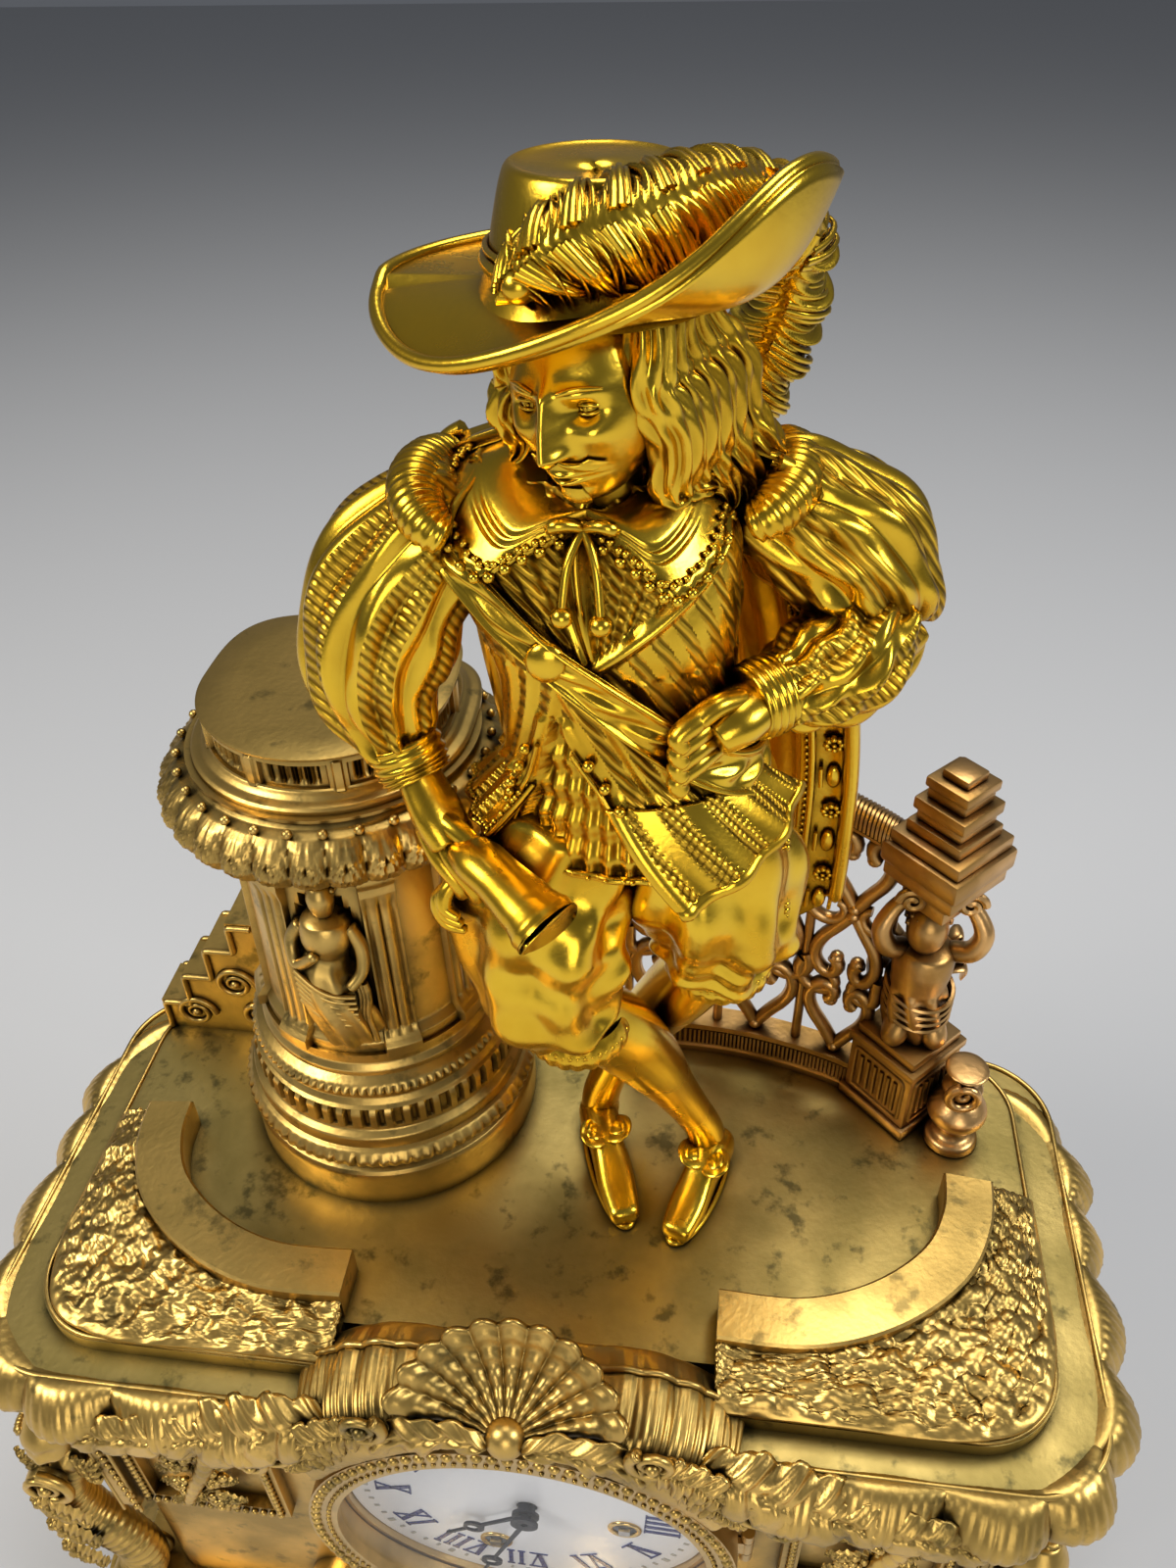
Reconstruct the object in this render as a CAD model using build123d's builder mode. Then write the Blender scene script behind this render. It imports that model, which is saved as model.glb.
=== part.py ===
from build123d import *
from math import atan2, cos, hypot, pi, radians, sin, sqrt
import os

os.makedirs("parts", exist_ok=True)

# A French table clock with a standing cavalier who leans on a round pedestal.
# Millimetres. X is the viewer's right, Y runs away from the viewer, Z is up.
# The origin is under the middle of the clock, on the surface that it stands on.

# Driving dimensions of the whole clock
overall_half_width = 140
overall_half_depth = 64
foot_height = 20
plinth_top = 44
case_half_width = 108
case_half_depth = 50
case_wall = 4
case_top = 163
terrace_z = 170
terrace_half_width = 119
terrace_back = 60
rim_bottom = 147
dial_z = 118.5
dial_radius = 45
dial_turn = 27.6
head_height = 30
figure_x = 20
figure_y = 5
figure_turn = 10.7

# Clearances
running_clearance = 0.05
lift_clearance = 0.3
fit_clearance = 0.1
overrun = 5


def facing(x, z, y):
    """A plane that faces the viewer at the depth y, with X right and Z up."""
    return Plane(origin=(x, y, z), x_dir=(1, 0, 0), z_dir=(0, -1, 0))


def seat(u, v):
    """A place on the movement, which is turned with its dial: X and Z in the clock."""
    turn = radians(dial_turn)
    return (u * cos(turn) - v * sin(turn), dial_z + u * sin(turn) + v * cos(turn))


def rod(x, z, steps):
    """A turned rod along Y: each step is its rear depth, its front depth and its radius."""
    with BuildPart() as turned:
        for rear, front, radius in steps:
            with BuildSketch(facing(x, z, rear)):
                Circle(radius)
            extrude(amount=rear - front)
    return turned.part


def slab(half_width, front, back, corner, bottom, top):
    """A flat slab with rounded corners between two heights."""
    with BuildPart() as block:
        with BuildSketch(Plane.XY.offset(bottom)):
            with Locations((0, (front + back) / 2)):
                RectangleRounded(2 * half_width, back - front, corner)
        extrude(amount=top - bottom)
    return block.part


def turned_post(x, y, bottom, radius, height, shares):
    """A turned post: its profile is a list of shares of its radius and of its height."""
    profile = [(across * radius, up * height) for across, up in shares]
    with BuildPart() as post:
        with BuildSketch(Plane(origin=(x, y, bottom), x_dir=(1, 0, 0), z_dir=(0, -1, 0))):
            with BuildLine():
                Polyline((0, profile[0][1]), *profile, (0, profile[-1][1]), close=True)
            make_face()
        revolve(axis=Axis((x, y, bottom), (0, 0, 1)))
    return post.part


def largest(part):
    """The main solid of a part that its neighbours have trimmed."""
    return part.solids().sort_by(SortBy.VOLUME)[-1]


# Feet: four cast scrolls, each on a flat pad
foot_scroll_radius = 10
foot_pad_length = 18
foot_pad_height = 5
foot_reach = 30
foot_width = 22

with BuildPart() as scroll_feet:
    scroll_x = overall_half_width - foot_scroll_radius
    inner_x = overall_half_width - foot_reach - foot_scroll_radius
    for side in (-1, 1):
        for back in (-overall_half_depth + foot_width, overall_half_depth):
            with BuildSketch(facing(0, 0, back)):
                with Locations((side * scroll_x, foot_scroll_radius)):
                    Circle(foot_scroll_radius)
                with Locations((side * scroll_x, foot_pad_height / 2)):
                    Rectangle(foot_pad_length, foot_pad_height)
                with BuildLine():
                    Polyline(
                        (side * inner_x, foot_height),
                        (side * scroll_x, foot_height),
                        (side * scroll_x, foot_pad_height),
                        (side * inner_x, foot_height - foot_pad_height),
                        close=True,
                    )
                make_face()
            extrude(amount=foot_width)
scroll_feet.part.label = "scroll_feet"
export_step(scroll_feet.part, "parts/scroll_feet.step")

# Plinth: a hollow moulded casting, open through, so that the pendulum can hang into it
plinth_foot_half_width = 134
plinth_foot_half_depth = 61
plinth_step_height = 8
plinth_neck_height = 18
plinth_top_half_width = 119
plinth_top_half_depth = 55
plinth_corner = 16
plinth_wall = 10
plinth_edge = 2

with BuildPart() as plinth_casting:
    step_top = foot_height + plinth_step_height
    neck_top = foot_height + plinth_neck_height
    add(slab(plinth_foot_half_width, -plinth_foot_half_depth, plinth_foot_half_depth,
             plinth_corner, foot_height, step_top))
    with BuildSketch(Plane.XY.offset(step_top)):
        RectangleRounded(2 * (plinth_foot_half_width - plinth_edge),
                         2 * (plinth_foot_half_depth - plinth_edge), plinth_corner)
    with BuildSketch(Plane.XY.offset(neck_top)):
        RectangleRounded(2 * (plinth_top_half_width - plinth_edge),
                         2 * (plinth_top_half_depth - plinth_edge), plinth_corner)
    loft()
    add(slab(plinth_top_half_width, -plinth_top_half_depth, plinth_top_half_depth,
             plinth_corner, neck_top, plinth_top))
    with BuildSketch(Plane.XY.offset(foot_height)):
        RectangleRounded(2 * (case_half_width - plinth_wall),
                         2 * (case_half_depth - case_wall), plinth_wall)
    extrude(amount=plinth_top - foot_height, mode=Mode.SUBTRACT)
plinth_casting.part.label = "plinth_casting"
export_step(plinth_casting.part, "parts/plinth_casting.step")

# Case: a hollow shell with a round opening before the movement and one behind it,
# and an arch that rises round the dial in front of the terrace
case_corner = 8
arch_radius = 57
front_opening_radius = 48.5
rear_opening_radius = 42

with BuildPart() as case_shell:
    add(slab(case_half_width, -case_half_depth, case_half_depth, case_corner, plinth_top, case_top))
    add(slab(case_half_width - case_wall, case_wall - case_half_depth, case_half_depth - case_wall,
             case_corner - case_wall, plinth_top, case_top), mode=Mode.SUBTRACT)
    with BuildSketch(facing(0, dial_z, case_wall - case_half_depth)):
        Circle(arch_radius)
    extrude(amount=case_wall)
    with BuildSketch(facing(0, dial_z, case_wall - case_half_depth + overrun)):
        Circle(front_opening_radius)
    extrude(amount=case_wall + 2 * overrun, mode=Mode.SUBTRACT)
    with BuildSketch(facing(0, dial_z, case_half_depth + overrun)):
        Circle(rear_opening_radius)
    extrude(amount=case_wall + 2 * overrun, mode=Mode.SUBTRACT)
case_shell.part.label = "case_shell"
export_step(case_shell.part, "parts/case_shell.step")

# Terrace: the floor that the figure stands on, with a lower border that carries the bead line
border_half_width = 130
border_front = 54
border_back = 62
border_height = 2.5
border_corner = 20
terrace_front = 46
notch_half_width = 43
notch_depth = 11
stud_radius = 2
stud_hole_radius = stud_radius + fit_clearance
pedestal_x = -46.4
pedestal_y = 33.5
newel_x = 88
newel_y = 44
stud_inset = 4
back_ankle_share = (-0.33, 0.7)
stud_places = [
    (pedestal_x, pedestal_y),
    (newel_x, newel_y - stud_inset),
    (figure_x + back_ankle_share[0] * head_height, figure_y + back_ankle_share[1] * head_height),
]

stud_reach = 5
nut_height = 3.5
nut_radius = 4

with BuildPart() as stud_bores:
    with BuildSketch(Plane.XY.offset(case_top)):
        with Locations(*stud_places):
            Circle(stud_hole_radius)
    extrude(amount=terrace_z + stud_reach + fit_clearance - case_top)

with BuildPart() as fixing_studs:
    with BuildSketch(Plane.XY.offset(case_top - nut_height)):
        with Locations(*stud_places):
            RegularPolygon(nut_radius, 6)
    extrude(amount=nut_height)
    with BuildSketch(Plane.XY.offset(case_top)):
        with Locations(*stud_places):
            Circle(stud_radius)
    extrude(amount=terrace_z + stud_reach - case_top)
fixing_studs.part.label = "fixing_studs"
export_step(fixing_studs.part, "parts/fixing_studs.step")

with BuildPart() as terrace_plate:
    add(slab(border_half_width, -border_front, border_back, border_corner,
             case_top, case_top + border_height))
    add(slab(terrace_half_width, -terrace_front, terrace_back, border_corner,
             case_top + border_height, terrace_z))
    with BuildSketch(Plane.XY.offset(case_top)):
        with Locations((0, -border_front)):
            Rectangle(2 * notch_half_width, 2 * (border_front - terrace_front + notch_depth))
    extrude(amount=terrace_z - case_top, mode=Mode.SUBTRACT)
    with BuildSketch(facing(0, dial_z, case_wall - case_half_depth)):
        Circle(arch_radius)
    extrude(amount=case_half_depth, mode=Mode.SUBTRACT)
    add(stud_bores.part, mode=Mode.SUBTRACT)
terrace_plate.part.label = "terrace_plate"
export_step(terrace_plate.part, "parts/terrace_plate.step")

# Rim: the rocaille border that hangs round the top of the case, scalloped along its sides
rim_half_width = 133
rim_front = 58
rim_corner = 24
rim_lip = 10
rim_cove_half_width = 124
rim_cove_front = 55
lobe_radius = 6
lobe_pitch = 9.5
lobe_rows = 11
rim_back_gap = 80

with BuildPart() as rocaille_rim:
    lip_bottom = case_top - rim_lip
    with BuildSketch(Plane.XY.offset(lip_bottom)):
        with Locations((0, (border_back - rim_front) / 2)):
            RectangleRounded(2 * rim_half_width, border_back + rim_front, rim_corner)
        for side in (-1, 1):
            with Locations((side * rim_half_width, 0)):
                with GridLocations(lobe_radius, lobe_pitch, 1, lobe_rows):
                    Circle(lobe_radius)
    extrude(amount=rim_lip)
    add(slab(rim_cove_half_width, -rim_cove_front, border_back, rim_corner, rim_bottom, lip_bottom))
    add(slab(case_half_width, -case_half_depth, case_half_depth, case_corner, rim_bottom, case_top),
        mode=Mode.SUBTRACT)
    with BuildSketch(facing(0, dial_z, 0)):
        Circle(arch_radius)
    extrude(amount=overall_half_depth, mode=Mode.SUBTRACT)
    with BuildSketch(Plane.XY.offset(rim_bottom)):
        with Locations((0, overall_half_depth)):
            Rectangle(2 * rim_back_gap, 2 * (overall_half_depth - case_half_depth))
    extrude(amount=case_top - rim_bottom, mode=Mode.SUBTRACT)
rocaille_rim.part.label = "rocaille_rim"
export_step(rocaille_rim.part, "parts/rocaille_rim.step")

# Crest: the great shell that stands over the dial, clear of the bezel when it swings
crest_inner_radius = 55.5
crest_outer_radius = 69
crest_half_angle = 48
crest_front = 62
crest_back = 37
crest_lobe_radius = 6
crest_lobe_half_angle = 24
crest_lobe_count = 7
crest_ball_radius = 4.5
crest_ball_y = -61

with BuildPart() as shell_crest:
    with BuildSketch(facing(0, dial_z, -case_half_depth)):
        Circle(crest_outer_radius)
        for lobe in range(crest_lobe_count):
            lean = radians(crest_lobe_half_angle) * (2 * lobe / (crest_lobe_count - 1) - 1)
            with Locations((crest_outer_radius * sin(lean), crest_outer_radius * cos(lean))):
                Circle(crest_lobe_radius)
        Circle(crest_inner_radius, mode=Mode.SUBTRACT)
        with BuildLine():
            reach = 2 * crest_outer_radius
            drop = reach / sin(radians(crest_half_angle)) * cos(radians(crest_half_angle))
            Polyline((0, 0), (reach, drop), (reach, -reach), (-reach, -reach), (-reach, drop), close=True)
        make_face(mode=Mode.SUBTRACT)
    extrude(amount=crest_front - case_half_depth)
    with BuildSketch(facing(0, dial_z, -crest_back)):
        with BuildLine():
            back_reach = crest_outer_radius - crest_lobe_radius
            wing = back_reach * sin(radians(crest_half_angle) / 2)
            floor_level = terrace_z - dial_z
            Polyline((-wing, floor_level), (-wing / 2, back_reach), (wing / 2, back_reach),
                     (wing, floor_level), close=True)
        make_face()
    extrude(amount=case_half_depth - crest_back)
    with BuildSketch(facing(0, dial_z, -crest_back)):
        Circle(arch_radius)
    extrude(amount=case_half_depth - crest_back, mode=Mode.SUBTRACT)
    with Locations((0, crest_ball_y, dial_z + crest_inner_radius + crest_ball_radius)):
        Sphere(crest_ball_radius)
    add(rocaille_rim.part, mode=Mode.SUBTRACT)
    add(terrace_plate.part, mode=Mode.SUBTRACT)
    with BuildSketch(facing(0, dial_z, -crest_front)):
        Circle(2 * crest_outer_radius)
    extrude(amount=overall_half_depth, mode=Mode.SUBTRACT)
shell_crest.part.label = "shell_crest"
export_step(shell_crest.part, "parts/shell_crest.step")

# Front panels: a framed panel each side of the dial, cast with a beaded pilaster at its outer edge
panel_half_width = 20
panel_half_height = 22
panel_x = 82
panel_z = 122
panel_depth = 3
panel_border = 4
pilaster_half_width = 3
pilaster_depth = 5
pilaster_x = panel_x + panel_half_width + pilaster_half_width

with BuildPart() as front_panels:
    for side in (-1, 1):
        with BuildSketch(facing(side * panel_x, panel_z, -case_half_depth)):
            Rectangle(2 * panel_half_width, 2 * panel_half_height)
            Rectangle(2 * (panel_half_width - panel_border), 2 * (panel_half_height - panel_border),
                      mode=Mode.SUBTRACT)
            with Locations((-side * panel_x, dial_z - panel_z)):
                Circle(arch_radius, mode=Mode.SUBTRACT)
        extrude(amount=panel_depth)
        with BuildSketch(facing(side * pilaster_x, panel_z, case_wall - case_half_depth)):
            Rectangle(2 * pilaster_half_width, 2 * panel_half_height)
        extrude(amount=case_wall + pilaster_depth)
    add(case_shell.part, mode=Mode.SUBTRACT)
front_panels.part.label = "front_panels"
export_step(front_panels.part, "parts/front_panels.step")

# Trophies: a knot of flowers and quivers in each panel
trophy_depth = 4
trophy_radius = 5
trophy_shares = [(0, 0), (-0.35, 0.45), (0.35, 0.45), (-0.3, -0.4), (0.3, -0.4), (0, 0.75), (0, -0.75)]

with BuildPart() as flower_trophies:
    for side in (-1, 1):
        with BuildSketch(facing(side * panel_x, panel_z, -case_half_depth)):
            for across, up in trophy_shares:
                inner_half_width = panel_half_width - panel_border
                inner_half_height = panel_half_height - panel_border - trophy_radius
                with Locations((across * inner_half_width, up * inner_half_height)):
                    Circle(trophy_radius)
        extrude(amount=trophy_depth)
flower_trophies.part.label = "flower_trophies"
export_step(flower_trophies.part, "parts/flower_trophies.step")

# Corner scrolls: a C scroll with a leaf at each front corner, which carries a curly putto's bust
bust_x = 117
bust_y = -47
bust_top = 145
bust_bottom = 117
bust_profile_shares = [(0.25, 0), (0.7, 0.12), (0.85, 0.3), (0.55, 0.48), (0.35, 0.55), (0.55, 0.65),
                       (0.68, 0.8), (0.5, 0.94), (0.15, 1)]
bust_radius = 9

upper_scroll_radius = 10
lower_scroll_radius = 13
scroll_depth = 14
scroll_front = 60
upper_scroll_z = 101
lower_scroll_z = 57
scroll_root_x = case_half_width - case_wall

with BuildPart() as corner_scrolls:
    for side in (-1, 1):
        with BuildSketch(facing(0, 0, scroll_depth - scroll_front)):
            with Locations((side * (scroll_root_x + upper_scroll_radius), upper_scroll_z)):
                Circle(upper_scroll_radius)
            with Locations((side * (scroll_root_x + lower_scroll_radius), lower_scroll_z)):
                Circle(lower_scroll_radius)
            with BuildLine():
                Polyline(
                    (side * scroll_root_x, bust_bottom),
                    (side * (bust_x + upper_scroll_radius / 2), bust_bottom),
                    (side * (scroll_root_x + upper_scroll_radius), lower_scroll_z),
                    (side * scroll_root_x, lower_scroll_z),
                    close=True,
                )
            make_face()
        extrude(amount=scroll_depth)
        add(turned_post(side * bust_x, bust_y, bust_bottom, bust_radius, bust_top - bust_bottom,
                        bust_profile_shares))
    add(case_shell.part, mode=Mode.SUBTRACT)
    add(plinth_casting.part, mode=Mode.SUBTRACT)
    add(front_panels.part, mode=Mode.SUBTRACT)
corner_scrolls.part.label = "corner_scrolls"
export_step(corner_scrolls.part, "parts/corner_scrolls.step")

# Side cartouches: a raised scrolled panel on each side wall
cartouche_half_width = 30
cartouche_half_height = 34
cartouche_z = 100
cartouche_depth = 5

with BuildPart() as side_cartouches:
    for side in (-1, 1):
        with BuildSketch(Plane(origin=(side * case_half_width, 0, cartouche_z), x_dir=(0, 1, 0),
                               z_dir=(side, 0, 0))):
            Ellipse(cartouche_half_width, cartouche_half_height)
            Ellipse(cartouche_half_width - panel_border, cartouche_half_height - panel_border,
                    mode=Mode.SUBTRACT)
            Ellipse(cartouche_half_width / 2, cartouche_half_height / 2)
        extrude(amount=cartouche_depth)
side_cartouches.part.label = "side_cartouches"
export_step(side_cartouches.part, "parts/side_cartouches.step")

# Front apron: the leafy cartouche below the dial, from the plinth up to the bezel
apron_half_width = 52
apron_lobe_radius = 12
apron_depth = 9
apron_top = 66

with BuildPart() as front_apron:
    with BuildSketch(facing(0, 0, -case_half_depth)):
        with BuildLine():
            Polyline(
                (-apron_half_width, plinth_top),
                (-apron_half_width / 2, apron_top),
                (apron_half_width / 2, apron_top),
                (apron_half_width, plinth_top),
                close=True,
            )
        make_face()
        with Locations((0, foot_height + apron_lobe_radius + overrun)):
            Circle(apron_lobe_radius)
        with Locations((-apron_half_width, plinth_top + apron_lobe_radius),
                       (apron_half_width, plinth_top + apron_lobe_radius)):
            Circle(apron_lobe_radius)
        with Locations((0, dial_z)):
            Circle(crest_inner_radius, mode=Mode.SUBTRACT)
    extrude(amount=apron_depth)
    add(plinth_casting.part, mode=Mode.SUBTRACT)
front_apron.part.label = "front_apron"
export_step(front_apron.part, "parts/front_apron.step")

# Garden beds: a kerb that curves round each front corner, with rough ground outside it
kerb_height = 10
ground_height = 5
kerb_inner_shares = [(0, 0), (0.3, 0), (0.55, 0.15), (0.75, 0.42), (0.84, 0.72), (0.86, 1)]
kerb_outer_shares = [(1, 1), (0.98, 0.6), (0.86, 0.15), (0.62, -0.22), (0.3, -0.37), (0, -0.4)]
bed_length = 62
bed_depth = 36
bed_front = -22
bed_edge = 3

with BuildPart() as garden_beds:
    for side in (-1, 1):
        kerb_line = [
            (side * (notch_half_width + along * bed_length), bed_front + back * bed_depth)
            for along, back in kerb_inner_shares + kerb_outer_shares
        ]
        ground_start = len(kerb_inner_shares)
        ground_line = kerb_line[ground_start:] + [
            (side * notch_half_width, bed_edge - terrace_front),
            (side * (terrace_half_width - border_corner), bed_edge - terrace_front),
            (side * (terrace_half_width - bed_edge), border_corner - terrace_front),
            (side * (terrace_half_width - bed_edge), bed_front + bed_depth),
        ]
        with BuildSketch(Plane.XY.offset(terrace_z)):
            with BuildLine():
                Polyline(*kerb_line, close=True)
            make_face()
        extrude(amount=kerb_height)
        with BuildSketch(Plane.XY.offset(terrace_z)):
            with BuildLine():
                Polyline(*ground_line, close=True)
            make_face()
        extrude(amount=ground_height)
    add(shell_crest.part, mode=Mode.SUBTRACT)
    with BuildSketch(facing(0, dial_z, -crest_back)):
        Circle(arch_radius)
    extrude(amount=overall_half_depth, mode=Mode.SUBTRACT)
garden_beds.part.label = "garden_beds"
export_step(garden_beds.part, "parts/garden_beds.step")

# Pedestal: a round shaft with a flat back, in four castings, with a small draped figure in its niche
pedestal_back = 60
pedestal_radius = 37.5
pedestal_base_top = 47
pedestal_shaft_top = 104
pedestal_capital_top = 121
pedestal_base_shares = [(1, 0), (1, 0.255), (0.96, 0.277), (0.987, 0.32), (0.987, 0.383), (0.947, 0.426),
                        (0.947, 0.51), (0.893, 0.553), (0.893, 0.702), (0.84, 0.745), (0.84, 0.851),
                        (0.8, 0.894), (0.773, 0.936), (0.773, 1)]
pedestal_shaft_shares = [(0.747, 0), (0.747, 0.053), (0.707, 0.088), (0.68, 0.895), (0.72, 0.93), (0.72, 1)]
pedestal_capital_shares = [(0.693, 0), (0.827, 0.118), (1, 0.235), (1.04, 0.412), (1.013, 0.588),
                           (0.92, 0.824), (0.901, 1)]
block_shares = [(1, 0), (1, 0.5), (0.867, 0.5), (0.867, 1)]
block_radius = 30
block_height = 16


def flat_backed(bottom, top, radius, shares):
    """A casting of the pedestal, turned round its axis and cut flat at the back."""
    with BuildPart() as post:
        add(turned_post(pedestal_x, pedestal_y, terrace_z + bottom, radius, top - bottom, shares))
        with BuildSketch(Plane.XY.offset(terrace_z + bottom)):
            with Locations((pedestal_x, pedestal_back + pedestal_radius)):
                Rectangle(4 * pedestal_radius, 2 * pedestal_radius)
        extrude(amount=top - bottom, mode=Mode.SUBTRACT)
    return post.part


with BuildPart() as pedestal_base:
    add(flat_backed(0, pedestal_base_top, pedestal_radius, pedestal_base_shares))
    add(stud_bores.part, mode=Mode.SUBTRACT)
pedestal_base.part.label = "pedestal_base"
export_step(pedestal_base.part, "parts/pedestal_base.step")

niche_half_width = 7
niche_bottom = 56
niche_top = 94
niche_depth = 5
niche_figure_profile_shares = [(0.9, 0), (0.8, 0.2), (0.6, 0.5), (0.75, 0.68), (0.35, 0.76), (0.5, 0.85),
                               (0.42, 0.97), (0.1, 1)]
niche_figure_radius = 5

with BuildPart() as pedestal_shaft:
    add(flat_backed(pedestal_base_top, pedestal_shaft_top, pedestal_radius, pedestal_shaft_shares))
    niche_y = pedestal_y - pedestal_shaft_shares[0][0] * pedestal_radius
    with BuildSketch(facing(pedestal_x, terrace_z, niche_y + niche_depth)):
        with Locations((0, (niche_bottom + niche_top - niche_half_width) / 2)):
            Rectangle(2 * niche_half_width, niche_top - niche_half_width - niche_bottom)
        with Locations((0, niche_top - niche_half_width)):
            Circle(niche_half_width)
    extrude(amount=2 * niche_depth, mode=Mode.SUBTRACT)
    figure_span = niche_top - niche_bottom - niche_half_width / 2
    add(turned_post(pedestal_x, niche_y + niche_depth, terrace_z + niche_bottom, niche_figure_radius,
                    figure_span, niche_figure_profile_shares))
pedestal_shaft.part.label = "pedestal_shaft"
export_step(pedestal_shaft.part, "parts/pedestal_shaft.step")

with BuildPart() as pedestal_capital:
    add(flat_backed(pedestal_shaft_top, pedestal_capital_top, pedestal_radius, pedestal_capital_shares))
pedestal_capital.part.label = "pedestal_capital"
export_step(pedestal_capital.part, "parts/pedestal_capital.step")

with BuildPart() as pedestal_block:
    add(flat_backed(pedestal_capital_top, pedestal_capital_top + block_height, block_radius, block_shares))
pedestal_block.part.label = "pedestal_block"
export_step(pedestal_block.part, "parts/pedestal_block.step")

# Stair scroll: a stepped buttress behind the pedestal, at the left end of the terrace
stair_left = -118
stair_right = -84
stair_height = 44
stair_front = 46
stair_steps = 4

with BuildPart() as stair_scroll:
    tread = (stair_right - stair_left) / stair_steps
    riser = stair_height / stair_steps
    stair_line = [(stair_left, 0)]
    for step in range(stair_steps):
        stair_line.append((stair_left + step * tread, (step + 1) * riser))
        stair_line.append((stair_left + (step + 1) * tread, (step + 1) * riser))
    stair_line.append((stair_right, 0))
    with BuildSketch(facing(0, terrace_z, terrace_back)):
        with BuildLine():
            Polyline(*stair_line, close=True)
        make_face()
    extrude(amount=terrace_back - stair_front)
    add(pedestal_base.part, mode=Mode.SUBTRACT)
stair_scroll.part.label = "stair_scroll"
export_step(stair_scroll.part, "parts/stair_scroll.step")

# Balustrade: a curved base, an open lattice of scrolls and a ribbed rail that climbs to the left
rail_left = 14
rail_left_y = 57
rail_bend = 50
rail_bend_y = 55.5
rail_right = 78
rail_right_y = 46
balustrade_base_width = 8
balustrade_base_height = 11
lattice_width = 3
rail_width = 7
rail_thickness = 7
rail_low = 85
rail_high = 101
lattice_ring_radius = 9
lattice_ring_wall = 2.2
lattice_ring_pitch = 16


def rail_band(width, bottom, top):
    """A band of the given width that follows the balustrade's curve in plan."""
    with BuildPart() as band:
        with BuildSketch(Plane.XY.offset(terrace_z + bottom)):
            with BuildLine():
                ThreePointArc((rail_left, rail_left_y), (rail_bend, rail_bend_y), (rail_right, rail_right_y))
            trace(line_width=width)
        extrude(amount=top - bottom)
    return band.part


rail_line = [
    (rail_left - rail_width, rail_high),
    (rail_left - rail_width, rail_high + rail_thickness),
    (rail_right + rail_width, rail_low + rail_thickness),
    (rail_right + rail_width, rail_low),
]

with BuildPart() as rail:
    add(rail_band(rail_width, rail_low - rail_thickness, rail_high + rail_thickness))
    with BuildSketch(facing(0, terrace_z, terrace_back + rail_width)):
        with BuildLine():
            Polyline(*rail_line, close=True)
        make_face()
    extrude(amount=terrace_back, mode=Mode.INTERSECT)

with BuildPart() as lattice:
    add(rail_band(lattice_width, balustrade_base_height, rail_high))
    with BuildSketch(facing(0, terrace_z, terrace_back + rail_width)):
        columns = round((rail_right - rail_left) / lattice_ring_pitch)
        rows = round((rail_high - balustrade_base_height) / lattice_ring_pitch)
        with Locations(*[
            (
                rail_left + (column + 0.5) * lattice_ring_pitch,
                balustrade_base_height + (row + 0.5) * lattice_ring_pitch,
            )
            for column in range(columns)
            for row in range(rows)
        ]):
            Circle(lattice_ring_radius)
            Circle(lattice_ring_radius - lattice_ring_wall, mode=Mode.SUBTRACT)
        for edge in (rail_left, rail_right):
            with Locations((edge, (balustrade_base_height + rail_high) / 2)):
                Rectangle(2 * lattice_ring_wall, rail_high - balustrade_base_height)
    extrude(amount=terrace_back, mode=Mode.INTERSECT)
    with BuildSketch(facing(0, terrace_z, terrace_back + rail_width)):
        with BuildLine():
            Polyline(rail_line[0], rail_line[1], (rail_line[2][0], rail_line[1][1]), rail_line[3], close=True)
        make_face()
    extrude(amount=terrace_back, mode=Mode.SUBTRACT)

with BuildPart() as balustrade:
    add(rail_band(balustrade_base_width, 0, balustrade_base_height))
    add(lattice.part)
    add(rail.part)
balustrade.part.label = "balustrade"
export_step(balustrade.part, "parts/balustrade.step")

# Newel: a fluted block turned to the corner, a putto that carries the capital, and a finial
newel_block_side = 22
newel_block_height = 28
newel_figure_top = 72
newel_capital_top = 94
newel_finial_top = 112
newel_capital_profile_shares = [(0.5, 0), (0.75, 0.3), (1, 0.55), (1, 0.8), (0.8, 1)]
newel_capital_radius = 11
newel_figure_profile_shares = [(0.75, 0), (0.6, 0.12), (0.85, 0.3), (0.7, 0.5), (1, 0.68), (0.6, 0.76),
                               (0.35, 0.8), (0.62, 0.87), (0.55, 1)]
newel_figure_radius = 8.5
newel_arm_radius = 3
finial_side_shares = [1, 0.7, 0.42]
finial_side = 15

with BuildPart() as newel_post:
    with BuildSketch(Plane(origin=(newel_x, newel_y, terrace_z), x_dir=(1, 1, 0), z_dir=(0, 0, 1))):
        Rectangle(newel_block_side, newel_block_side)
    extrude(amount=newel_block_height)
    add(turned_post(newel_x, newel_y, terrace_z + newel_block_height, newel_figure_radius,
                    newel_figure_top - newel_block_height, newel_figure_profile_shares))
    arm_z = terrace_z + newel_figure_top - 2 * newel_arm_radius
    with BuildSketch(Plane(origin=(newel_x, newel_y, arm_z), x_dir=(0, 0, 1), z_dir=(1, -1, 0))):
        Circle(newel_arm_radius)
    extrude(amount=newel_capital_radius, both=True)
    add(turned_post(newel_x, newel_y, terrace_z + newel_figure_top, newel_capital_radius,
                    newel_capital_top - newel_figure_top, newel_capital_profile_shares))
    finial_step = (newel_finial_top - newel_capital_top) / len(finial_side_shares)
    for step, share in enumerate(finial_side_shares):
        step_z = terrace_z + newel_capital_top + step * finial_step
        with BuildSketch(Plane(origin=(newel_x, newel_y, step_z), x_dir=(1, 1, 0), z_dir=(0, 0, 1))):
            Rectangle(share * finial_side, share * finial_side)
        extrude(amount=finial_step)
    add(balustrade.part, mode=Mode.SUBTRACT)
    add(stud_bores.part, mode=Mode.SUBTRACT)
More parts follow.
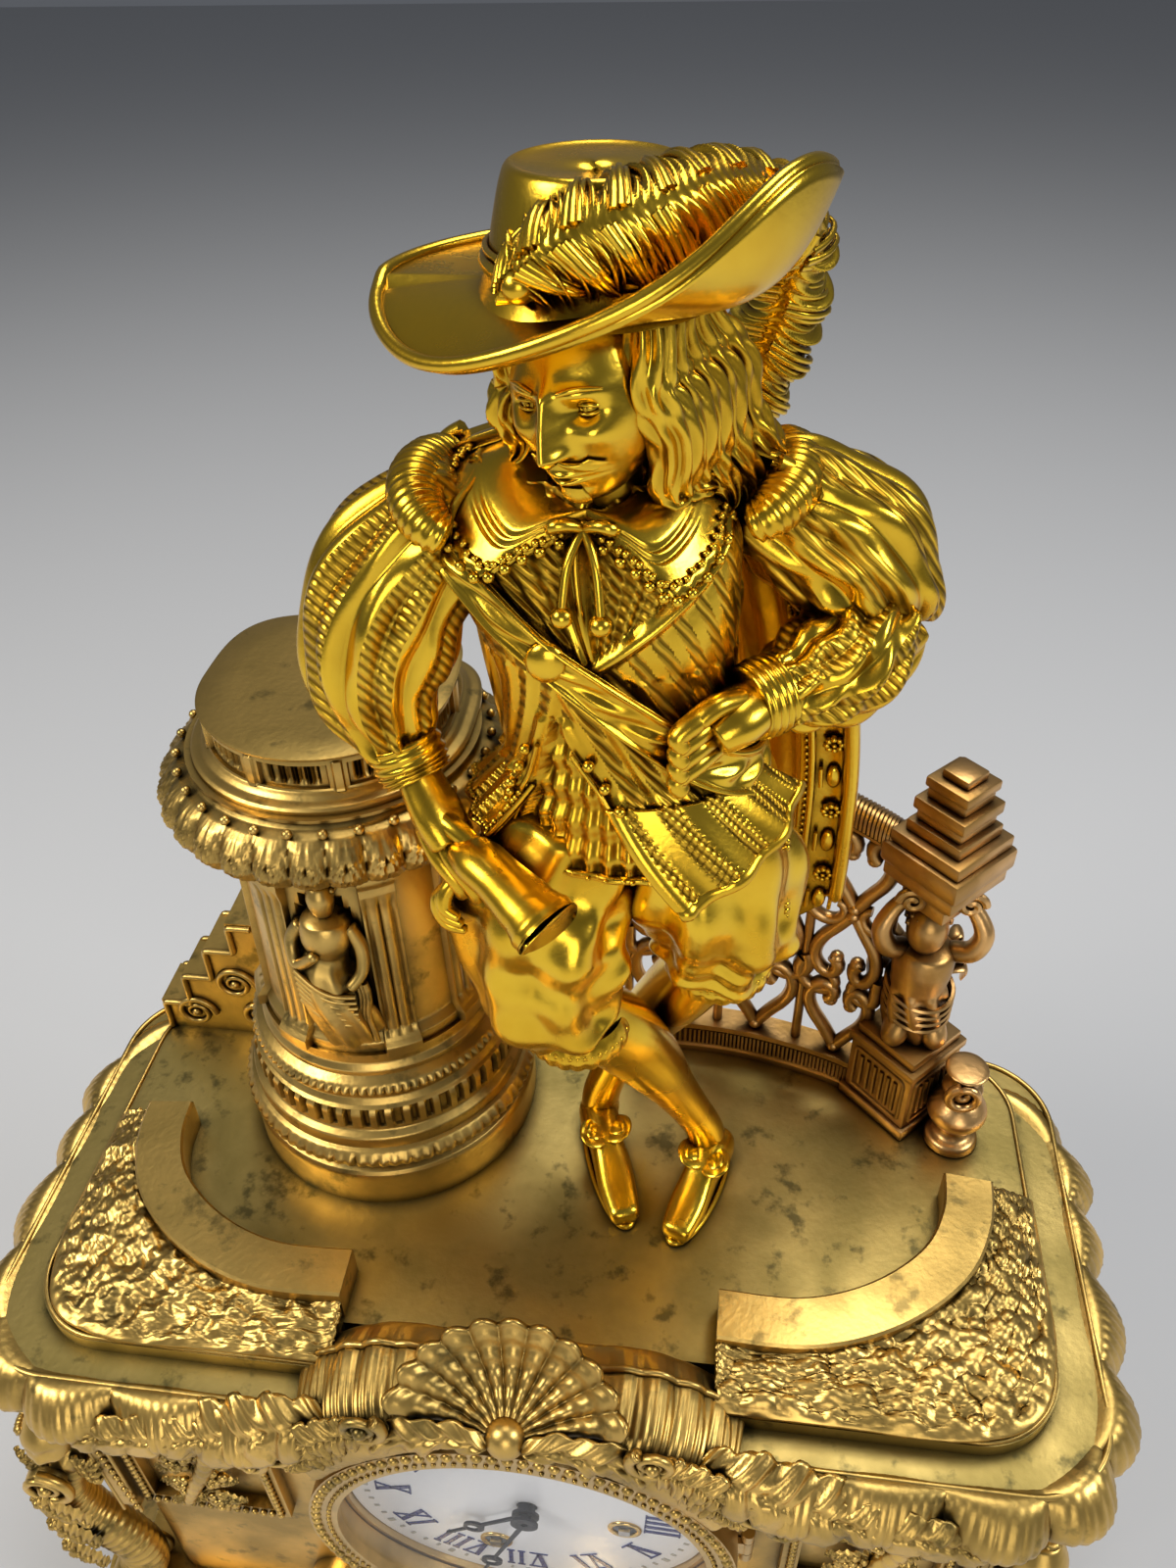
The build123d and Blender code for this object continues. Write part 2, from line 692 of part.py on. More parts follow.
newel_post.part.label = "newel_post"
export_step(newel_post.part, "parts/newel_post.step")

# Front baluster: a small vase before the newel
vase_x = 101
vase_y = 32
vase_radius = 7.5
vase_height = 29
vase_profile_shares = [(0.8, 0), (0.8, 0.14), (0.47, 0.21), (0.93, 0.41), (1, 0.59), (0.47, 0.76),
                       (0.67, 0.86), (0.4, 1)]

with BuildPart() as vase_baluster:
    add(turned_post(vase_x, vase_y, terrace_z, vase_radius, vase_height, vase_profile_shares))
    add(newel_post.part, mode=Mode.SUBTRACT)
    add(garden_beds.part, mode=Mode.SUBTRACT)
vase_baluster.part.label = "vase_baluster"
export_step(vase_baluster.part, "parts/vase_baluster.step")

# The cavalier. His places and sizes are shares of his head's height, from the middle of his
# stance: viewer's right, away, up, and then half widths and half depths.


def stance(right, away, up):
    """A place on the figure from its shares of the head's height."""
    return Vector(figure_x + right * head_height, figure_y + away * head_height,
                  terrace_z + up * head_height)


def skin(shares, turn=figure_turn):
    """A smooth body through level ovals: each is a place, a half width and a half depth."""
    level_x = (cos(radians(turn)), sin(radians(turn)), 0)
    with BuildPart() as body:
        for right, away, up, half_width, half_depth in shares:
            with BuildSketch(Plane(origin=stance(right, away, up), x_dir=level_x, z_dir=(0, 0, 1))):
                Ellipse(half_width * head_height, half_depth * head_height)
        loft()
    return body.part


def limb(shares, flat=1):
    """A smooth limb through rounds square to its run: each is a place and a radius."""
    places = [stance(right, away, up) for right, away, up, radius in shares]
    with BuildPart() as body:
        for index, share in enumerate(shares):
            ahead = places[min(index + 1, len(places) - 1)]
            behind = places[max(index - 1, 0)]
            run = (ahead - behind).normalized()
            across = run.cross(Vector(0, 0, 1))
            if across.length < abs(run.Z):
                across = run.cross(Vector(0, 1, 0))
            radius = share[3] * head_height
            with BuildSketch(Plane(origin=places[index], x_dir=across, z_dir=run)):
                Ellipse(radius, radius * flat)
        loft()
    return body.part


def trimmed(part, neighbours):
    """The main solid of a piece, cut to fit against the pieces that it joins."""
    with BuildPart() as fitted:
        add(part)
        for neighbour in neighbours:
            add(neighbour.part, mode=Mode.SUBTRACT)
    return largest(fitted.part)


head_shares = [(-0.13, 0.15, 6.3, 0.3, 0.3), (-0.17, 0.02, 6.62, 0.24, 0.26), (-0.2, -0.12, 6.72, 0.25, 0.3),
               (-0.2, -0.12, 6.95, 0.34, 0.4), (-0.17, -0.06, 7.2, 0.37, 0.44), (-0.13, 0, 7.5, 0.35, 0.42)]
hair_right_shares = [(0.2, 0.12, 7.4, 0.16), (0.3, 0.12, 7.0, 0.2), (0.32, 0.15, 6.6, 0.22), (0.38, 0.18, 6.25, 0.1)]
hair_left_shares = [(-0.5, 0.1, 7.3, 0.12), (-0.52, 0.08, 7.0, 0.14), (-0.5, 0.1, 6.6, 0.08)]

with BuildPart() as head:
    add(skin(head_shares))
    add(limb(hair_right_shares))
    add(limb(hair_left_shares))
head.part.label = "head"
export_step(head.part, "parts/head.step")

# Hat: a tapered crown on a wide brim that droops at the left and turns up at the right
crown_shares = [(-0.1, 0, 7.42, 0.52, 0.54), (-0.08, 0.03, 7.7, 0.46, 0.48), (-0.06, 0.06, 7.95, 0.41, 0.43)]
brim_line_shares = [(-1.35, 7.28), (-0.8, 7.33), (-0.1, 7.42), (0.5, 7.62), (0.95, 8)]
brim_thickness = 1.8
brim_half_width = 32
brim_half_depth = 27
brim_middle_shares = (-0.17, 0, 0)

with BuildPart() as hat:
    with BuildSketch(facing(figure_x, terrace_z, figure_y + 2 * brim_half_depth)):
        with BuildLine():
            Spline(*[(right * head_height, up * head_height) for right, up in brim_line_shares])
        trace(line_width=brim_thickness)
    extrude(amount=4 * brim_half_depth)
    with BuildSketch(Plane(origin=stance(*brim_middle_shares), z_dir=(0, 0, 1))):
        Ellipse(brim_half_width, brim_half_depth)
    extrude(amount=9 * head_height, mode=Mode.INTERSECT)
    add(skin(crown_shares))
    add(head.part, mode=Mode.SUBTRACT)
hat.part.label = "hat"
export_step(hat.part, "parts/hat.step")

# Plume: curled feathers from a button before the crown, over it, and down behind the brim
plume_shares = [(-0.38, -0.55, 7.6, 0.08), (-0.2, -0.45, 7.8, 0.16), (0.12, -0.1, 7.8, 0.2),
                (0.45, 0.4, 7.8, 0.22), (0.82, 0.95, 7.65, 0.2), (0.93, 1.22, 7.3, 0.22),
                (0.75, 1.38, 6.75, 0.26), (0.48, 1.48, 6.1, 0.1)]

with BuildPart() as hat_plume:
    add(trimmed(limb(plume_shares), [hat, head]))
hat_plume.part.label = "hat_plume"
export_step(hat_plume.part, "parts/hat_plume.step")

# Doublet: the torso with its skirts, and a strap from the left shoulder to the right hip
doublet_shares = [(0, 0.13, 3.93, 0.9, 0.67), (-0.03, 0.13, 4.5, 0.8, 0.6), (-0.1, 0.13, 5.2, 0.68, 0.52),
                  (-0.2, 0.13, 5.73, 0.8, 0.55), (-0.27, 0.17, 6.2, 0.83, 0.48), (-0.23, 0.2, 6.47, 0.5, 0.33)]

baldric_top_share = (-1, 6.25)
baldric_bottom_share = (0.75, 4.75)
baldric_rise_share = 0.2
baldric_proud_share = 0.05
baldric_shares = [(right, away, up, half_width + baldric_proud_share, half_depth + baldric_proud_share)
                  for right, away, up, half_width, half_depth in doublet_shares]

with BuildPart() as baldric:
    add(skin(baldric_shares))
    with BuildSketch(facing(figure_x, terrace_z, figure_y)):
        with BuildLine():
            Polyline(*[
                (right * head_height, (up + rise) * head_height)
                for right, up, rise in (
                    (*baldric_top_share, -baldric_rise_share),
                    (*baldric_top_share, baldric_rise_share),
                    (*baldric_bottom_share, baldric_rise_share),
                    (*baldric_bottom_share, -baldric_rise_share),
                )
            ], close=True)
        make_face()
    extrude(amount=2 * head_height, mode=Mode.INTERSECT)

with BuildPart() as torso:
    add(skin(doublet_shares))
    add(baldric.part)

with BuildPart() as doublet:
    add(trimmed(torso.part, [head]))
doublet.part.label = "doublet"
export_step(doublet.part, "parts/doublet.step")

# Collar: a broad falling collar over the shoulders
collar_shares = [(-0.2, 0.08, 6.08, 0.8, 0.66), (-0.2, 0.08, 6.3, 0.62, 0.54), (-0.16, 0.1, 6.56, 0.34, 0.34)]

with BuildPart() as falling_collar:
    add(trimmed(skin(collar_shares), [doublet, head]))
falling_collar.part.label = "falling_collar"
export_step(falling_collar.part, "parts/falling_collar.step")

# Arms: one rests on the pedestal and holds a glove, the other stands akimbo with its fist on the hip
resting_sleeve_shares = [(-0.85, 0.2, 6.2, 0.28), (-1.2, 0.15, 5.95, 0.38), (-1.5, 0.1, 5.5, 0.45),
                         (-1.55, 0.05, 5.05, 0.36), (-1.42, -0.02, 4.7, 0.22), (-1.35, -0.06, 4.55, 0.2)]
resting_hand_shares = [(-1.35, -0.06, 4.56, 0.16), (-1.18, -0.2, 4.3, 0.2), (-1, -0.33, 4.02, 0.17),
                       (-0.88, -0.42, 3.85, 0.1)]
akimbo_sleeve_shares = [(0.5, 0.45, 6.2, 0.26), (0.85, 0.55, 6.08, 0.38), (1.22, 0.6, 5.78, 0.42),
                        (1.45, 0.6, 5.38, 0.3)]
akimbo_forearm_shares = [(1.5, 0.58, 5.4, 0.28), (1.2, 0.25, 5.24, 0.33), (0.85, 0, 5.18, 0.22),
                         (0.66, -0.15, 5.17, 0.18)]
akimbo_hand_shares = [(0.67, -0.14, 5.17, 0.15), (0.5, -0.32, 5.1, 0.18), (0.3, -0.48, 4.98, 0.15),
                      (0.2, -0.55, 4.88, 0.08)]

glove_shares = [(-1, -0.36, 3.92, 0.11), (-0.68, -0.52, 3.94, 0.14), (-0.3, -0.66, 3.9, 0.17)]
glove_flat_share = 0.45

with BuildPart() as resting_form:
    add(limb(resting_sleeve_shares))
    add(limb(resting_hand_shares))
    add(limb(glove_shares, glove_flat_share))

with BuildPart() as resting_arm:
    add(trimmed(resting_form.part, [doublet, falling_collar, pedestal_block, pedestal_capital]))
resting_arm.part.label = "resting_arm"
export_step(resting_arm.part, "parts/resting_arm.step")

with BuildPart() as akimbo_form:
    add(limb(akimbo_sleeve_shares))
    add(limb(akimbo_forearm_shares))
    add(limb(akimbo_hand_shares))

with BuildPart() as akimbo_arm:
    add(trimmed(akimbo_form.part, [doublet, falling_collar, head]))
akimbo_arm.part.label = "akimbo_arm"
export_step(akimbo_arm.part, "parts/akimbo_arm.step")

# Breeches: two full legs gathered below the knee
left_breech_shares = [(-0.38, 0.1, 4.1, 0.42), (-0.47, 0, 3.5, 0.48), (-0.46, -0.18, 2.95, 0.42),
                      (-0.43, -0.24, 2.7, 0.3)]
right_breech_shares = [(0.42, 0.15, 4.1, 0.42), (0.55, 0.2, 3.5, 0.48), (0.6, 0.25, 3, 0.42),
                       (0.6, 0.27, 2.72, 0.3)]

with BuildPart() as breeches_pair:
    add(limb(left_breech_shares))
    add(limb(right_breech_shares))

with BuildPart() as breeches:
    add(trimmed(breeches_pair.part, [doublet, resting_arm]))
breeches.part.label = "breeches"
export_step(breeches.part, "parts/breeches.step")

# Legs: crossed at the calf, in stockings and square shoes
front_leg_shares = [(-0.43, -0.24, 2.75, 0.22), (-0.15, -0.05, 2.25, 0.21), (0.13, 0.14, 1.6, 0.2),
                    (0.42, 0.33, 0.95, 0.14), (0.6, 0.43, 0.4, 0.13), (0.6, 0.43, 0.1, 0.13)]
back_leg_shares = [(0.6, 0.27, 2.75, 0.22), (0.4, 0.46, 2.2, 0.2), (0.1, 0.62, 1.53, 0.19),
                   (-0.15, 0.68, 0.95, 0.14), (*back_ankle_share, 0.4, 0.13), (*back_ankle_share, 0.1, 0.13)]
front_shoe_shares = ((0.74, 0.62), (0.4, -0.38))
back_shoe_shares = ((-0.42, 0.85), (0, -0.28))
shoe_half_width = 4.8
shoe_height = 6

with BuildPart() as crossed_legs:
    for leg_shares, shoe_shares in ((front_leg_shares, front_shoe_shares), (back_leg_shares, back_shoe_shares)):
        add(limb(leg_shares))
        heel = stance(*shoe_shares[0], 0)
        toe = stance(*shoe_shares[1], 0)
        shoe_run = toe - heel
        with BuildSketch(Plane(origin=(heel + toe) / 2, x_dir=shoe_run, z_dir=(0, 0, 1))):
            SlotOverall(shoe_run.length, 2 * shoe_half_width)
        extrude(amount=shoe_height)
    add(breeches.part, mode=Mode.SUBTRACT)
    with BuildSketch(Plane.XY.offset(terrace_z)):
        with Locations((figure_x, figure_y)):
            Circle(2 * head_height)
    extrude(amount=-head_height, mode=Mode.SUBTRACT)
    add(stud_bores.part, mode=Mode.SUBTRACT)
crossed_legs.part.label = "crossed_legs"
export_step(crossed_legs.part, "parts/crossed_legs.step")

# Cloak: a hanging shell behind him, from the shoulders to below the knee
cloak_shares = [(0.17, 0.9, 2.4, 1, 0.5), (0.12, 0.75, 4, 0.98, 0.55), (0, 0.5, 5.2, 0.95, 0.55),
                (-0.2, 0.3, 6.25, 0.85, 0.42)]
cloak_wall_share = 0.1
cloak_lining_shares = [(right, away, up, half_width - cloak_wall_share, half_depth - cloak_wall_share)
                       for right, away, up, half_width, half_depth in cloak_shares]
cloak_front_shares = [(-2, 2.3), (0.95, 2.3), (0.25, 6.4), (-2, 6.4)]

with BuildPart() as cloak_form:
    add(skin(cloak_shares))
    add(skin(cloak_lining_shares), mode=Mode.SUBTRACT)
    with BuildSketch(Plane(origin=(figure_x - 2 * head_height, figure_y, terrace_z), x_dir=(0, 1, 0),
                           z_dir=(1, 0, 0))):
        with BuildLine():
            Polyline(*[(away * head_height, up * head_height) for away, up in cloak_front_shares],
                     close=True)
        make_face()
    extrude(amount=4 * head_height, mode=Mode.SUBTRACT)

with BuildPart() as cloak:
    add(trimmed(cloak_form.part, [doublet, head, falling_collar, akimbo_arm, resting_arm]))
cloak.part.label = "cloak"
export_step(cloak.part, "parts/cloak.step")

# Movement: an eight-day train with a going side and a striking side between two round plates.
# Places on it are right and up from the dial's centre, in the turned frame of the dial.
front_plate_front = -42
front_plate_back = -40.5
back_plate_front = -11.5
back_plate_back = -10
plate_radius = 39.5
pillar_radius = 2.2
pillar_reach = 36.5
upper_pillar_u = 24
upper_pillar_v = 27
end_shake = 0.2
pivot_recess = 0.5
arbor_radius = 0.55
pivot_radius = 0.4
stout_arbor_radius = 0.8
through_radius = 0.6
wheel_thickness = 0.8
pinion_overlap = 0.6
tooth_shares = [(-0.2, -0.85), (-0.09, 0.65), (0.09, 0.65), (0.2, -0.85)]


def ring(back, front, outer, inner=0):
    """A round ring, or a disc, about the axis of the dial."""
    with BuildPart() as band:
        with BuildSketch(facing(0, dial_z, back)):
            Circle(outer)
            if inner:
                Circle(inner, mode=Mode.SUBTRACT)
        extrude(amount=back - front)
    return band.part


def box(left, right, front, back, bottom, top):
    """A plain block between six faces."""
    with BuildPart() as block:
        with BuildSketch(Plane.XY.offset(bottom)):
            with Locations(((left + right) / 2, (front + back) / 2)):
                Rectangle(right - left, back - front)
        extrude(amount=top - bottom)
    return block.part


def upright(x, y, bottom, top, radius):
    """A round pin that stands upright."""
    with BuildPart() as pin:
        with BuildSketch(Plane.XY.offset(bottom)):
            with Locations((x, y)):
                Circle(radius)
        extrude(amount=top - bottom)
    return pin.part


def bar(start, end, width, back, front):
    """A flat bar with round ends between two places on the movement."""
    first = Vector(*seat(*start))
    last = Vector(*seat(*end))
    with BuildPart() as lever:
        with BuildSketch(facing(0, 0, back)):
            with BuildLine():
                Line(first, last)
            trace(line_width=width)
            with Locations(first, last):
                Circle(width / 2)
        extrude(amount=back - front)
    return lever.part


def beyond(place, distance, bearing):
    """The place at a distance and a bearing, in degrees, from another."""
    return (place[0] + distance * cos(radians(bearing)), place[1] + distance * sin(radians(bearing)))


def bearing_to(start, end):
    """The bearing of one place from another, in radians."""
    return atan2(end[1] - start[1], end[0] - start[0])


def meet(first, first_distance, second, second_distance):
    """The place at the given distances from two others, on the left of the way between them."""
    apart = hypot(second[0] - first[0], second[1] - first[1])
    along = (apart**2 + first_distance**2 - second_distance**2) / (2 * apart)
    off = sqrt(first_distance**2 - along**2)
    way = bearing_to(first, second)
    return (first[0] + along * cos(way) - off * sin(way), first[1] + along * sin(way) + off * cos(way))


def gear(place, teeth, module, phase, back, front):
    """A toothed wheel: the phase is the bearing of the middle of one tooth, in radians."""
    outline = []
    for tooth in range(teeth):
        for step, level in tooth_shares:
            bearing = phase + 2 * pi * (tooth + step) / teeth
            reach = module * (teeth / 2 + level)
            outline.append(seat(place[0] + reach * cos(bearing), place[1] + reach * sin(bearing)))
    with BuildPart() as toothed:
        with BuildSketch(facing(0, 0, back)):
            with BuildLine():
                Polyline(*outline, close=True)
            make_face()
        extrude(amount=back - front)
    return toothed.part


def wheel(place, teeth, module, mate, back, thickness=wheel_thickness):
    """A wheel with a tooth on the line to the pinion that it drives."""
    return gear(place, teeth, module, bearing_to(place, mate), back, back - thickness)


def pinion(place, teeth, module, mate, wheel_back, thickness=wheel_thickness):
    """A pinion with a gap on the line to the wheel that drives it."""
    return gear(place, teeth, module, bearing_to(place, mate) + pi / teeth,
                wheel_back + pinion_overlap, wheel_back - thickness - pinion_overlap)


def arbor(place, radius=arbor_radius, pivot=pivot_radius):
    """An arbor between the plates, with a thinner pivot in each."""
    return rod(*seat(*place), [
        (back_plate_front - end_shake, front_plate_back + end_shake, radius),
        (back_plate_back - pivot_recess, front_plate_front, pivot),
    ])


# Places and tooth counts of the trains
great_teeth = 84
great_pinion_teeth = 12
great_module = 0.381
great_back = -15.4
great_thickness = 1.6
barrel_u = 18.7
barrel_v = -16.2
going_place = (barrel_u, barrel_v)
strike_place = (-barrel_u, barrel_v)
centre_place = (0, 0)
great_distance = great_module * (great_teeth + great_pinion_teeth) / 2

intermediate_teeth = 80
centre_pinion_teeth = 10
intermediate_module = 0.3
intermediate_back = -38.4
intermediate_distance = intermediate_module * (intermediate_teeth + centre_pinion_teeth) / 2
intermediate_place = meet(centre_place, intermediate_distance, going_place, great_distance)

centre_teeth = 84
third_pinion_teeth = 7
centre_module = 0.26
centre_back = -36.1
third_bearing = 74.7
third_place = beyond(centre_place, centre_module * (centre_teeth + third_pinion_teeth) / 2, third_bearing)

third_teeth = 77
escape_pinion_teeth = 7
third_module = 0.25
third_back = -25.6
escape_bearing = 107.2
escape_place = beyond(third_place, third_module * (third_teeth + escape_pinion_teeth) / 2, escape_bearing)

second_teeth = 72
pin_pinion_teeth = 8
second_module = 0.25
second_back = -38.4
pin_bearing = 100
second_place = (-intermediate_place[0], intermediate_place[1])
pin_place = beyond(second_place, second_module * (second_teeth + pin_pinion_teeth) / 2, pin_bearing)

pin_teeth = 60
warning_pinion_teeth = 7
pin_module = 0.27
pin_back = -29.2
warning_bearing = 60
warning_place = beyond(pin_place, pin_module * (pin_teeth + warning_pinion_teeth) / 2, warning_bearing)

warning_teeth = 56
fly_pinion_teeth = 7
warning_module = 0.25
warning_back = -22.6
fly_bearing = 110
fly_place = beyond(warning_place, warning_module * (warning_teeth + fly_pinion_teeth) / 2, fly_bearing)

anchor_drop = 10.36
anchor_place = (escape_place[0], escape_place[1] + anchor_drop)
hammer_reach = 33
hammer_bearing = 168
hammer_place = beyond(centre_place, hammer_reach, hammer_bearing)

# Barrels: each drum turns on its winding arbor and drives its train with its great wheel
drum_radius = 15.5
drum_front = -35
winding_radius = 1.5
winding_pivot_radius = 1.2
journal_radius = 2
ratchet_teeth = 18
ratchet_module = 0.62
ratchet_back = -42.4
ratchet_front = -43.4
square_side = 2.8
square_front = -51.3
click_radius = 1.2
click_reach = 7.8

with BuildPart() as going_barrel:
    add(rod(*seat(*going_place), [(great_back - great_thickness, drum_front, drum_radius)]))
    add(wheel(going_place, great_teeth, great_module, intermediate_place, great_back, great_thickness))
    add(rod(*seat(*going_place), [(great_back, drum_front, winding_radius + running_clearance)]),
        mode=Mode.SUBTRACT)
going_barrel.part.label = "going_barrel"
export_step(going_barrel.part, "parts/going_barrel.step")

with BuildPart() as strike_barrel:
    add(rod(*seat(*strike_place), [(great_back - great_thickness, drum_front, drum_radius)]))
    add(wheel(strike_place, great_teeth, great_module, second_place, great_back, great_thickness))
    add(rod(*seat(*strike_place), [(great_back, drum_front, winding_radius + running_clearance)]),
        mode=Mode.SUBTRACT)
strike_barrel.part.label = "strike_barrel"
export_step(strike_barrel.part, "parts/strike_barrel.step")


def winding_arbor(place):
    """A winding arbor with its ratchet wheel and the square for the key."""
    with BuildPart() as arbor_with_square:
        add(arbor(place, winding_radius, winding_pivot_radius))
        add(rod(*seat(*place), [(front_plate_back + end_shake, ratchet_back, journal_radius)]))
        add(gear(place, ratchet_teeth, ratchet_module, 0, ratchet_back, ratchet_front))
        square_x, square_z = seat(*place)
        with BuildSketch(facing(square_x, square_z, ratchet_front)):
            Rectangle(square_side, square_side)
        extrude(amount=ratchet_front - square_front)
    return arbor_with_square.part


with BuildPart() as going_winding_arbor:
    add(winding_arbor(going_place))
going_winding_arbor.part.label = "going_winding_arbor"
export_step(going_winding_arbor.part, "parts/going_winding_arbor.step")

with BuildPart() as strike_winding_arbor:
    add(winding_arbor(strike_place))
strike_winding_arbor.part.label = "strike_winding_arbor"
export_step(strike_winding_arbor.part, "parts/strike_winding_arbor.step")

# Going train: intermediate, centre, third and escape wheels
centre_arbor_radius = 0.9
centre_arbor_front = -53
escape_teeth = 40
escape_module = 0.35
escape_back = -19.6

with BuildPart() as intermediate_wheel:
    add(arbor(intermediate_place))
    add(pinion(intermediate_place, great_pinion_teeth, great_module, going_place, great_back, great_thickness))
    add(wheel(intermediate_place, intermediate_teeth, intermediate_module, centre_place, intermediate_back))
intermediate_wheel.part.label = "intermediate_wheel"
export_step(intermediate_wheel.part, "parts/intermediate_wheel.step")

with BuildPart() as centre_wheel:
    add(arbor(centre_place, centre_arbor_radius))
    add(rod(*seat(*centre_place), [(front_plate_back, centre_arbor_front, centre_arbor_radius)]))
    add(pinion(centre_place, centre_pinion_teeth, intermediate_module, intermediate_place, intermediate_back))
    add(wheel(centre_place, centre_teeth, centre_module, third_place, centre_back))
centre_wheel.part.label = "centre_wheel"
export_step(centre_wheel.part, "parts/centre_wheel.step")

with BuildPart() as third_wheel:
    add(arbor(third_place))
    add(pinion(third_place, third_pinion_teeth, centre_module, centre_place, centre_back))
    add(wheel(third_place, third_teeth, third_module, escape_place, third_back))
third_wheel.part.label = "third_wheel"
export_step(third_wheel.part, "parts/third_wheel.step")

with BuildPart() as escape_wheel:
    add(arbor(escape_place))
    add(pinion(escape_place, escape_pinion_teeth, third_module, third_place, third_back))
    add(gear(escape_place, escape_teeth, escape_module, 0, escape_back, escape_back - wheel_thickness))
escape_wheel.part.label = "escape_wheel"
export_step(escape_wheel.part, "parts/escape_wheel.step")

# Anchor: two pallets over the escape wheel, and a crutch behind the back plate that takes the pendulum
pallet_inner = 7.95
pallet_outer = 9.2
pallet_half_angle = 40
anchor_hub_radius = 2
anchor_back = -6.5
crutch_back = -7.5
crutch_front = -8.5
crutch_length = 22
crutch_half_width = 1
fork_half_width = 2.05
prong_radius = 0.5
prong_offset = 1.55
prong_back = -1.5
pivot_x, pivot_z = seat(*anchor_place)

with BuildPart() as anchor:
    add(arbor(anchor_place, stout_arbor_radius))
    add(rod(pivot_x, pivot_z, [(anchor_back, back_plate_front - end_shake, through_radius),
                               (crutch_back, crutch_front, anchor_hub_radius)]))
    with BuildSketch(facing(*seat(*escape_place), escape_back)):
        Circle(pallet_outer)
        Circle(pallet_inner, mode=Mode.SUBTRACT)
        with BuildLine():
            sweep = [radians(90 + dial_turn + lean)
                     for lean in (-pallet_half_angle, -pallet_half_angle / 2, 0, pallet_half_angle / 2,
                                  pallet_half_angle)]
            Polyline((0, 0), *[(2 * pallet_outer * cos(turn), 2 * pallet_outer * sin(turn)) for turn in sweep],
                     close=True)
        make_face(mode=Mode.INTERSECT)
    extrude(amount=wheel_thickness)
    add(rod(pivot_x, pivot_z, [(escape_back, escape_back - wheel_thickness, anchor_hub_radius)]))
    add(box(pivot_x - crutch_half_width, pivot_x + crutch_half_width, crutch_front, crutch_back,
            pivot_z - crutch_length, pivot_z))
    add(box(pivot_x - fork_half_width, pivot_x + fork_half_width, crutch_front, crutch_back,
            pivot_z - crutch_length, pivot_z - crutch_length + 2 * crutch_half_width))
    for side in (-1, 1):
        add(rod(pivot_x + side * prong_offset, pivot_z - crutch_length + crutch_half_width,
                [(prong_back, crutch_back, prong_radius)]))
anchor.part.label = "anchor"
export_step(anchor.part, "parts/anchor.step")

# Pendulum: a spring block, a rod, a round bob and a rating nut
pendulum_y = -3
spring_half_width = 3
spring_half_height = 3
spring_half_depth = 1
pendulum_rod_radius = 0.9
pendulum_length = 112
bob_radius = 11
bob_half_depth = 3
rating_nut_radius = 2.5
rating_nut_height = 2.5

with BuildPart() as pendulum:
    bob_z = pivot_z - pendulum_length
    nut_bottom = bob_z - bob_radius - rating_nut_height
    add(box(pivot_x - spring_half_width, pivot_x + spring_half_width, pendulum_y - spring_half_depth,
            pendulum_y + spring_half_depth, pivot_z - spring_half_height, pivot_z + spring_half_height))
    add(upright(pivot_x, pendulum_y, nut_bottom, pivot_z, pendulum_rod_radius))
    add(upright(pivot_x, pendulum_y, nut_bottom, nut_bottom + rating_nut_height, rating_nut_radius))
    add(rod(pivot_x, bob_z, [(pendulum_y + bob_half_depth, pendulum_y - bob_half_depth, bob_radius)]))
pendulum.part.label = "pendulum"
export_step(pendulum.part, "parts/pendulum.step")

# Strike train: second wheel, pin wheel, warning wheel and fly
lifting_pin_count = 10
lifting_pin_radius = 0.5
lifting_pin_reach = 6.8
lifting_pin_length = 1.5
fly_half_width = 5
fly_half_thickness = 0.3
fly_front = -37
fly_back = -27

with BuildPart() as strike_second_wheel:
    add(arbor(second_place))
    add(pinion(second_place, great_pinion_teeth, great_module, strike_place, great_back, great_thickness))
    add(wheel(second_place, second_teeth, second_module, pin_place, second_back))
strike_second_wheel.part.label = "strike_second_wheel"
export_step(strike_second_wheel.part, "parts/strike_second_wheel.step")

with BuildPart() as pin_wheel:
    add(arbor(pin_place))
    add(pinion(pin_place, pin_pinion_teeth, second_module, second_place, second_back))
    add(wheel(pin_place, pin_teeth, pin_module, warning_place, pin_back))
    pin_face = pin_back - wheel_thickness
    for pin in range(lifting_pin_count):
        pin_spot = beyond(pin_place, lifting_pin_reach, 360 * pin / lifting_pin_count)
        add(rod(*seat(*pin_spot), [(pin_face, pin_face - lifting_pin_length, lifting_pin_radius)]))
pin_wheel.part.label = "pin_wheel"
export_step(pin_wheel.part, "parts/pin_wheel.step")

with BuildPart() as warning_wheel:
    add(arbor(warning_place))
    add(pinion(warning_place, warning_pinion_teeth, pin_module, pin_place, pin_back))
    add(wheel(warning_place, warning_teeth, warning_module, fly_place, warning_back))
warning_wheel.part.label = "warning_wheel"
export_step(warning_wheel.part, "parts/warning_wheel.step")

with BuildPart() as fly:
    add(arbor(fly_place))
    add(pinion(fly_place, fly_pinion_teeth, warning_module, warning_place, warning_back))
    with BuildSketch(facing(*seat(*fly_place), fly_back)):
        Rectangle(2 * fly_half_width, 2 * (arbor_radius + fly_half_thickness))
    extrude(amount=fly_back - fly_front)
fly.part.label = "fly"
export_step(fly.part, "parts/fly.step")

# Hammer: an arbor with a tail among the plates and an arm with its head behind them
hammer_arm_back = 10
hammer_arm_front = 8
hammer_arm_width = 2
hammer_head_radius = 2.5
hammer_head_bearing = 130
hammer_head_reach = 32.9
hammer_head_back = 13
hammer_head_front = 7
tail_back = -30.3
tail_front = -31.3
tail_width = 1.6
tail_gap = 9.4

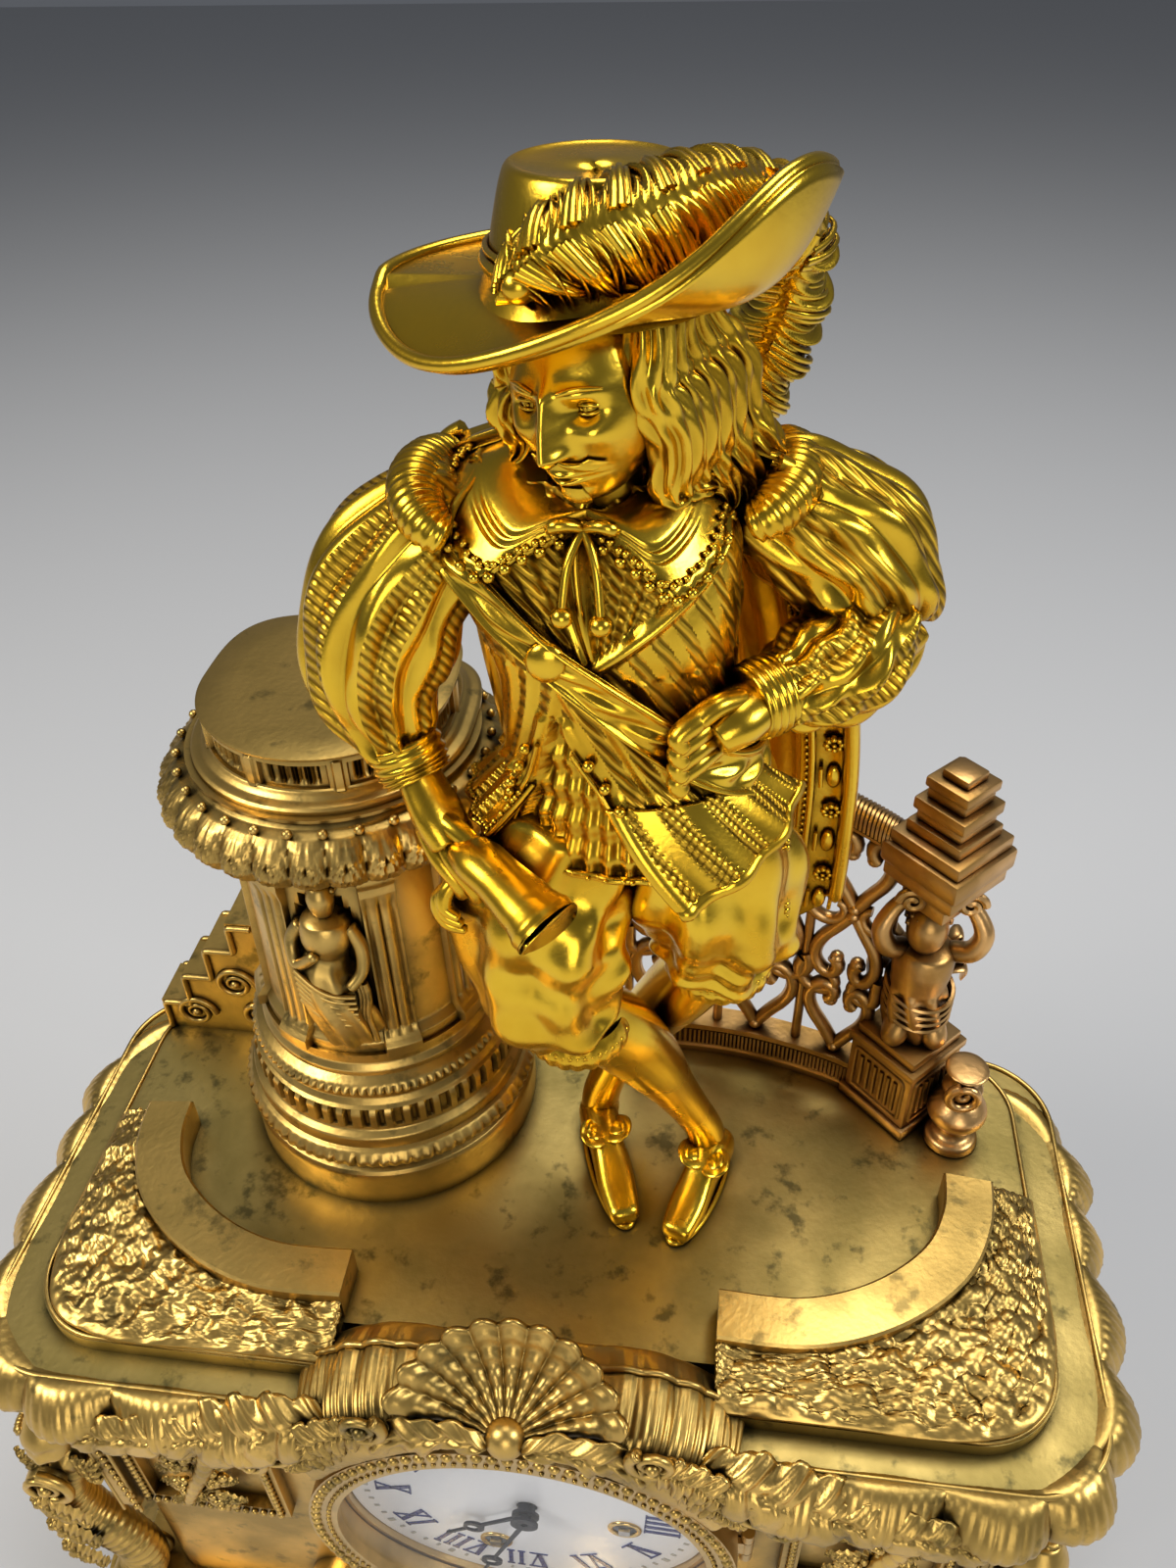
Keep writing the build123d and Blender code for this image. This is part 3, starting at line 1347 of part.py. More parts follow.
with BuildPart() as hammer:
    add(arbor(hammer_place, stout_arbor_radius))
    add(rod(*seat(*hammer_place), [(hammer_arm_back, back_plate_front - end_shake, through_radius)]))
    head_place = beyond(centre_place, hammer_head_reach, hammer_head_bearing)
    add(bar(hammer_place, head_place, hammer_arm_width, hammer_arm_back, hammer_arm_front))
    add(rod(*seat(*head_place), [(hammer_head_back, hammer_head_front, hammer_head_radius)]))
    tail_way = bearing_to(hammer_place, pin_place)
    tail_length = hypot(pin_place[0] - hammer_place[0], pin_place[1] - hammer_place[1]) - tail_gap
    tail_end = (hammer_place[0] + tail_length * cos(tail_way), hammer_place[1] + tail_length * sin(tail_way))
    add(bar(hammer_place, tail_end, tail_width, tail_back, tail_front))
hammer.part.label = "hammer"
export_step(hammer.part, "parts/hammer.step")

# Bell: a dish on a post behind the plates, open to the front
bell_radius = 30
bell_depth = 18
bell_wall = 1.6
bell_front = 8
bell_post_radius = 1.5
bell_shares = [(0, 1), (0.67, 0.95), (0.9, 0.78), (1, 0.45), (1, 0)]

with BuildPart() as bell:
    bell_outside = [(across * bell_radius, bell_front + deep * bell_depth) for across, deep in bell_shares]
    bell_inside = [(across * (bell_radius - bell_wall), bell_front + deep * (bell_depth - bell_wall))
                   for across, deep in bell_shares]
    with BuildSketch(Plane.XY.offset(dial_z)):
        with BuildLine():
            Polyline(*bell_outside, *reversed(bell_inside), close=True)
        make_face()
    revolve(axis=Axis((0, 0, dial_z), (0, 1, 0)))
    add(ring(bell_front + bell_depth - bell_wall, back_plate_back, bell_post_radius))
bell.part.label = "bell"
export_step(bell.part, "parts/bell.step")

# Plates: the front one carries the clicks and the minute wheel's stud, the back one the pendulum cock
minute_teeth = 36
minute_pinion_teeth = 10
cannon_teeth = 12
hour_teeth = 40
minute_module = 0.4
hour_module = 0.384
minute_bearing = 150
minute_place = beyond(centre_place, minute_module * (cannon_teeth + minute_teeth) / 2, minute_bearing)
stud_pin_radius = 0.6
stud_pin_front = -46.6
cock_half_width = 4
cock_thickness = 3
cock_back = -1
wheel_places = [intermediate_place, third_place, escape_place, second_place, pin_place, warning_place,
                fly_place]
winding_places = [going_place, strike_place]

with BuildPart() as front_plate:
    add(ring(front_plate_back, front_plate_front, plate_radius))
    with BuildSketch(facing(0, 0, front_plate_back)):
        with Locations(*[seat(*place) for place in wheel_places + [anchor_place, hammer_place]]):
            Circle(pivot_radius + running_clearance)
        with Locations(seat(*centre_place)):
            Circle(centre_arbor_radius + running_clearance)
        with Locations(*[seat(*place) for place in winding_places]):
            Circle(journal_radius + running_clearance)
    extrude(amount=front_plate_back - front_plate_front, mode=Mode.SUBTRACT)
    for place in winding_places:
        click_place = (place[0], place[1] + click_reach)
        add(rod(*seat(*click_place), [(front_plate_front, ratchet_front, click_radius)]))
    add(rod(*seat(*minute_place), [(front_plate_front, stud_pin_front, stud_pin_radius)]))
front_plate.part.label = "front_plate"
export_step(front_plate.part, "parts/front_plate.step")

with BuildPart() as back_plate:
    add(ring(back_plate_back, back_plate_front, plate_radius))
    with BuildSketch(facing(0, 0, back_plate_back)):
        with Locations(*[seat(*place) for place in wheel_places + [centre_place]]):
            Circle(pivot_radius + running_clearance)
        with Locations(seat(*anchor_place), seat(*hammer_place)):
            Circle(through_radius + running_clearance)
        with Locations(*[seat(*place) for place in winding_places]):
            Circle(winding_pivot_radius + running_clearance)
    extrude(amount=back_plate_back - back_plate_front, mode=Mode.SUBTRACT)
    cock_bottom = pivot_z + spring_half_height + lift_clearance
    add(box(pivot_x - cock_half_width, pivot_x + cock_half_width, back_plate_back, cock_back,
            cock_bottom, cock_bottom + cock_thickness))
back_plate.part.label = "back_plate"
export_step(back_plate.part, "parts/back_plate.step")

with BuildPart() as plate_pillars:
    for pillar in ((-pillar_reach, 0), (pillar_reach, 0), (0, -pillar_reach),
                   (-upper_pillar_u, upper_pillar_v), (upper_pillar_u, upper_pillar_v)):
        add(rod(*seat(*pillar), [(back_plate_front, front_plate_back, pillar_radius)]))
plate_pillars.part.label = "plate_pillars"
export_step(plate_pillars.part, "parts/plate_pillars.step")

# Motion work and hands: the minute wheel steps the hour hand down from the cannon pinion
cannon_inner = centre_arbor_radius + running_clearance
cannon_outer = 1.5
cannon_back = -42.3
minute_hand_back = -53.7
hour_hand_back = -51.8
hand_thickness = 0.6
minute_wheel_back = -42.8
minute_wheel_thickness = 1
hour_wheel_back = -45.2
hour_pipe_outer = 2.2
hand_hub_radius = 3.4
hand_half_width = 0.55
hand_tip_half_width = 0.25
minute_hand_length = 38
minute_eye_reach = 28
hour_hand_length = 27
hour_eye_reach = 17.5
hand_eye_radius = 2.7
hand_eye_hole_radius = 1.6
hand_eye_offset = 0.6
minute_turn = 228
hour_turn = 259


def moon_hand(length, eye_reach, turn, back, inner):
    """A hand with a pierced round eye near its point, turned clockwise from twelve on the dial."""
    lean = radians(turn - dial_turn)
    with BuildPart() as pointer:
        with BuildSketch(Plane(origin=(0, back, dial_z), x_dir=(sin(lean), 0, cos(lean)), z_dir=(0, -1, 0))):
            Circle(hand_hub_radius)
            with BuildLine():
                Polyline((0, -hand_half_width), (length, -hand_tip_half_width),
                         (length, hand_tip_half_width), (0, hand_half_width), close=True)
            make_face()
            with Locations((eye_reach, 0)):
                Circle(hand_eye_radius)
            with Locations((eye_reach + hand_eye_offset, 0)):
                Circle(hand_eye_hole_radius, mode=Mode.SUBTRACT)
            Circle(inner, mode=Mode.SUBTRACT)
        extrude(amount=hand_thickness)
    return pointer.part


with BuildPart() as minute_hand:
    add(moon_hand(minute_hand_length, minute_eye_reach, minute_turn, minute_hand_back, cannon_inner))
    add(ring(cannon_back, minute_hand_back - hand_thickness, cannon_outer))
    add(pinion(centre_place, cannon_teeth, minute_module, minute_place, minute_wheel_back,
               minute_wheel_thickness))
    add(ring(front_plate_front, minute_hand_back - hand_thickness, cannon_inner), mode=Mode.SUBTRACT)
minute_hand.part.label = "minute_hand"
export_step(minute_hand.part, "parts/minute_hand.step")

with BuildPart() as minute_wheel:
    add(wheel(minute_place, minute_teeth, minute_module, centre_place, minute_wheel_back,
              minute_wheel_thickness))
    add(gear(minute_place, minute_pinion_teeth, hour_module,
             bearing_to(minute_place, centre_place) + pi / minute_pinion_teeth,
             minute_wheel_back - minute_wheel_thickness, hour_wheel_back - wheel_thickness - end_shake))
    add(rod(*seat(*minute_place), [(minute_wheel_back, stud_pin_front, stud_pin_radius + running_clearance)]),
        mode=Mode.SUBTRACT)
minute_wheel.part.label = "minute_wheel"
export_step(minute_wheel.part, "parts/minute_wheel.step")

with BuildPart() as hour_hand:
    hour_bore = cannon_outer + running_clearance
    add(moon_hand(hour_hand_length, hour_eye_reach, hour_turn, hour_hand_back, hour_bore))
    add(ring(hour_wheel_back, hour_hand_back, hour_pipe_outer))
    add(wheel(centre_place, hour_teeth, hour_module, minute_place, hour_wheel_back))
    add(ring(hour_wheel_back, hour_hand_back, hour_bore), mode=Mode.SUBTRACT)
hour_hand.part.label = "hour_hand"
export_step(hour_hand.part, "parts/hour_hand.step")

# Dial: an enamelled disc on three feet, with holes for the hands and the two winding squares
dial_front = -50
dial_thickness = 1.2
dial_hole_radius = 2.6
winding_hole_radius = 3.2
dial_foot_radius = 1.2
dial_foot_reach = 33
dial_foot_bearings = (60, 180, 300)

with BuildPart() as dial:
    add(ring(dial_front + dial_thickness, dial_front, dial_radius))
    with BuildSketch(facing(0, 0, dial_front + dial_thickness)):
        with Locations(seat(*centre_place)):
            Circle(dial_hole_radius)
        with Locations(*[seat(*place) for place in winding_places]):
            Circle(winding_hole_radius)
    extrude(amount=dial_thickness, mode=Mode.SUBTRACT)
    for bearing in dial_foot_bearings:
        foot_place = beyond(centre_place, dial_foot_reach, bearing)
        add(rod(*seat(*foot_place), [(front_plate_front, dial_front + dial_thickness, dial_foot_radius)]))
dial.part.label = "dial"
export_step(dial.part, "parts/dial.step")

# Bezel: a hinged ring with a flat glass, on a seat in the case's front opening
seat_flange_radius = 51
seat_flange_front = -51.5
seat_inner = dial_radius + lift_clearance
seat_spigot_radius = front_opening_radius - fit_clearance
seat_step_inner = 37.5
seat_step_thickness = 1
bezel_radius = 51.5
bezel_back = seat_flange_front - lift_clearance
bezel_step = -57.5
bezel_front = -60
sight_radius = 44.5
glass_radius = 46.6
glass_thickness = 1.2
hinge_x = 53.6
hinge_root = 50
hinge_half_height = 7
hinge_leaf_half_height = 3
knuckle_radius = 1.6
hinge_pin_radius = 0.8
web_thickness = 1.4
web_root = 0.6


def fixed_leaf(x, y, root_x, wall_y, leaf_y):
    """The two fixed knuckles of a hinge, with their lugs and the pin through them."""
    with BuildPart() as leaf:
        for side in (-1, 1):
            inner_z = dial_z + side * (hinge_leaf_half_height + lift_clearance)
            outer_z = dial_z + side * hinge_half_height
            add(upright(x, y, min(inner_z, outer_z), max(inner_z, outer_z), knuckle_radius))
            add(box(min(x, root_x), max(x, root_x), min(wall_y, leaf_y), max(wall_y, leaf_y),
                    min(inner_z, outer_z), max(inner_z, outer_z)))
        add(upright(x, y, dial_z - hinge_half_height, dial_z + hinge_half_height, hinge_pin_radius))
    return leaf.part


with BuildPart() as bezel_seat:
    add(ring(-case_half_depth, seat_flange_front, seat_flange_radius, seat_inner))
    add(ring(front_plate_front, -case_half_depth, seat_spigot_radius, seat_inner))
    add(ring(front_plate_front, front_plate_front - seat_step_thickness, seat_spigot_radius, seat_step_inner))
    add(fixed_leaf(hinge_x, bezel_back, hinge_root, -case_half_depth, seat_flange_front))
bezel_seat.part.label = "bezel_seat"
export_step(bezel_seat.part, "parts/bezel_seat.step")

with BuildPart() as bezel:
    add(ring(bezel_step, bezel_front, bezel_radius, sight_radius))
    add(ring(bezel_back, bezel_step, bezel_radius, glass_radius))
    add(box(bezel_radius - web_root, hinge_x, bezel_back - web_thickness, bezel_back,
            dial_z - hinge_leaf_half_height, dial_z + hinge_leaf_half_height))
    add(upright(hinge_x, bezel_back, dial_z - hinge_leaf_half_height, dial_z + hinge_leaf_half_height,
                knuckle_radius))
    add(upright(hinge_x, bezel_back, dial_z - hinge_half_height, dial_z + hinge_half_height,
                hinge_pin_radius + running_clearance), mode=Mode.SUBTRACT)
bezel.part.label = "bezel"
export_step(bezel.part, "parts/bezel.step")

with BuildPart() as bezel_glass:
    add(ring(bezel_step + glass_thickness, bezel_step, glass_radius))
bezel_glass.part.label = "bezel_glass"
export_step(bezel_glass.part, "parts/bezel_glass.step")

# Back: a ring in the rear opening, two straps that draw it to the front, and a hinged door
rear_flange_radius = 44
rear_flange_back = 51.5
rear_ring_inner = 37.5
rear_hinge_x = -46
rear_hinge_root = -43
door_radius = 43.5
door_front = rear_flange_back + lift_clearance
door_thickness = 1.5
door_dome_radius = 30
door_dome_back = 56
door_knob_radius = 2.5
door_knob_x = 36
door_knob_back = 60
strap_inner = 40.2
strap_outer = 41.7
strap_half_width = 4
strap_bearings = (30, 205)

with BuildPart() as rear_ring:
    add(ring(case_half_depth, case_half_depth - case_wall, rear_opening_radius - fit_clearance, rear_ring_inner))
    add(ring(rear_flange_back, case_half_depth, rear_flange_radius, rear_ring_inner))
    add(fixed_leaf(rear_hinge_x, door_front, rear_hinge_root, case_half_depth, rear_flange_back))
rear_ring.part.label = "rear_ring"
export_step(rear_ring.part, "parts/rear_ring.step")

with BuildPart() as rear_door:
    add(ring(door_front + door_thickness, door_front, door_radius))
    add(ring(door_dome_back, door_front + door_thickness, door_dome_radius))
    add(rod(door_knob_x, dial_z, [(door_knob_back, door_front + door_thickness, door_knob_radius)]))
    add(box(rear_hinge_x, rear_hinge_root, door_front, door_front + door_thickness,
            dial_z - hinge_leaf_half_height, dial_z + hinge_leaf_half_height))
    add(upright(rear_hinge_x, door_front, dial_z - hinge_leaf_half_height, dial_z + hinge_leaf_half_height,
                knuckle_radius))
    add(upright(rear_hinge_x, door_front, dial_z - hinge_half_height, dial_z + hinge_half_height,
                hinge_pin_radius + running_clearance), mode=Mode.SUBTRACT)
rear_door.part.label = "rear_door"
export_step(rear_door.part, "parts/rear_door.step")

with BuildPart() as movement_straps:
    for bearing in strap_bearings:
        run = Vector(cos(radians(bearing)), 0, sin(radians(bearing)))
        with BuildSketch(Plane(origin=(0, case_half_depth - case_wall, dial_z), x_dir=run, z_dir=(0, -1, 0))):
            with Locations(((strap_inner + strap_outer) / 2, 0)):
                Rectangle(strap_outer - strap_inner, 2 * strap_half_width)
        extrude(amount=case_half_depth - case_wall - front_plate_front)
movement_straps.part.label = "movement_straps"
export_step(movement_straps.part, "parts/movement_straps.step")
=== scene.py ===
import bpy
import bmesh
import random
from math import atan2, cos, exp, hypot, pi, radians, sin, sqrt
from mathutils import Matrix, Vector, noise


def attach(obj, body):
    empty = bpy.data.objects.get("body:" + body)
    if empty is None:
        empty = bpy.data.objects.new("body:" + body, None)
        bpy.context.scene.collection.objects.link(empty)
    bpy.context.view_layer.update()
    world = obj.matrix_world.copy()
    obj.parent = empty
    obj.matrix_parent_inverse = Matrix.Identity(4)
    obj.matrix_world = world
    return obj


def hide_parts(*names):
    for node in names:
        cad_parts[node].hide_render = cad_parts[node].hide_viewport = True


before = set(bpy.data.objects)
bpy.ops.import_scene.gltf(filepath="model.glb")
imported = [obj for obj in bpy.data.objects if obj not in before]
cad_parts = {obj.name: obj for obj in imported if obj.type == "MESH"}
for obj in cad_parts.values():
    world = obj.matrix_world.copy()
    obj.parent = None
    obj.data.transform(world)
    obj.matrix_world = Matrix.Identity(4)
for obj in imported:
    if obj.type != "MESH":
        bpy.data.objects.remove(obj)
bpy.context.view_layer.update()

# The camera stands a little to the right of the clock and looks down on it, close, with a
# wide view, as a hand-held camera over a table does.
camera_data = bpy.data.cameras.new("camera")
camera_data.lens = 27.98
camera_data.sensor_width = 36
camera_data.sensor_fit = "AUTO"
camera_data.clip_start = 0.01
camera_data.clip_end = 20
camera = bpy.data.objects.new("camera", camera_data)
bpy.context.scene.collection.objects.link(camera)
bpy.context.scene.camera = camera
yaw, pitch, roll = radians(-8.109), radians(38.684), radians(-1.494)
ahead = Vector((sin(yaw) * cos(pitch), cos(yaw) * cos(pitch), -sin(pitch)))
level = Vector((cos(yaw), -sin(yaw), 0))
above = level.cross(ahead)
right_axis = cos(roll) * level + sin(roll) * above
up_axis = cos(roll) * above - sin(roll) * level
camera.matrix_world = Matrix.Translation((0.03671, -0.16876, 0.44302)) @ Matrix((right_axis, up_axis,
    -ahead)).transposed().to_4x4()

# The floor is a plain pale sheet in a soft pale room, with four soft boxes round the clock, so that
# the gilding has bright and dark parts to reflect.


def material(name):
    """A new material, with its nodes, its links and its main shader."""
    made = bpy.data.materials.new(name)
    made.use_nodes = True
    nodes = made.node_tree.nodes
    return made, nodes, made.node_tree.links, nodes["Principled BSDF"]


def settle(node, **values):
    """Sets a node's inputs by name, where an underscore stands for a space."""
    for name, value in values.items():
        node.inputs[name.replace("_", " ")].default_value = value
    return node


floor_bm = bmesh.new()
bmesh.ops.create_grid(floor_bm, x_segments=1, y_segments=1, size=4)
floor_mesh = bpy.data.meshes.new("floor")
floor_bm.to_mesh(floor_mesh)
floor_bm.free()
floor = bpy.data.objects.new("floor", floor_mesh)
bpy.context.scene.collection.objects.link(floor)
floor_paint, _, _, floor_shader = material("pale_floor")
settle(floor_shader, Base_Color=(0.62, 0.62, 0.62, 1), Roughness=0.9)
floor_mesh.materials.append(floor_paint)

world = bpy.data.worlds.new("room")
bpy.context.scene.world = world
world.use_nodes = True
settle(world.node_tree.nodes["Background"], Color=(0.75, 0.8, 0.9, 1), Strength=0.13)
bpy.context.scene.view_settings.view_transform = "Standard"
for name, place, target, size, power, colour in (("window_left", (-0.9, -0.5, 1.1), (0, 0, 0.25), 0.5, 11,
        (1, 0.97, 0.92)), ("window_right", (1.0, -0.2, 0.9), (0, 0, 0.25), 0.35, 6.5, (0.95, 0.97, 1)),
        ("ceiling", (0.1, 0.4, 1.5), (0, 0, 0.2), 0.7, 9, (1, 1, 1)), ("front_fill", (0.2, -1.3, 0.5), (0, 0, 0.2),
        0.6, 3.5, (1, 0.96, 0.9))):
    lamp_data = bpy.data.lights.new(name, "AREA")
    lamp_data.size, lamp_data.energy, lamp_data.color = size, power, colour
    lamp = bpy.data.objects.new(name, lamp_data)
    bpy.context.scene.collection.objects.link(lamp)
    lamp.location = place
    lamp.rotation_euler = (Vector(target) - Vector(place)).to_track_quat("-Z", "Y").to_euler()

# The gilding: spelter castings, fire gilt. The figure is burnished and bright; the base is
# matt, and both take an olive brown in their hollows, part patina and part painted shade, least on edges.


def pattern(nodes, links, kind, **values):
    """A texture in the object's own coordinates."""
    made = settle(nodes.new("ShaderNodeTex" + kind), **values)
    links.new(nodes.new("ShaderNodeTexCoord").outputs["Object"], made.inputs["Vector"])
    return made


def ramp(nodes, links, source, low, first, high, last):
    """Colours a source: one colour up to a low value of it, another from a high value on."""
    made = nodes.new("ShaderNodeValToRGB")
    for stop, place, colour in zip(made.color_ramp.elements, (low, high), (first, last)):
        stop.position, stop.color = place, (*colour, 1)
    links.new(source, made.inputs["Fac"])
    return made.outputs["Color"]


def laid_over(nodes, links, share, under, over):
    """One colour laid over another, by a share."""
    made = nodes.new("ShaderNodeMix")
    made.data_type = "RGBA"
    links.new(share, made.inputs["Factor"])
    links.new(under, made.inputs["A"])
    made.inputs["B"].default_value = (*over, 1)
    return made.outputs["Result"]


def drift_to(nodes, links, source, target, **ends):
    """Feeds a source to an input, mapped from one range to another."""
    made = settle(nodes.new("ShaderNodeMapRange"), **ends)
    links.new(source, made.inputs["Value"])
    links.new(made.outputs["Result"], target)


def grain_to(nodes, links, source, shader, strength, height):
    """Gives a shader a fine relief."""
    made = settle(nodes.new("ShaderNodeBump"), Strength=strength, Distance=height)
    links.new(source, made.inputs["Height"])
    links.new(made.outputs["Normal"], shader.inputs["Normal"])


def gilding(name, bright, dull, patina_and_shade, rough, grain, grain_height, cavity, hatch=0, spots=0):
    """Gilt metal: two tones in soft clouds, patina and painted shade in the hollows, a fine grain, and hatching or
    stains.
    """
    metal, nodes, links, shader = material(name)
    settle(shader, Metallic=1)
    cloud = pattern(nodes, links, "Noise", Scale=45, Detail=6).outputs["Fac"]
    # Painted shade and patina: an ambient-occlusion mask darkens the colour towards an olive brown in the hollows.
    occlusion_shade = settle(nodes.new("ShaderNodeAmbientOcclusion"), Distance=0.004)
    occlusion_shade.samples = 4
    tone = laid_over(nodes, links, ramp(nodes, links, occlusion_shade.outputs["AO"], cavity[0], (1, 1, 1), cavity[1],
        (0, 0, 0)), ramp(nodes, links, cloud, 0.38, dull, 0.6, bright), patina_and_shade)
    relief = pattern(nodes, links, "Noise", Scale=grain, Detail=4).outputs["Fac"]
    if spots:
        stain = pattern(nodes, links, "Noise", Scale=120, Detail=5, Roughness=0.62).outputs["Fac"]
        tone = laid_over(nodes, links, ramp(nodes, links, stain, 0.57, (0, 0, 0), 0.68, (spots,) * 3), tone,
            (0.085, 0.075, 0.03))
    if hatch:
        lines = pattern(nodes, links, "Wave", Scale=hatch, Distortion=1.2, Detail=1)
        lines.bands_direction = "DIAGONAL"
        relief = lines.outputs["Fac"]
        # The hatch grooves take the hollows' colour: part patina, part painted shade in the grooves.
        tone = laid_over(nodes, links, ramp(nodes, links, relief, 0.1, (0.75,) * 3, 0.5, (0, 0, 0)), tone, patina_and_shade)
    links.new(tone, shader.inputs["Base Color"])
    drift_to(nodes, links, cloud, shader.inputs["Roughness"], From_Min=0.3, From_Max=0.7, To_Min=rough + 0.12,
        To_Max=rough)
    grain_to(nodes, links, relief, shader, 0.6, grain_height)
    return metal


burnished = gilding("burnished_gilding", (1.0, 0.64, 0.05), (0.86, 0.5, 0.03), (0.12, 0.05, 0.003), 0.19, 900,
    0.00006, (0.35, 0.85))
matt_gold = gilding("matt_gilding", (0.85, 0.55, 0.15), (0.5, 0.33, 0.09), (0.065, 0.042, 0.012), 0.31, 700, 0.0001,
    (0.42, 0.9), spots=0.6)
floor_gold = gilding("terrace_gilding", (0.56, 0.41, 0.13), (0.36, 0.27, 0.08), (0.06, 0.045, 0.015), 0.36, 600,
    0.0001, (0.45, 0.9), spots=0.75)
copper_gold = gilding("copper_gilding", (0.88, 0.52, 0.2), (0.5, 0.28, 0.08), (0.07, 0.035, 0.015), 0.3, 800, 0.0001,
    (0.45, 0.92))
chased = gilding("chased_gilding", (0.95, 0.6, 0.05), (0.74, 0.42, 0.03), (0.1, 0.045, 0.003), 0.3, 2600, 0.0004,
    (0.4, 0.9), hatch=240)

# The figure's head: a casting of its own, set into the collar. A calm, plain face on the usual
# proportions, modelled as one skin, with the lids, lips, moustache and beard laid on it.
HEAD = 0.03
TERRACE = 0.17


def stance(right, away, up):
    """A place on the figure from shares of his head's height, as the castings are laid out."""
    return Vector((0.02 + right * HEAD, 0.005 + away * HEAD, TERRACE + up * HEAD))


def between(rows, share):
    """The smooth value at a share of the way through a table of rows."""
    last = len(rows) - 1
    spot = min(max(share, 0) * last, last - 1e-6)
    start = int(spot)
    part = spot - start
    before, here = rows[max(start - 1, 0)], rows[start]
    there, after = rows[start + 1], rows[min(start + 2, last)]
    return [b + 0.5 * part * (c - a + part * (2 * a - 5 * b + 4 * c - d + part * (3 * (b - c) + d - a))) for a, b, c,
        d in zip(before, here, there, after)]


def form(bm, shape, across, along, wrap=True, paint=None):
    """Lays a grid over a shape, given by two shares from 0 to 1; a paint picks each face's metal."""
    made = bmesh.ops.create_grid(bm, x_segments=across, y_segments=along, size=0.5)["verts"]
    if paint:
        for face in {face for vertex in made for face in vertex.link_faces}:
            middle = face.calc_center_median()
            face.material_index = paint(middle.x + 0.5, middle.y + 0.5)
    for vertex in made:
        vertex.co = shape(vertex.co.x + 0.5, vertex.co.y + 0.5)
    if wrap:
        bmesh.ops.remove_doubles(bm, verts=made, dist=1e-6)


def wires(bm, lines, sides=2, steps=3):
    """Round wires through lines of (place, radius)."""
    curve = bpy.data.curves.new("wire", "CURVE")
    curve.dimensions = "3D"
    curve.bevel_depth = 1
    curve.bevel_resolution = sides
    curve.resolution_u = steps
    curve.use_fill_caps = True
    for line in lines:
        spline = curve.splines.new("NURBS")
        spline.points.add(len(line) - 1)
        for point, (place, radius) in zip(spline.points, line):
            point.co = (*place, 1)
            point.radius = radius
        spline.order_u = 3
        spline.use_endpoint_u = True
    holder = bpy.data.objects.new("wire", curve)
    mesh = bpy.data.meshes.new_from_object(holder)
    bm.from_mesh(mesh)
    bpy.data.objects.remove(holder)
    bpy.data.curves.remove(curve)
    bpy.data.meshes.remove(mesh)


def beads(bm, places, radius, detail=2):
    """Small round beads at a list of places."""
    for place in places:
        bmesh.ops.create_icosphere(bm, subdivisions=detail, radius=radius, matrix=Matrix.Translation(place))


def cast(name, bm, metal, replaced=(), body="clock_case", crease=0, wall=0, offset=-1):
    """Turns a finished form into a piece of the clock; a wall gives a thin skin its thickness."""
    bmesh.ops.recalc_face_normals(bm, faces=bm.faces)
    for face in bm.faces:
        face.smooth = True
    mesh = bpy.data.meshes.new(name)
    bm.to_mesh(mesh)
    bm.free()
    mesh.materials.append(metal)
    if crease:
        mesh.set_sharp_from_angle(angle=radians(crease))
    piece = bpy.data.objects.new(name, mesh)
    bpy.context.scene.collection.objects.link(piece)
    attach(piece, body)
    if replaced:
        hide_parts(*replaced)
    if wall:
        thickness = piece.modifiers.new("wall", "SOLIDIFY")
        thickness.thickness, thickness.offset = wall, offset
    return piece


def bump(distance, width):
    """A smooth round rise: one at its middle and nothing well outside its width."""
    return exp(-(distance / width) ** 2)


# The face's own plan, in shares of the head's height: x across, z up from the middle of the skull.
face_turn = Matrix.Rotation(radians(-20), 3, "Z") @ Matrix.Rotation(radians(3), 3, "X") @ Matrix.Rotation(radians(-5),
    3, "Y")
face_middle, face_size = (-0.18, -0.08, 6.93), 1.13
skull_width, skull_depth, skull_height = 0.335, 0.4, 0.47


def on_head(x, y, z):
    """A place in the head's own plan, turned and set on the shoulders."""
    turned = face_size * (face_turn @ Vector((x, y, z)))
    return stance(face_middle[0] + turned.x, face_middle[1] + turned.y, face_middle[2] + turned.z)


def face_depth(x, z):
    """How far the face's features stand out from the plain oval."""
    off = abs(x)
    down = max(0, min(1, (0.13 - z) / 0.25))
    under = 1 if z > -0.125 else bump(z + 0.125, 0.022)
    over = 1 if z < 0.1 else bump(z - 0.1, 0.07)
    rise = (0.05 + 0.085 * down ** 1.3) * bump(x, 0.034 + 0.018 * down) * under * over
    rise += 0.03 * bump(off - 0.048, 0.02) * bump(z + 0.118, 0.024)
    rise -= 0.062 * bump(off - 0.13, 0.07) * bump(z - 0.04, 0.042)
    rise += 0.028 * bump(off - 0.12, 0.09) * bump(z - 0.125, 0.03)
    rise += 0.03 * bump(off - 0.19, 0.07) * bump(z + 0.06, 0.06) - 0.014 * bump(off - 0.17, 0.05) * bump(z + 0.22,
        0.06)
    rise += 0.028 * bump(x, 0.1) * bump(z + 0.25, 0.07)
    rise += 0.02 * bump(x, 0.075) * bump(z + 0.236, 0.014) - 0.024 * bump(x, 0.09) * bump(z + 0.256, 0.008)
    rise += 0.026 * bump(x, 0.06) * bump(z + 0.278, 0.017) - 0.014 * bump(x, 0.08) * bump(z + 0.32, 0.018)
    rise += 0.05 * bump(x, 0.09) * bump(z + 0.385, 0.055)
    return rise


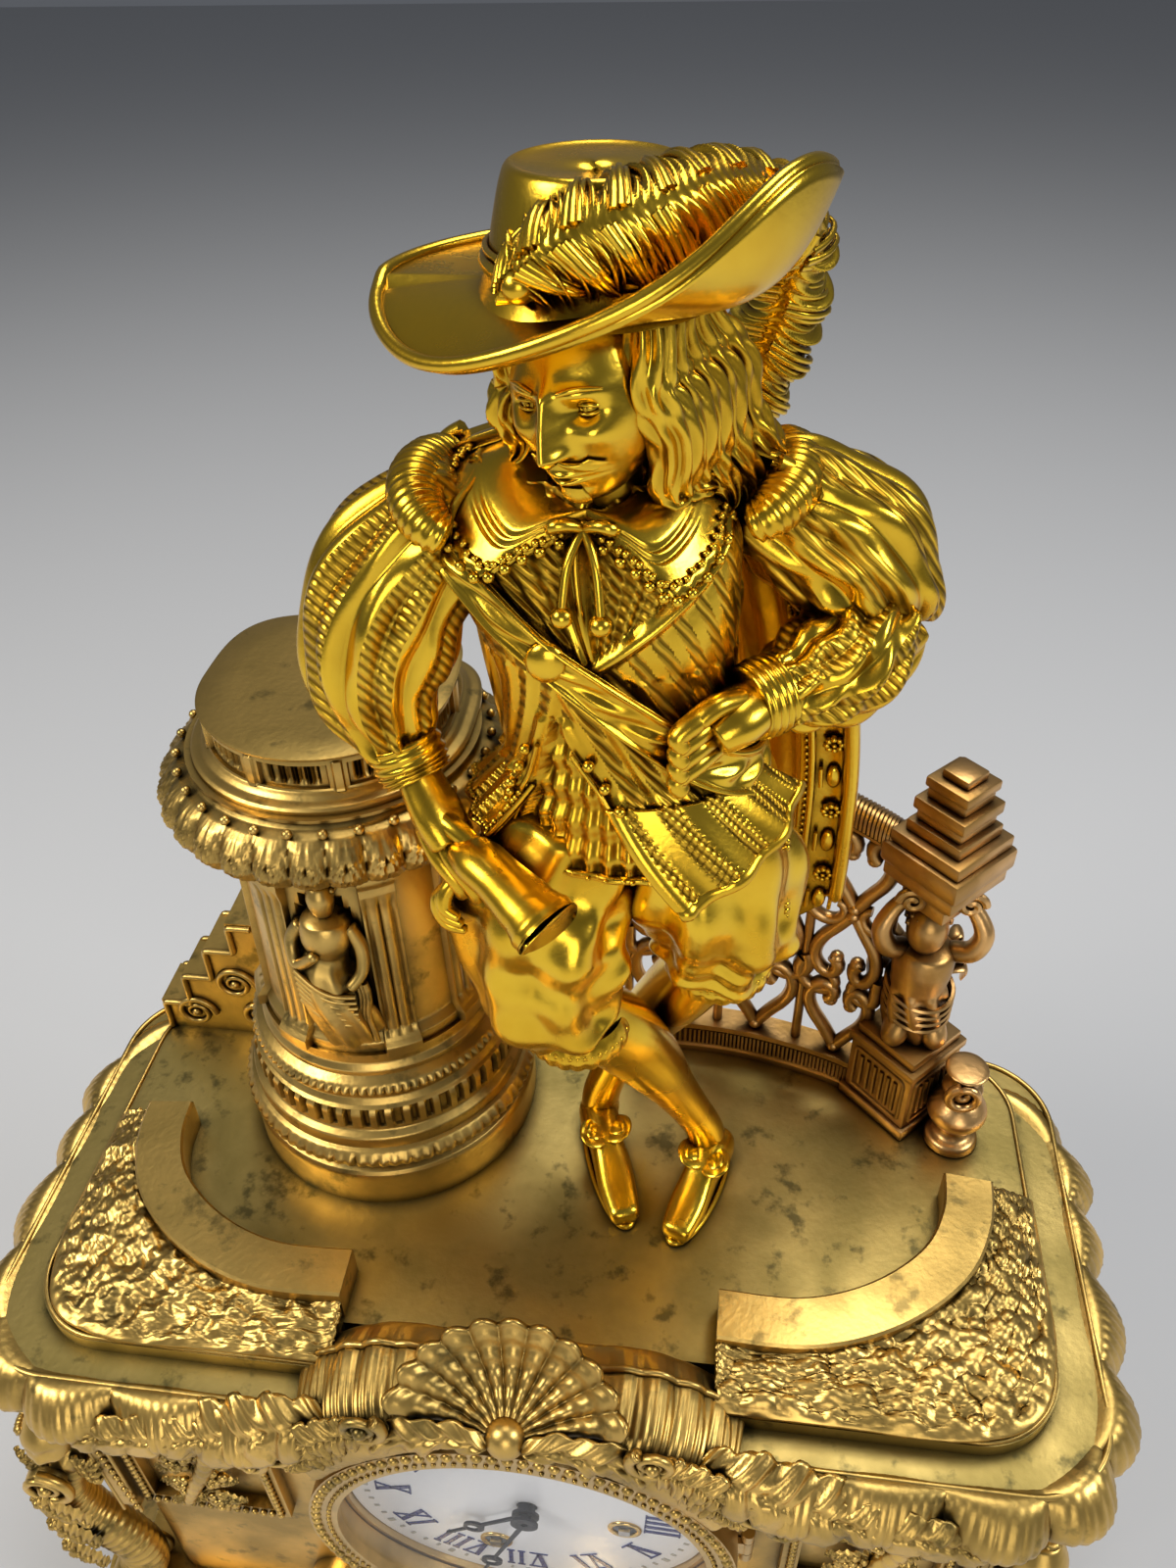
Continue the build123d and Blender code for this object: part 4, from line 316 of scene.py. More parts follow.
def head_skin(turn, up):
    """The skull and jaw with the features of the face."""
    bearing = 2 * pi * turn + 0.5 * sin(2 * pi * turn)
    lift = -cos(pi * up)
    ring = sin(pi * up)
    narrow = 1 - 0.3 * max(0, -lift) ** 1.5
    x = skull_width * ring * sin(bearing) * narrow
    y = skull_depth * ring * cos(bearing) * (1 - 0.12 * max(0, -lift))
    z = skull_height * lift
    if y < 0:
        y -= face_depth(x, z) * min(1, -y / 0.12) + 0.02 * max(0, -lift) * bump(x, 0.2)
    return on_head(x, y, z)


def neck_skin(turn, up):
    """The throat, from under the jaw into the collar."""
    bearing = 2 * pi * turn
    row = between([(-0.17, 0.1, 6.2, 0.25, 0.26), (-0.17, 0.06, 6.5, 0.21, 0.22), (-0.19, 0.02, 6.8, 0.2, 0.24)], up)
    return stance(row[0] + row[3] * sin(bearing), row[1] + row[4] * cos(bearing), row[2])


def surface_spot(x, z, lift=0.004):
    """A place on the face's front at a given height and width, raised a little."""
    low = z / skull_height
    ring = sqrt(max(0, 1 - low * low))
    narrow = 1 - 0.3 * max(0, -low) ** 1.5
    reach = max(0.0, 1 - (x / max(skull_width * ring * narrow, 1e-3)) ** 2)
    y = -skull_depth * ring * sqrt(reach) * (1 - 0.12 * max(0, -low))
    y -= face_depth(x, z) + 0.02 * max(0, -low) * bump(x, 0.2)
    return on_head(x, y - lift, z)


head_bm = bmesh.new()
form(head_bm, head_skin, 150, 170)
form(head_bm, neck_skin, 40, 12)
features = []


def on_eye(side, across, over, size):
    """A place on the ball of one eye, by its angles from straight ahead."""
    middle = surface_spot(side * 0.13, 0.045, -0.034)
    start = on_head(0, 0, 0)
    ahead, right, up = ((on_head(*way) - start).normalized() for way in ((0, -1, 0), (1, 0, 0), (0, 0, 1)))
    flat = cos(radians(over))
    return middle + size * HEAD * face_size * (sin(radians(across)) * flat * right + cos(radians(across)) * flat
        * ahead + sin(radians(over)) * up)


for side in (-1, 1):
    beads(head_bm, [on_eye(side, 0, 0, 0)], 0.055 * HEAD * face_size, 4)
    for high, low, rim in ((22, 78, 0.00032), (-15, -70, 0.00026)):
        def lid_skin(turn, out, high=high, low=low, side=side):
            across = -72 + 144 * turn
            return on_eye(side, across, high * cos(radians(across)) ** 0.7 * (1 - out) + low * out, 0.0605
                - 0.006 * out)
        form(head_bm, lid_skin, 30, 12, wrap=False)
        features.append([(on_eye(side, a, high * cos(radians(a)) ** 0.7, 0.0605), rim) for a in range(-66, 67, 11)])
    features.append([(on_eye(side, -6 * side - 4 + 21 * cos(k * pi / 8), 2 + 19 * sin(k * pi / 8), 0.0553), 0.00014)
        for k in range(17)])
    beads(head_bm, [on_eye(side, -6 * side - 4, 3, 0.0545)], 0.0003)
    features.append([(surface_spot(side * (0.055 + 0.026 * k), 0.125 + 0.02 * sin(pi * (k + 0.5) / 7), 0.002),
        0.0005 * (1 - 0.55 * abs(k - 2) / 4)) for k in range(7)])
    for hair in range(9):
        start_z = -0.168 - 0.004 * hair
        features.append([(surface_spot(side * (0.008 + 0.006 * hair), start_z, 0.004), 0.00045),
            (surface_spot(side * (0.05 + 0.008 * hair), start_z - 0.018, 0.012), 0.0005),
            (surface_spot(side * (0.1 + 0.008 * hair), start_z - 0.018 + 0.002 * hair, 0.012), 0.00035),
            (surface_spot(side * (0.135 + 0.006 * hair), start_z + 0.008, 0.018), 0.00012)])
for hair in range(-5, 6):
    features.append([(surface_spot(0.008 * hair, -0.325, 0.0), 0.0004), (surface_spot(0.011 * hair, -0.37, 0.008),
        0.0006), (surface_spot(0.008 * hair, -0.42, 0.012), 0.0005),
        (surface_spot(0.002 * hair, -0.455 + 0.005 * abs(hair), 0.04), 0.0001)])
wires(head_bm, features)
cast("head_and_face", head_bm, burnished, replaced=["head"])

# His hair: long wavy locks, combed from under the hat. Each lock is chased as a bundle of strands
# over a core. It falls to the collar on the viewer's right and lies short on the left.


def ways(path, share, step, toward):
    """The way a path runs at a share of it, with its front and its side."""
    ahead = Vector(between(path, min(share + step, 1))[:3]) - Vector(between(path, max(share - step, 0))[:3])
    ahead.normalize()
    front = Vector(toward)
    front = (front - front.dot(ahead) * ahead).normalized()
    return ahead, front, ahead.cross(front)


def limb(bm, path, fold=None, across=64, along=64, flat=1.0, toward=(0, -1, 0), caps=(True, True), paint=None,
        cap=0.07, place=stance):
    """A rounded skin round a path of (right, away, up, radius); a fold adds to its radius."""
    def skin(turn, share):
        right, away, up, radius = between(path, share)
        _, front, side = ways(path, share, 0.01, toward)
        room = min(share / cap if caps[0] else 1, (1 - share) / cap if caps[1] else 1, 1)
        reach = (radius + (fold(turn, share) if fold else 0)) * sqrt(max(0, 1 - (1 - room) ** 2))
        bearing = 2 * pi * turn
        return place(*(Vector((right, away, up)) + reach * (cos(bearing) * front + flat * sin(bearing) * side)))
    form(bm, skin, across, along, paint=paint)


def strands(count, height, sway):
    """Strands that wind down a lock of hair."""
    return lambda turn, share: height * sin(2 * pi * (count * turn + sway * sin(9 * share)
        + 0.6 * sin(2 * pi * turn))) + 0.5 * height * sin(2 * pi * ((count * 2 + 1) * turn - 1.4 * sway
        * sin(7 * share + 1)))


def lock(path, reach, wave, count):
    """One lock: a wavy core of shares, each a place and a width share, with its strands."""
    spots = []
    for step in range(13):
        share = step / 12
        right, away, up, spread = between(path, share)
        swing = wave * sin(share * 14 + path[0][0] * 9)
        spots.append((right + swing, away + 0.4 * swing, up, reach * spread))
    limb(hair_bm, spots, strands(count, 0.016, 0.45), 72, 48, toward=(0.3, -1, 0.1))


hair_bm = bmesh.new()
for shift, low in ((-0.16, 6.62), (-0.05, 6.38), (0.07, 6.2), (0.2, 6.12), (0.34, 6.1)):
    lock([(0.12 + 0.4 * shift, -0.16 + shift, 7.42, 0.8), (0.2 + 0.45 * shift, -0.12 + 1.1 * shift, 7.1, 1),
        (0.28 + 0.6 * shift, -0.04 + 1.2 * shift, 6.78, 1.05), (0.38 + 0.8 * shift, 0.06 + shift, 6.45, 0.85),
        (0.42 + 0.8 * shift, 0.1 + shift, low, 0.15)], 0.125, 0.035, 5)
for shift in (0, 0.14, 0.28):
    lock([(-0.5, -0.12 + shift, 7.38, 0.7), (-0.57, -0.14 + shift, 7.05, 1), (-0.57, -0.08 + shift, 6.8, 1),
        (-0.62, 0.0 + shift, 6.5, 0.15)], 0.095, 0.03, 4)
for turn in range(8):
    bearing = radians(206 + 18 * turn)
    across, back = -0.14 - 0.36 * cos(bearing), 0.02 - 0.38 * sin(bearing)
    lock([(across, back, 7.4, 0.8), (across * 1.05, back + 0.05, 7.0, 1), (across * 1.1, back + 0.06, 6.6, 1),
        (across * 1.1, back + 0.04, 6.28, 0.2)], 0.13, 0.03, 5)
cast("hair_locks", hair_bm, burnished)

# His hat: a tall tapered crown with a band, on a wide felt brim. The brim droops at the viewer's left,
# and is turned up at the right; the edge is rolled.
crown_rows = [(-0.17, 0.0, 7.34, 0.57, 0.57), (-0.18, 0.0, 7.46, 0.5, 0.51), (-0.18, 0.02, 7.68, 0.455, 0.46),
    (-0.17, 0.03, 7.84, 0.425, 0.43), (-0.17, 0.03, 7.905, 0.385, 0.39), (-0.17, 0.03, 7.89, 0.3, 0.31),
    (-0.17, 0.03, 7.875, 0.001, 0.001)]


def crown_skin(turn, up):
    """The crown of the hat, from inside the brim to the middle of its flat top."""
    bearing = 2 * pi * turn
    right, away, rise, width, depth = between(crown_rows, up)
    crease = 0.02 * bump(up - 0.98, 0.1) * cos(bearing)
    return stance(right + width * sin(bearing), away + depth * cos(bearing), rise + crease)


def brim_edge(bearing):
    """The brim's reach, its lift at the edge and how far it is turned up, by its bearing from the viewer's right."""
    wrapped = (bearing + pi) % (2 * pi) - pi
    turned = bump(wrapped + 0.5, 0.75)
    lift = 0.47 * turned + 0.24 * bump(wrapped - 0.5, 0.8) - 0.2 * bump(wrapped + 2.35, 0.65) - 0.03 * max(0,
        -cos(bearing)) + 0.02
    return 1.07 * cos(bearing), (0.84 if sin(bearing) > 0 else 0.8) * sin(bearing), lift, turned


def brim_skin(turn, out):
    """The brim, from the crown out to its edge: top side."""
    bearing = 2 * pi * turn
    reach_x, reach_y, lift, turned = brim_edge(bearing)
    spread = 0.42 + 0.58 * (out - 0.2 * turned * out ** 4)
    return stance(-0.14 + reach_x * spread, 0.02 + reach_y * spread, 7.4 + lift * out ** (1.7 + 1.6 * turned))


hat_bm = bmesh.new()
form(hat_bm, crown_skin, 72, 36)
cast("hat_crown", hat_bm, burnished, replaced=["hat"])
brim_bm = bmesh.new()
form(brim_bm, brim_skin, 128, 26)
cast("hat_brim", brim_bm, burnished, wall=0.0017)
roll_bm = bmesh.new()
wires(roll_bm, [[(brim_skin(step / 64, 1), 0.0011) for step in range(65)]], sides=3, steps=2)
band_line = [(crown_skin(step / 48, 0.2) + Vector((0, 0, 0.0005)), 0.0011) for step in range(49)]
wires(roll_bm, [band_line, [(spot + Vector((0, 0, 0.0017)), 0.0005) for spot, _ in band_line]], steps=2)
cast("hat_edge_and_band", roll_bm, burnished)

# The plume: one curled feather, cast as a ribbed quill and its barbs. It lies along the brim from
# its button at the front of the crown, wraps the turned-up side and hangs down behind it.
plume_path = [(-0.5, -0.52, 7.48, 0.08), (-0.36, -0.52, 7.6, 0.2), (-0.14, -0.44, 7.68, 0.25),
    (0.1, -0.27, 7.71, 0.26), (0.3, 0.04, 7.71, 0.26), (0.5, 0.42, 7.64, 0.24), (0.72, 0.85, 7.44, 0.22),
    (0.72, 1.2, 6.98, 0.26), (0.6, 1.34, 6.5, 0.25), (0.5, 1.4, 6.15, 0.1)]
plume_bm = bmesh.new()


def vanes(turn, share):
    """Ribs that slant back from the quill on both sides, over a serrated edge."""
    side_share = abs(sin(2 * pi * turn))
    return (-0.05 + 0.03 * sin(2 * pi * (share * 62 - 2.2 * side_share)) * side_share + 0.045 * side_share ** 4
        * sin(2 * pi * (share * 21 - 0.8 * side_share)) + 0.02 * bump(turn - 0.5, 0.03))


limb(plume_bm, plume_path, vanes, across=64, along=520, flat=0.95, toward=(0, -1, 0.6))
barbs = []
for step in range(96):
    share = 0.03 + 0.95 * step / 95
    right, away, up, radius = between(plume_path, share)
    ahead, front, beside = ways(plume_path, share, 0.02, (0, -1, 0.6))
    for side in (-1, 1):
        reach = radius * (0.92 + 0.16 * sin(step * 0.9 + side))
        barbs.append([(stance(*(Vector((right, away, up)) + reach * (part * beside * side + rise * front)
            + lag * ahead)), 0.00085 * (1.15 - 0.6 * part)) for part, rise,
            lag in ((0.1, 0.72, -0.03), (0.5, 0.62, 0.02), (0.85, 0.3, 0.08), (0.98, -0.05, 0.13),
            (0.86, -0.25, 0.15))])
quill = []
for step in range(31):
    *spot, radius = between(plume_path, step / 30)
    quill.append((stance(*(Vector(spot) + Vector((0, -0.45, 0.4)) * radius)), 0.0008))
wires(plume_bm, barbs + [quill], sides=1, steps=2)
beads(plume_bm, [stance(-0.42, -0.6, 7.55)], 0.0024, 3)
cast("hat_feather", plume_bm, burnished, replaced=["hat_plume"])

# The doublet: a fitted jacket that hangs open in an upturned V over a pleated shirt. Its fronts are
# chased with slanting hatched stripes; buttons run down its edges. The baldric crosses it.
torso_rows = [(0, 0.13, 4.05, 0.88, 0.66), (-0.01, 0.13, 4.3, 0.83, 0.61), (-0.03, 0.13, 4.6, 0.76, 0.56),
    (-0.1, 0.13, 5.2, 0.69, 0.51), (-0.2, 0.13, 5.73, 0.79, 0.51), (-0.27, 0.17, 6.16, 0.8, 0.45),
    (-0.23, 0.2, 6.42, 0.5, 0.32)]


def open_edge(side, up):
    """The bearing of the jacket's open edge, which widens down from the waist."""
    return -0.078 + (0.125 if side > 0 else -0.08) * max(0, 5.13 - up)


def from_neck(signed, up):
    """How far a spot on the jacket lies outside the V of its neck, as a share of a turn."""
    high = max(0, (up - 5.42) / 0.56)
    return abs(signed + 0.045 * (1 - high)) - 0.128 * high


def jacket(turn, share, lift=0.0):
    """The jacket's skin; turn 0 and 1 face the front."""
    right, away, up, width, depth = between(torso_rows, share)
    bearing = 2 * pi * turn
    signed = turn if turn < 0.5 else turn - 1
    rise = lift
    if open_edge(-1, up) < signed < open_edge(1, up) and up < 5.13:
        rise += -0.06 + 0.016 * sin(signed * 2 * pi * 40) - 0.03 * sin(up * 15) ** 2
    else:
        low = max(0, 4.5 - up)
        rise += 0.05 * low * cos(2 * pi * turn * 9)
        rise += 0.03 * (bump(signed - open_edge(-1, up) + 0.018, 0.012) + bump(signed - open_edge(1, up) - 0.018,
            0.012)) * (up < 5.13)
        rise += 0.035 * bump(up - 4.62, 0.05)
        outside = from_neck(signed, up)
        if up > 5.42 and abs(signed) < 0.25:
            rise += 0.045 * bump(outside - 0.016, 0.013)
            if outside < 0:
                rise += 0.018 * cos(signed / max(up - 5.3, 0.1) * 2 * pi * 22) - 0.02 + 0.05 * bump(signed
                    + 0.02 * (6.0 - up), 0.012)
        elif abs(signed) < 0.3:
            rise += 0.014 * cos(2 * pi * (abs(signed + 0.06) * 26 + up * 2.6))
    return stance(right + (width + rise) * sin(bearing), away - (depth + rise) * cos(bearing), up)


def jacket_metal(turn, share):
    """Picks hatched panels for the jacket's fronts and smooth metal for its bands."""
    up = between(torso_rows, share)[2]
    signed = turn if turn < 0.5 else turn - 1
    if open_edge(-1, up) - 0.03 < signed < open_edge(1, up) + 0.03 and up < 5.13:
        return 0
    outside = from_neck(signed, up)
    if up > 5.42 and abs(signed) < 0.25 and outside < 0.032:
        return 1 if outside < -0.004 and abs(signed + 0.02 * (6.0 - up)) > 0.014 else 0
    return 1 if (abs(signed + 0.06) * 26 + up * 2.6) % 1 < 0.55 else 0


torso_bm = bmesh.new()
form(torso_bm, jacket, 380, 170, paint=jacket_metal)
edges, buttons = [], []
for side in (-1, 1):
    edges.append([(jacket((open_edge(side, between(torso_rows, k / 60)[2]) + side * 0.006) % 1, k / 60, 0.03), 0.0005)
        for k in range(27)])
hem = [(jacket(k / 60, 0.004, 0.01), 0.0008) for k in range(61)]
wires(torso_bm, edges + [hem])
for k in range(12):
    share = 0.02 + 0.4 * k / 11
    up = between(torso_rows, share)[2]
    buttons += [jacket((open_edge(side, up) + side * 0.02) % 1, share, 0.035) for side in (-1, 1)]
beads(torso_bm, buttons, 0.0011)
beads(torso_bm, [jacket(k / 96, 0.012, 0.03) for k in range(96)], 0.0006, 1)
cast("doublet_fronts", torso_bm, burnished, replaced=["doublet"]).data.materials.append(chased)

baldric_bm = bmesh.new()


def baldric_skin(along, high):
    """The broad sword belt, from his right shoulder across to the left hip, and round his back."""
    bearing = 2 * pi * along
    signed = sin(bearing)
    up = 5.36 - 0.72 * signed + 0.22 * max(0, -signed) ** 2
    low = up + 0.35 * (high - 0.5)
    share = 1.0
    for row in range(6):
        if torso_rows[row][2] <= low <= torso_rows[row + 1][2]:
            share = (row + (low - torso_rows[row][2]) / (torso_rows[row + 1][2] - torso_rows[row][2])) / 6
    edge = 0.03 * (bump(high - 0.08, 0.06) + bump(high - 0.92, 0.06))
    scroll = 0.024 * sin(along * 2 * pi * 22 + 2.6 * sin(high * 2 * pi)) * bump(high - 0.5, 0.24)
    right, away, up, width, depth = between(torso_rows, share)
    reach = 0.09 + edge + scroll
    return stance(right + (width + reach) * sin(bearing), away - (depth + reach) * cos(bearing), up)


form(baldric_bm, baldric_skin, 300, 30)
bmesh.ops.create_uvsphere(baldric_bm, u_segments=20, v_segments=12, radius=0.0034,
    matrix=Matrix.Translation(baldric_skin(0.955, 0.5)) @ Matrix.Diagonal((1, 0.5, 1.1, 1)))
cast("baldric_belt", baldric_bm, burnished, wall=0.0012)

# The falling collar: a broad square lace collar in two points, with a beaded, pierced edge and
# double lines engraved along it, tied at the throat with a ribbon that ends in two tassels.
collar_edge = [(-0.22, -0.25, 6.25), (0.03, -0.36, 6.12), (0.26, -0.4, 5.98), (0.46, -0.12, 6.1), (0.5, 0.25, 6.3),
    (0.44, 0.5, 6.36), (0.25, 0.68, 6.38), (0.02, 0.76, 6.4), (-0.22, 0.78, 6.4), (-0.46, 0.76, 6.4),
    (-0.7, 0.66, 6.38), (-0.9, 0.46, 6.36), (-1.0, 0.2, 6.34), (-0.98, -0.1, 6.2), (-0.76, -0.38, 6.05),
    (-0.49, -0.35, 6.16), (-0.22, -0.25, 6.25)]


def collar_skin(turn, out):
    """The collar from the neck out to its scalloped edge."""
    bearing = 2 * pi * turn
    signed = turn if turn < 0.5 else turn - 1
    neck = Vector((-0.19 + 0.26 * sin(bearing), 0.08 - 0.27 * cos(bearing), 6.45 - 0.12 * cos(bearing)))
    edge = Vector(between(collar_edge, turn))
    spot = neck.lerp(edge, out)
    scallop = 0.022 * abs(sin(turn * pi * 52)) * max(0, out - 0.85) / 0.15
    away = (edge - neck).normalized()
    corner = bump(abs(signed) - 0.125, 0.055)
    relief = -0.028 * (bump(out - 0.6, 0.025) + bump(out - 0.7, 0.025)) * corner + 0.016 * bump(out - 0.95, 0.04)
    return stance(*(spot + away * scallop + Vector((0, -0.3, 1)) * (relief + 0.07 * sin(pi * out)
        + 0.015 * (1 - out))))


collar_bm = bmesh.new()
form(collar_bm, collar_skin, 312, 60)
cast("lace_collar", collar_bm, burnished, replaced=["falling_collar"], wall=0.0012)
trim_bm = bmesh.new()
beads(trim_bm, [collar_skin(k / 104, 0.93) + Vector((0, -0.0002, 0.0005)) for k in range(104)], 0.0007, 1)
beads(trim_bm, [collar_skin((k + 0.5) / 52, 1.0) for k in range(52)], 0.0011, 1)
throat = collar_skin(0.0, 0.9)
for side, drop in ((-1, 0.38), (1, 0.42)):
    cord = [((0, -0.001, 0), 0.0008), ((side * 0.0022, -0.004, -0.3 * drop * HEAD), 0.0008),
        ((side * 0.0028, -0.0055, -0.8 * drop * HEAD), 0.0008), ((side * 0.003, -0.006, -drop * HEAD), 0.0008)]
    loop = [((0, -0.001, 0), 0.0008), ((side * 0.003, -0.003, 0.002), 0.0013), ((side * 0.006, -0.0025, 0.0), 0.001),
        ((0, 0, 0), 0.0006)]
    wires(trim_bm, [[(throat + Vector(shift), radius) for shift, radius in line] for line in (cord, loop)], sides=1)
    beads(trim_bm, [throat + Vector((side * 0.003, -0.0062, -drop * HEAD - 0.001))], 0.0019)
cast("collar_trimming", trim_bm, burnished)

# The sleeves are paned: strips sewn at the shoulder and the cuff, smooth and hatched in turn, that
# open over a puffed lining. A padded wing rolls over each shoulder, and each cuff is ribbed.


def panes(count, height):
    """Strips that run down a sleeve."""
    return lambda turn, share: (height * abs(cos(turn * pi * count)) * (0.35 + 0.65 * sin(pi * share))
        + 0.02 * sin(share * 19 + 9 * sin(2 * pi * turn)))


def ribbed(turn, share):
    """Three ribs round a cuff."""
    return 0.02 * sin(share * 6 * pi) ** 2


def puffed(bm, path, count, height, along):
    """A paned sleeve, whose strips are smooth and hatched in turn."""
    limb(bm, path, panes(count, height), 12 * count, along, paint=lambda turn, share: int(turn * count) % 2)


sleeve_bm = bmesh.new()
puffed(sleeve_bm, [(-0.85, 0.2, 6.24, 0.26), (-1.15, 0.16, 6.0, 0.37), (-1.42, 0.12, 5.6, 0.43),
    (-1.52, 0.06, 5.15, 0.38), (-1.46, 0.0, 4.78, 0.25), (-1.38, -0.05, 4.62, 0.19)], 14, 0.055, 70)
limb(sleeve_bm, [(-1.42, -0.02, 4.72, 0.22), (-1.35, -0.06, 4.55, 0.22), (-1.3, -0.1, 4.46, 0.2)], ribbed, 60, 24)
cast("resting_sleeve_panes", sleeve_bm, burnished, replaced=["resting_arm"]).data.materials.append(chased)

akimbo_bm = bmesh.new()
puffed(akimbo_bm, [(0.48, 0.42, 6.2, 0.24), (0.82, 0.53, 6.06, 0.36), (1.16, 0.6, 5.82, 0.42), (1.4, 0.62, 5.5, 0.34),
    (1.42, 0.58, 5.36, 0.24)], 14, 0.05, 60)
puffed(akimbo_bm, [(1.46, 0.58, 5.42, 0.26), (1.22, 0.3, 5.26, 0.33), (0.98, 0.1, 5.2, 0.27),
    (0.8, -0.03, 5.18, 0.19)], 12, 0.045, 50)
limb(akimbo_bm, [(0.86, 0.02, 5.19, 0.2), (0.76, -0.06, 5.18, 0.22), (0.66, -0.14, 5.17, 0.2)], ribbed, 60, 24)
cast("akimbo_sleeve_panes", akimbo_bm, burnished, replaced=["akimbo_arm"]).data.materials.append(chased)

wing_bm = bmesh.new()
for side, middle in ((-1, (-0.98, 0.17, 6.2)), (1, (0.66, 0.48, 6.18))):
    spots = []
    for k in range(9):
        bearing = radians(-100 + 200 * k / 8)
        spots.append((middle[0] + side * (0.2 * cos(bearing) - 0.02), middle[1] - 0.42 * sin(bearing), middle[2]
            + 0.12 - 0.3 * (1 - cos(bearing)) * 0.4, 0.1 + 0.05 * cos(bearing)))
    limb(wing_bm, spots, lambda turn, share: 0.016 * sin(share * 26 * pi) ** 2, 32, 90, toward=(0, 0, 1))
cast("shoulder_wings", wing_bm, burnished)

# The hands. The right hand hangs over the pedestal and holds an empty gauntlet by its wrist, so
# that the wide cuff opens toward the viewer; the left one rests on the hip with bent fingers.
hands_bm = bmesh.new()
limb(hands_bm, [(-1.37, -0.04, 4.62, 0.16), (-1.27, -0.14, 4.44, 0.18), (-1.16, -0.24, 4.28, 0.2),
    (-1.06, -0.32, 4.14, 0.18)], flat=0.72, across=40, along=30)
for finger in range(4):
    spread = 0.1 * (finger - 1.5)
    limb(hands_bm, [(-1.12 + spread, -0.27 - 0.04 * finger, 4.24, 0.06), (-1.0 + spread, -0.4 - 0.03 * finger, 4.1,
        0.066), (-0.88 + spread, -0.46 - 0.03 * finger, 3.95, 0.06), (-0.86 + spread, -0.44 - 0.03 * finger, 3.82,
        0.05)], across=16, along=22)
limb(hands_bm, [(-1.18, -0.28, 4.34, 0.07), (-1.02, -0.38, 4.3, 0.07), (-0.86, -0.46, 4.2, 0.06),
    (-0.76, -0.5, 4.12, 0.05)], across=16, along=22)
limb(hands_bm, [(0.8, -0.06, 5.18, 0.15), (0.7, -0.14, 5.17, 0.18), (0.58, -0.25, 5.14, 0.2),
    (0.46, -0.34, 5.08, 0.16)], flat=0.8, across=40, along=30)
for finger in range(4):
    drop = 0.1 * (finger - 1.5)
    limb(hands_bm, [(0.52, -0.26, 5.12 - drop, 0.062), (0.4, -0.42, 5.1 - drop, 0.066),
        (0.3, -0.5, 5.03 - drop, 0.06), (0.34, -0.5, 4.95 - drop, 0.052)], across=16, along=22)
limb(hands_bm, [(0.64, -0.22, 5.26, 0.07), (0.5, -0.36, 5.3, 0.066), (0.4, -0.44, 5.24, 0.055)], across=16, along=20)
cast("hands", hands_bm, burnished)

glove_bm = bmesh.new()
glove_rows = [(-1.02, -0.38, 4.18, 0.1), (-0.88, -0.5, 4.18, 0.16), (-0.72, -0.63, 4.15, 0.165),
    (-0.55, -0.77, 4.1, 0.195), (-0.4, -0.88, 4.03, 0.235)]
limb(glove_bm, glove_rows, lambda turn, share: 0.012 * bump(share - 0.9, 0.03) - 0.006 * bump(share - 0.8, 0.02), 64,
    48, flat=0.85, caps=(True, False))
limb(glove_bm, [(-0.4, -0.88, 4.03, 0.235), (-0.415, -0.868, 4.037, 0.212), (-0.56, -0.76, 4.11, 0.17),
    (-0.72, -0.63, 4.15, 0.03)], None, 64, 16, flat=0.85, caps=(False, False))
for finger in range(3):
    limb(glove_bm, [(-0.98, -0.4, 3.98, 0.05), (-1.1 - 0.03 * finger, -0.46, 3.88 - 0.04 * finger, 0.055),
        (-1.12, -0.5, 3.76 - 0.06 * finger, 0.05), (-1.02 + 0.02 * finger, -0.53, 3.7 - 0.05 * finger, 0.03)], None,
        16, 22)
cast("held_gauntlet", glove_bm, burnished)

# The breeches: full, gathered at the waist and under each knee, with a band of lace at the hem and
# a row of small buttons down the outer seam of the left leg.


def gathers(count, height, sag):
    """Soft folds that run down a full garment and sag across it."""
    return lambda turn, share: (height * sin(2 * pi * (count * turn + 0.35 * sin(3 * share + 2)))
        * (0.4 + 0.6 * sin(pi * share)) + sag * sin(13 * share + 4 * sin(2 * pi * turn + 1))
        + 0.02 * sin(31 * share + 3 * sin(4 * pi * turn)) * share)


breeches_bm = bmesh.new()
limb(breeches_bm, [(-0.4, 0.08, 4.25, 0.46), (-0.56, 0.0, 3.75, 0.57), (-0.6, -0.1, 3.3, 0.58),
    (-0.52, -0.18, 2.85, 0.5), (-0.36, -0.2, 2.45, 0.36)], gathers(7, 0.05, 0.035), 150, 100)
limb(breeches_bm, [(0.4, 0.15, 4.15, 0.47), (0.52, 0.18, 3.7, 0.54), (0.58, 0.22, 3.25, 0.52),
    (0.6, 0.25, 2.95, 0.45), (0.6, 0.27, 2.7, 0.36)], gathers(7, 0.05, 0.035), 150, 100)
for (x, y, z), radius in (((-0.36, -0.2, 2.47), 0.35), ((0.6, 0.27, 2.74), 0.36)):
    beads(breeches_bm, [stance(x + radius * sin(2 * pi * k / 44), y - radius * cos(2 * pi * k / 44), z - 0.02)
        for k in range(44)], 0.00085, 1)
    limb(breeches_bm, [(x, y, z + rise, radius + more) for rise, more in ((0.08, -0.03), (0.02, 0), (-0.06, 0.02),
        (-0.14, 0))], lambda turn, share: 0.016 * abs(sin(22 * pi * turn)) * share, 132, 16, caps=(False, False))
beads(breeches_bm, [stance(1.05 - 0.004 * k, 0.08, 2.95 + 0.055 * k) for k in range(22)], 0.001, 1)
cast("breeches_pair", breeches_bm, burnished, replaced=["breeches"])

# The skirt of the doublet hangs over the hips in two panels. Hatched and smooth stripes take turns
# on them, and each is edged with a studded border.
skirt_bm = bmesh.new()


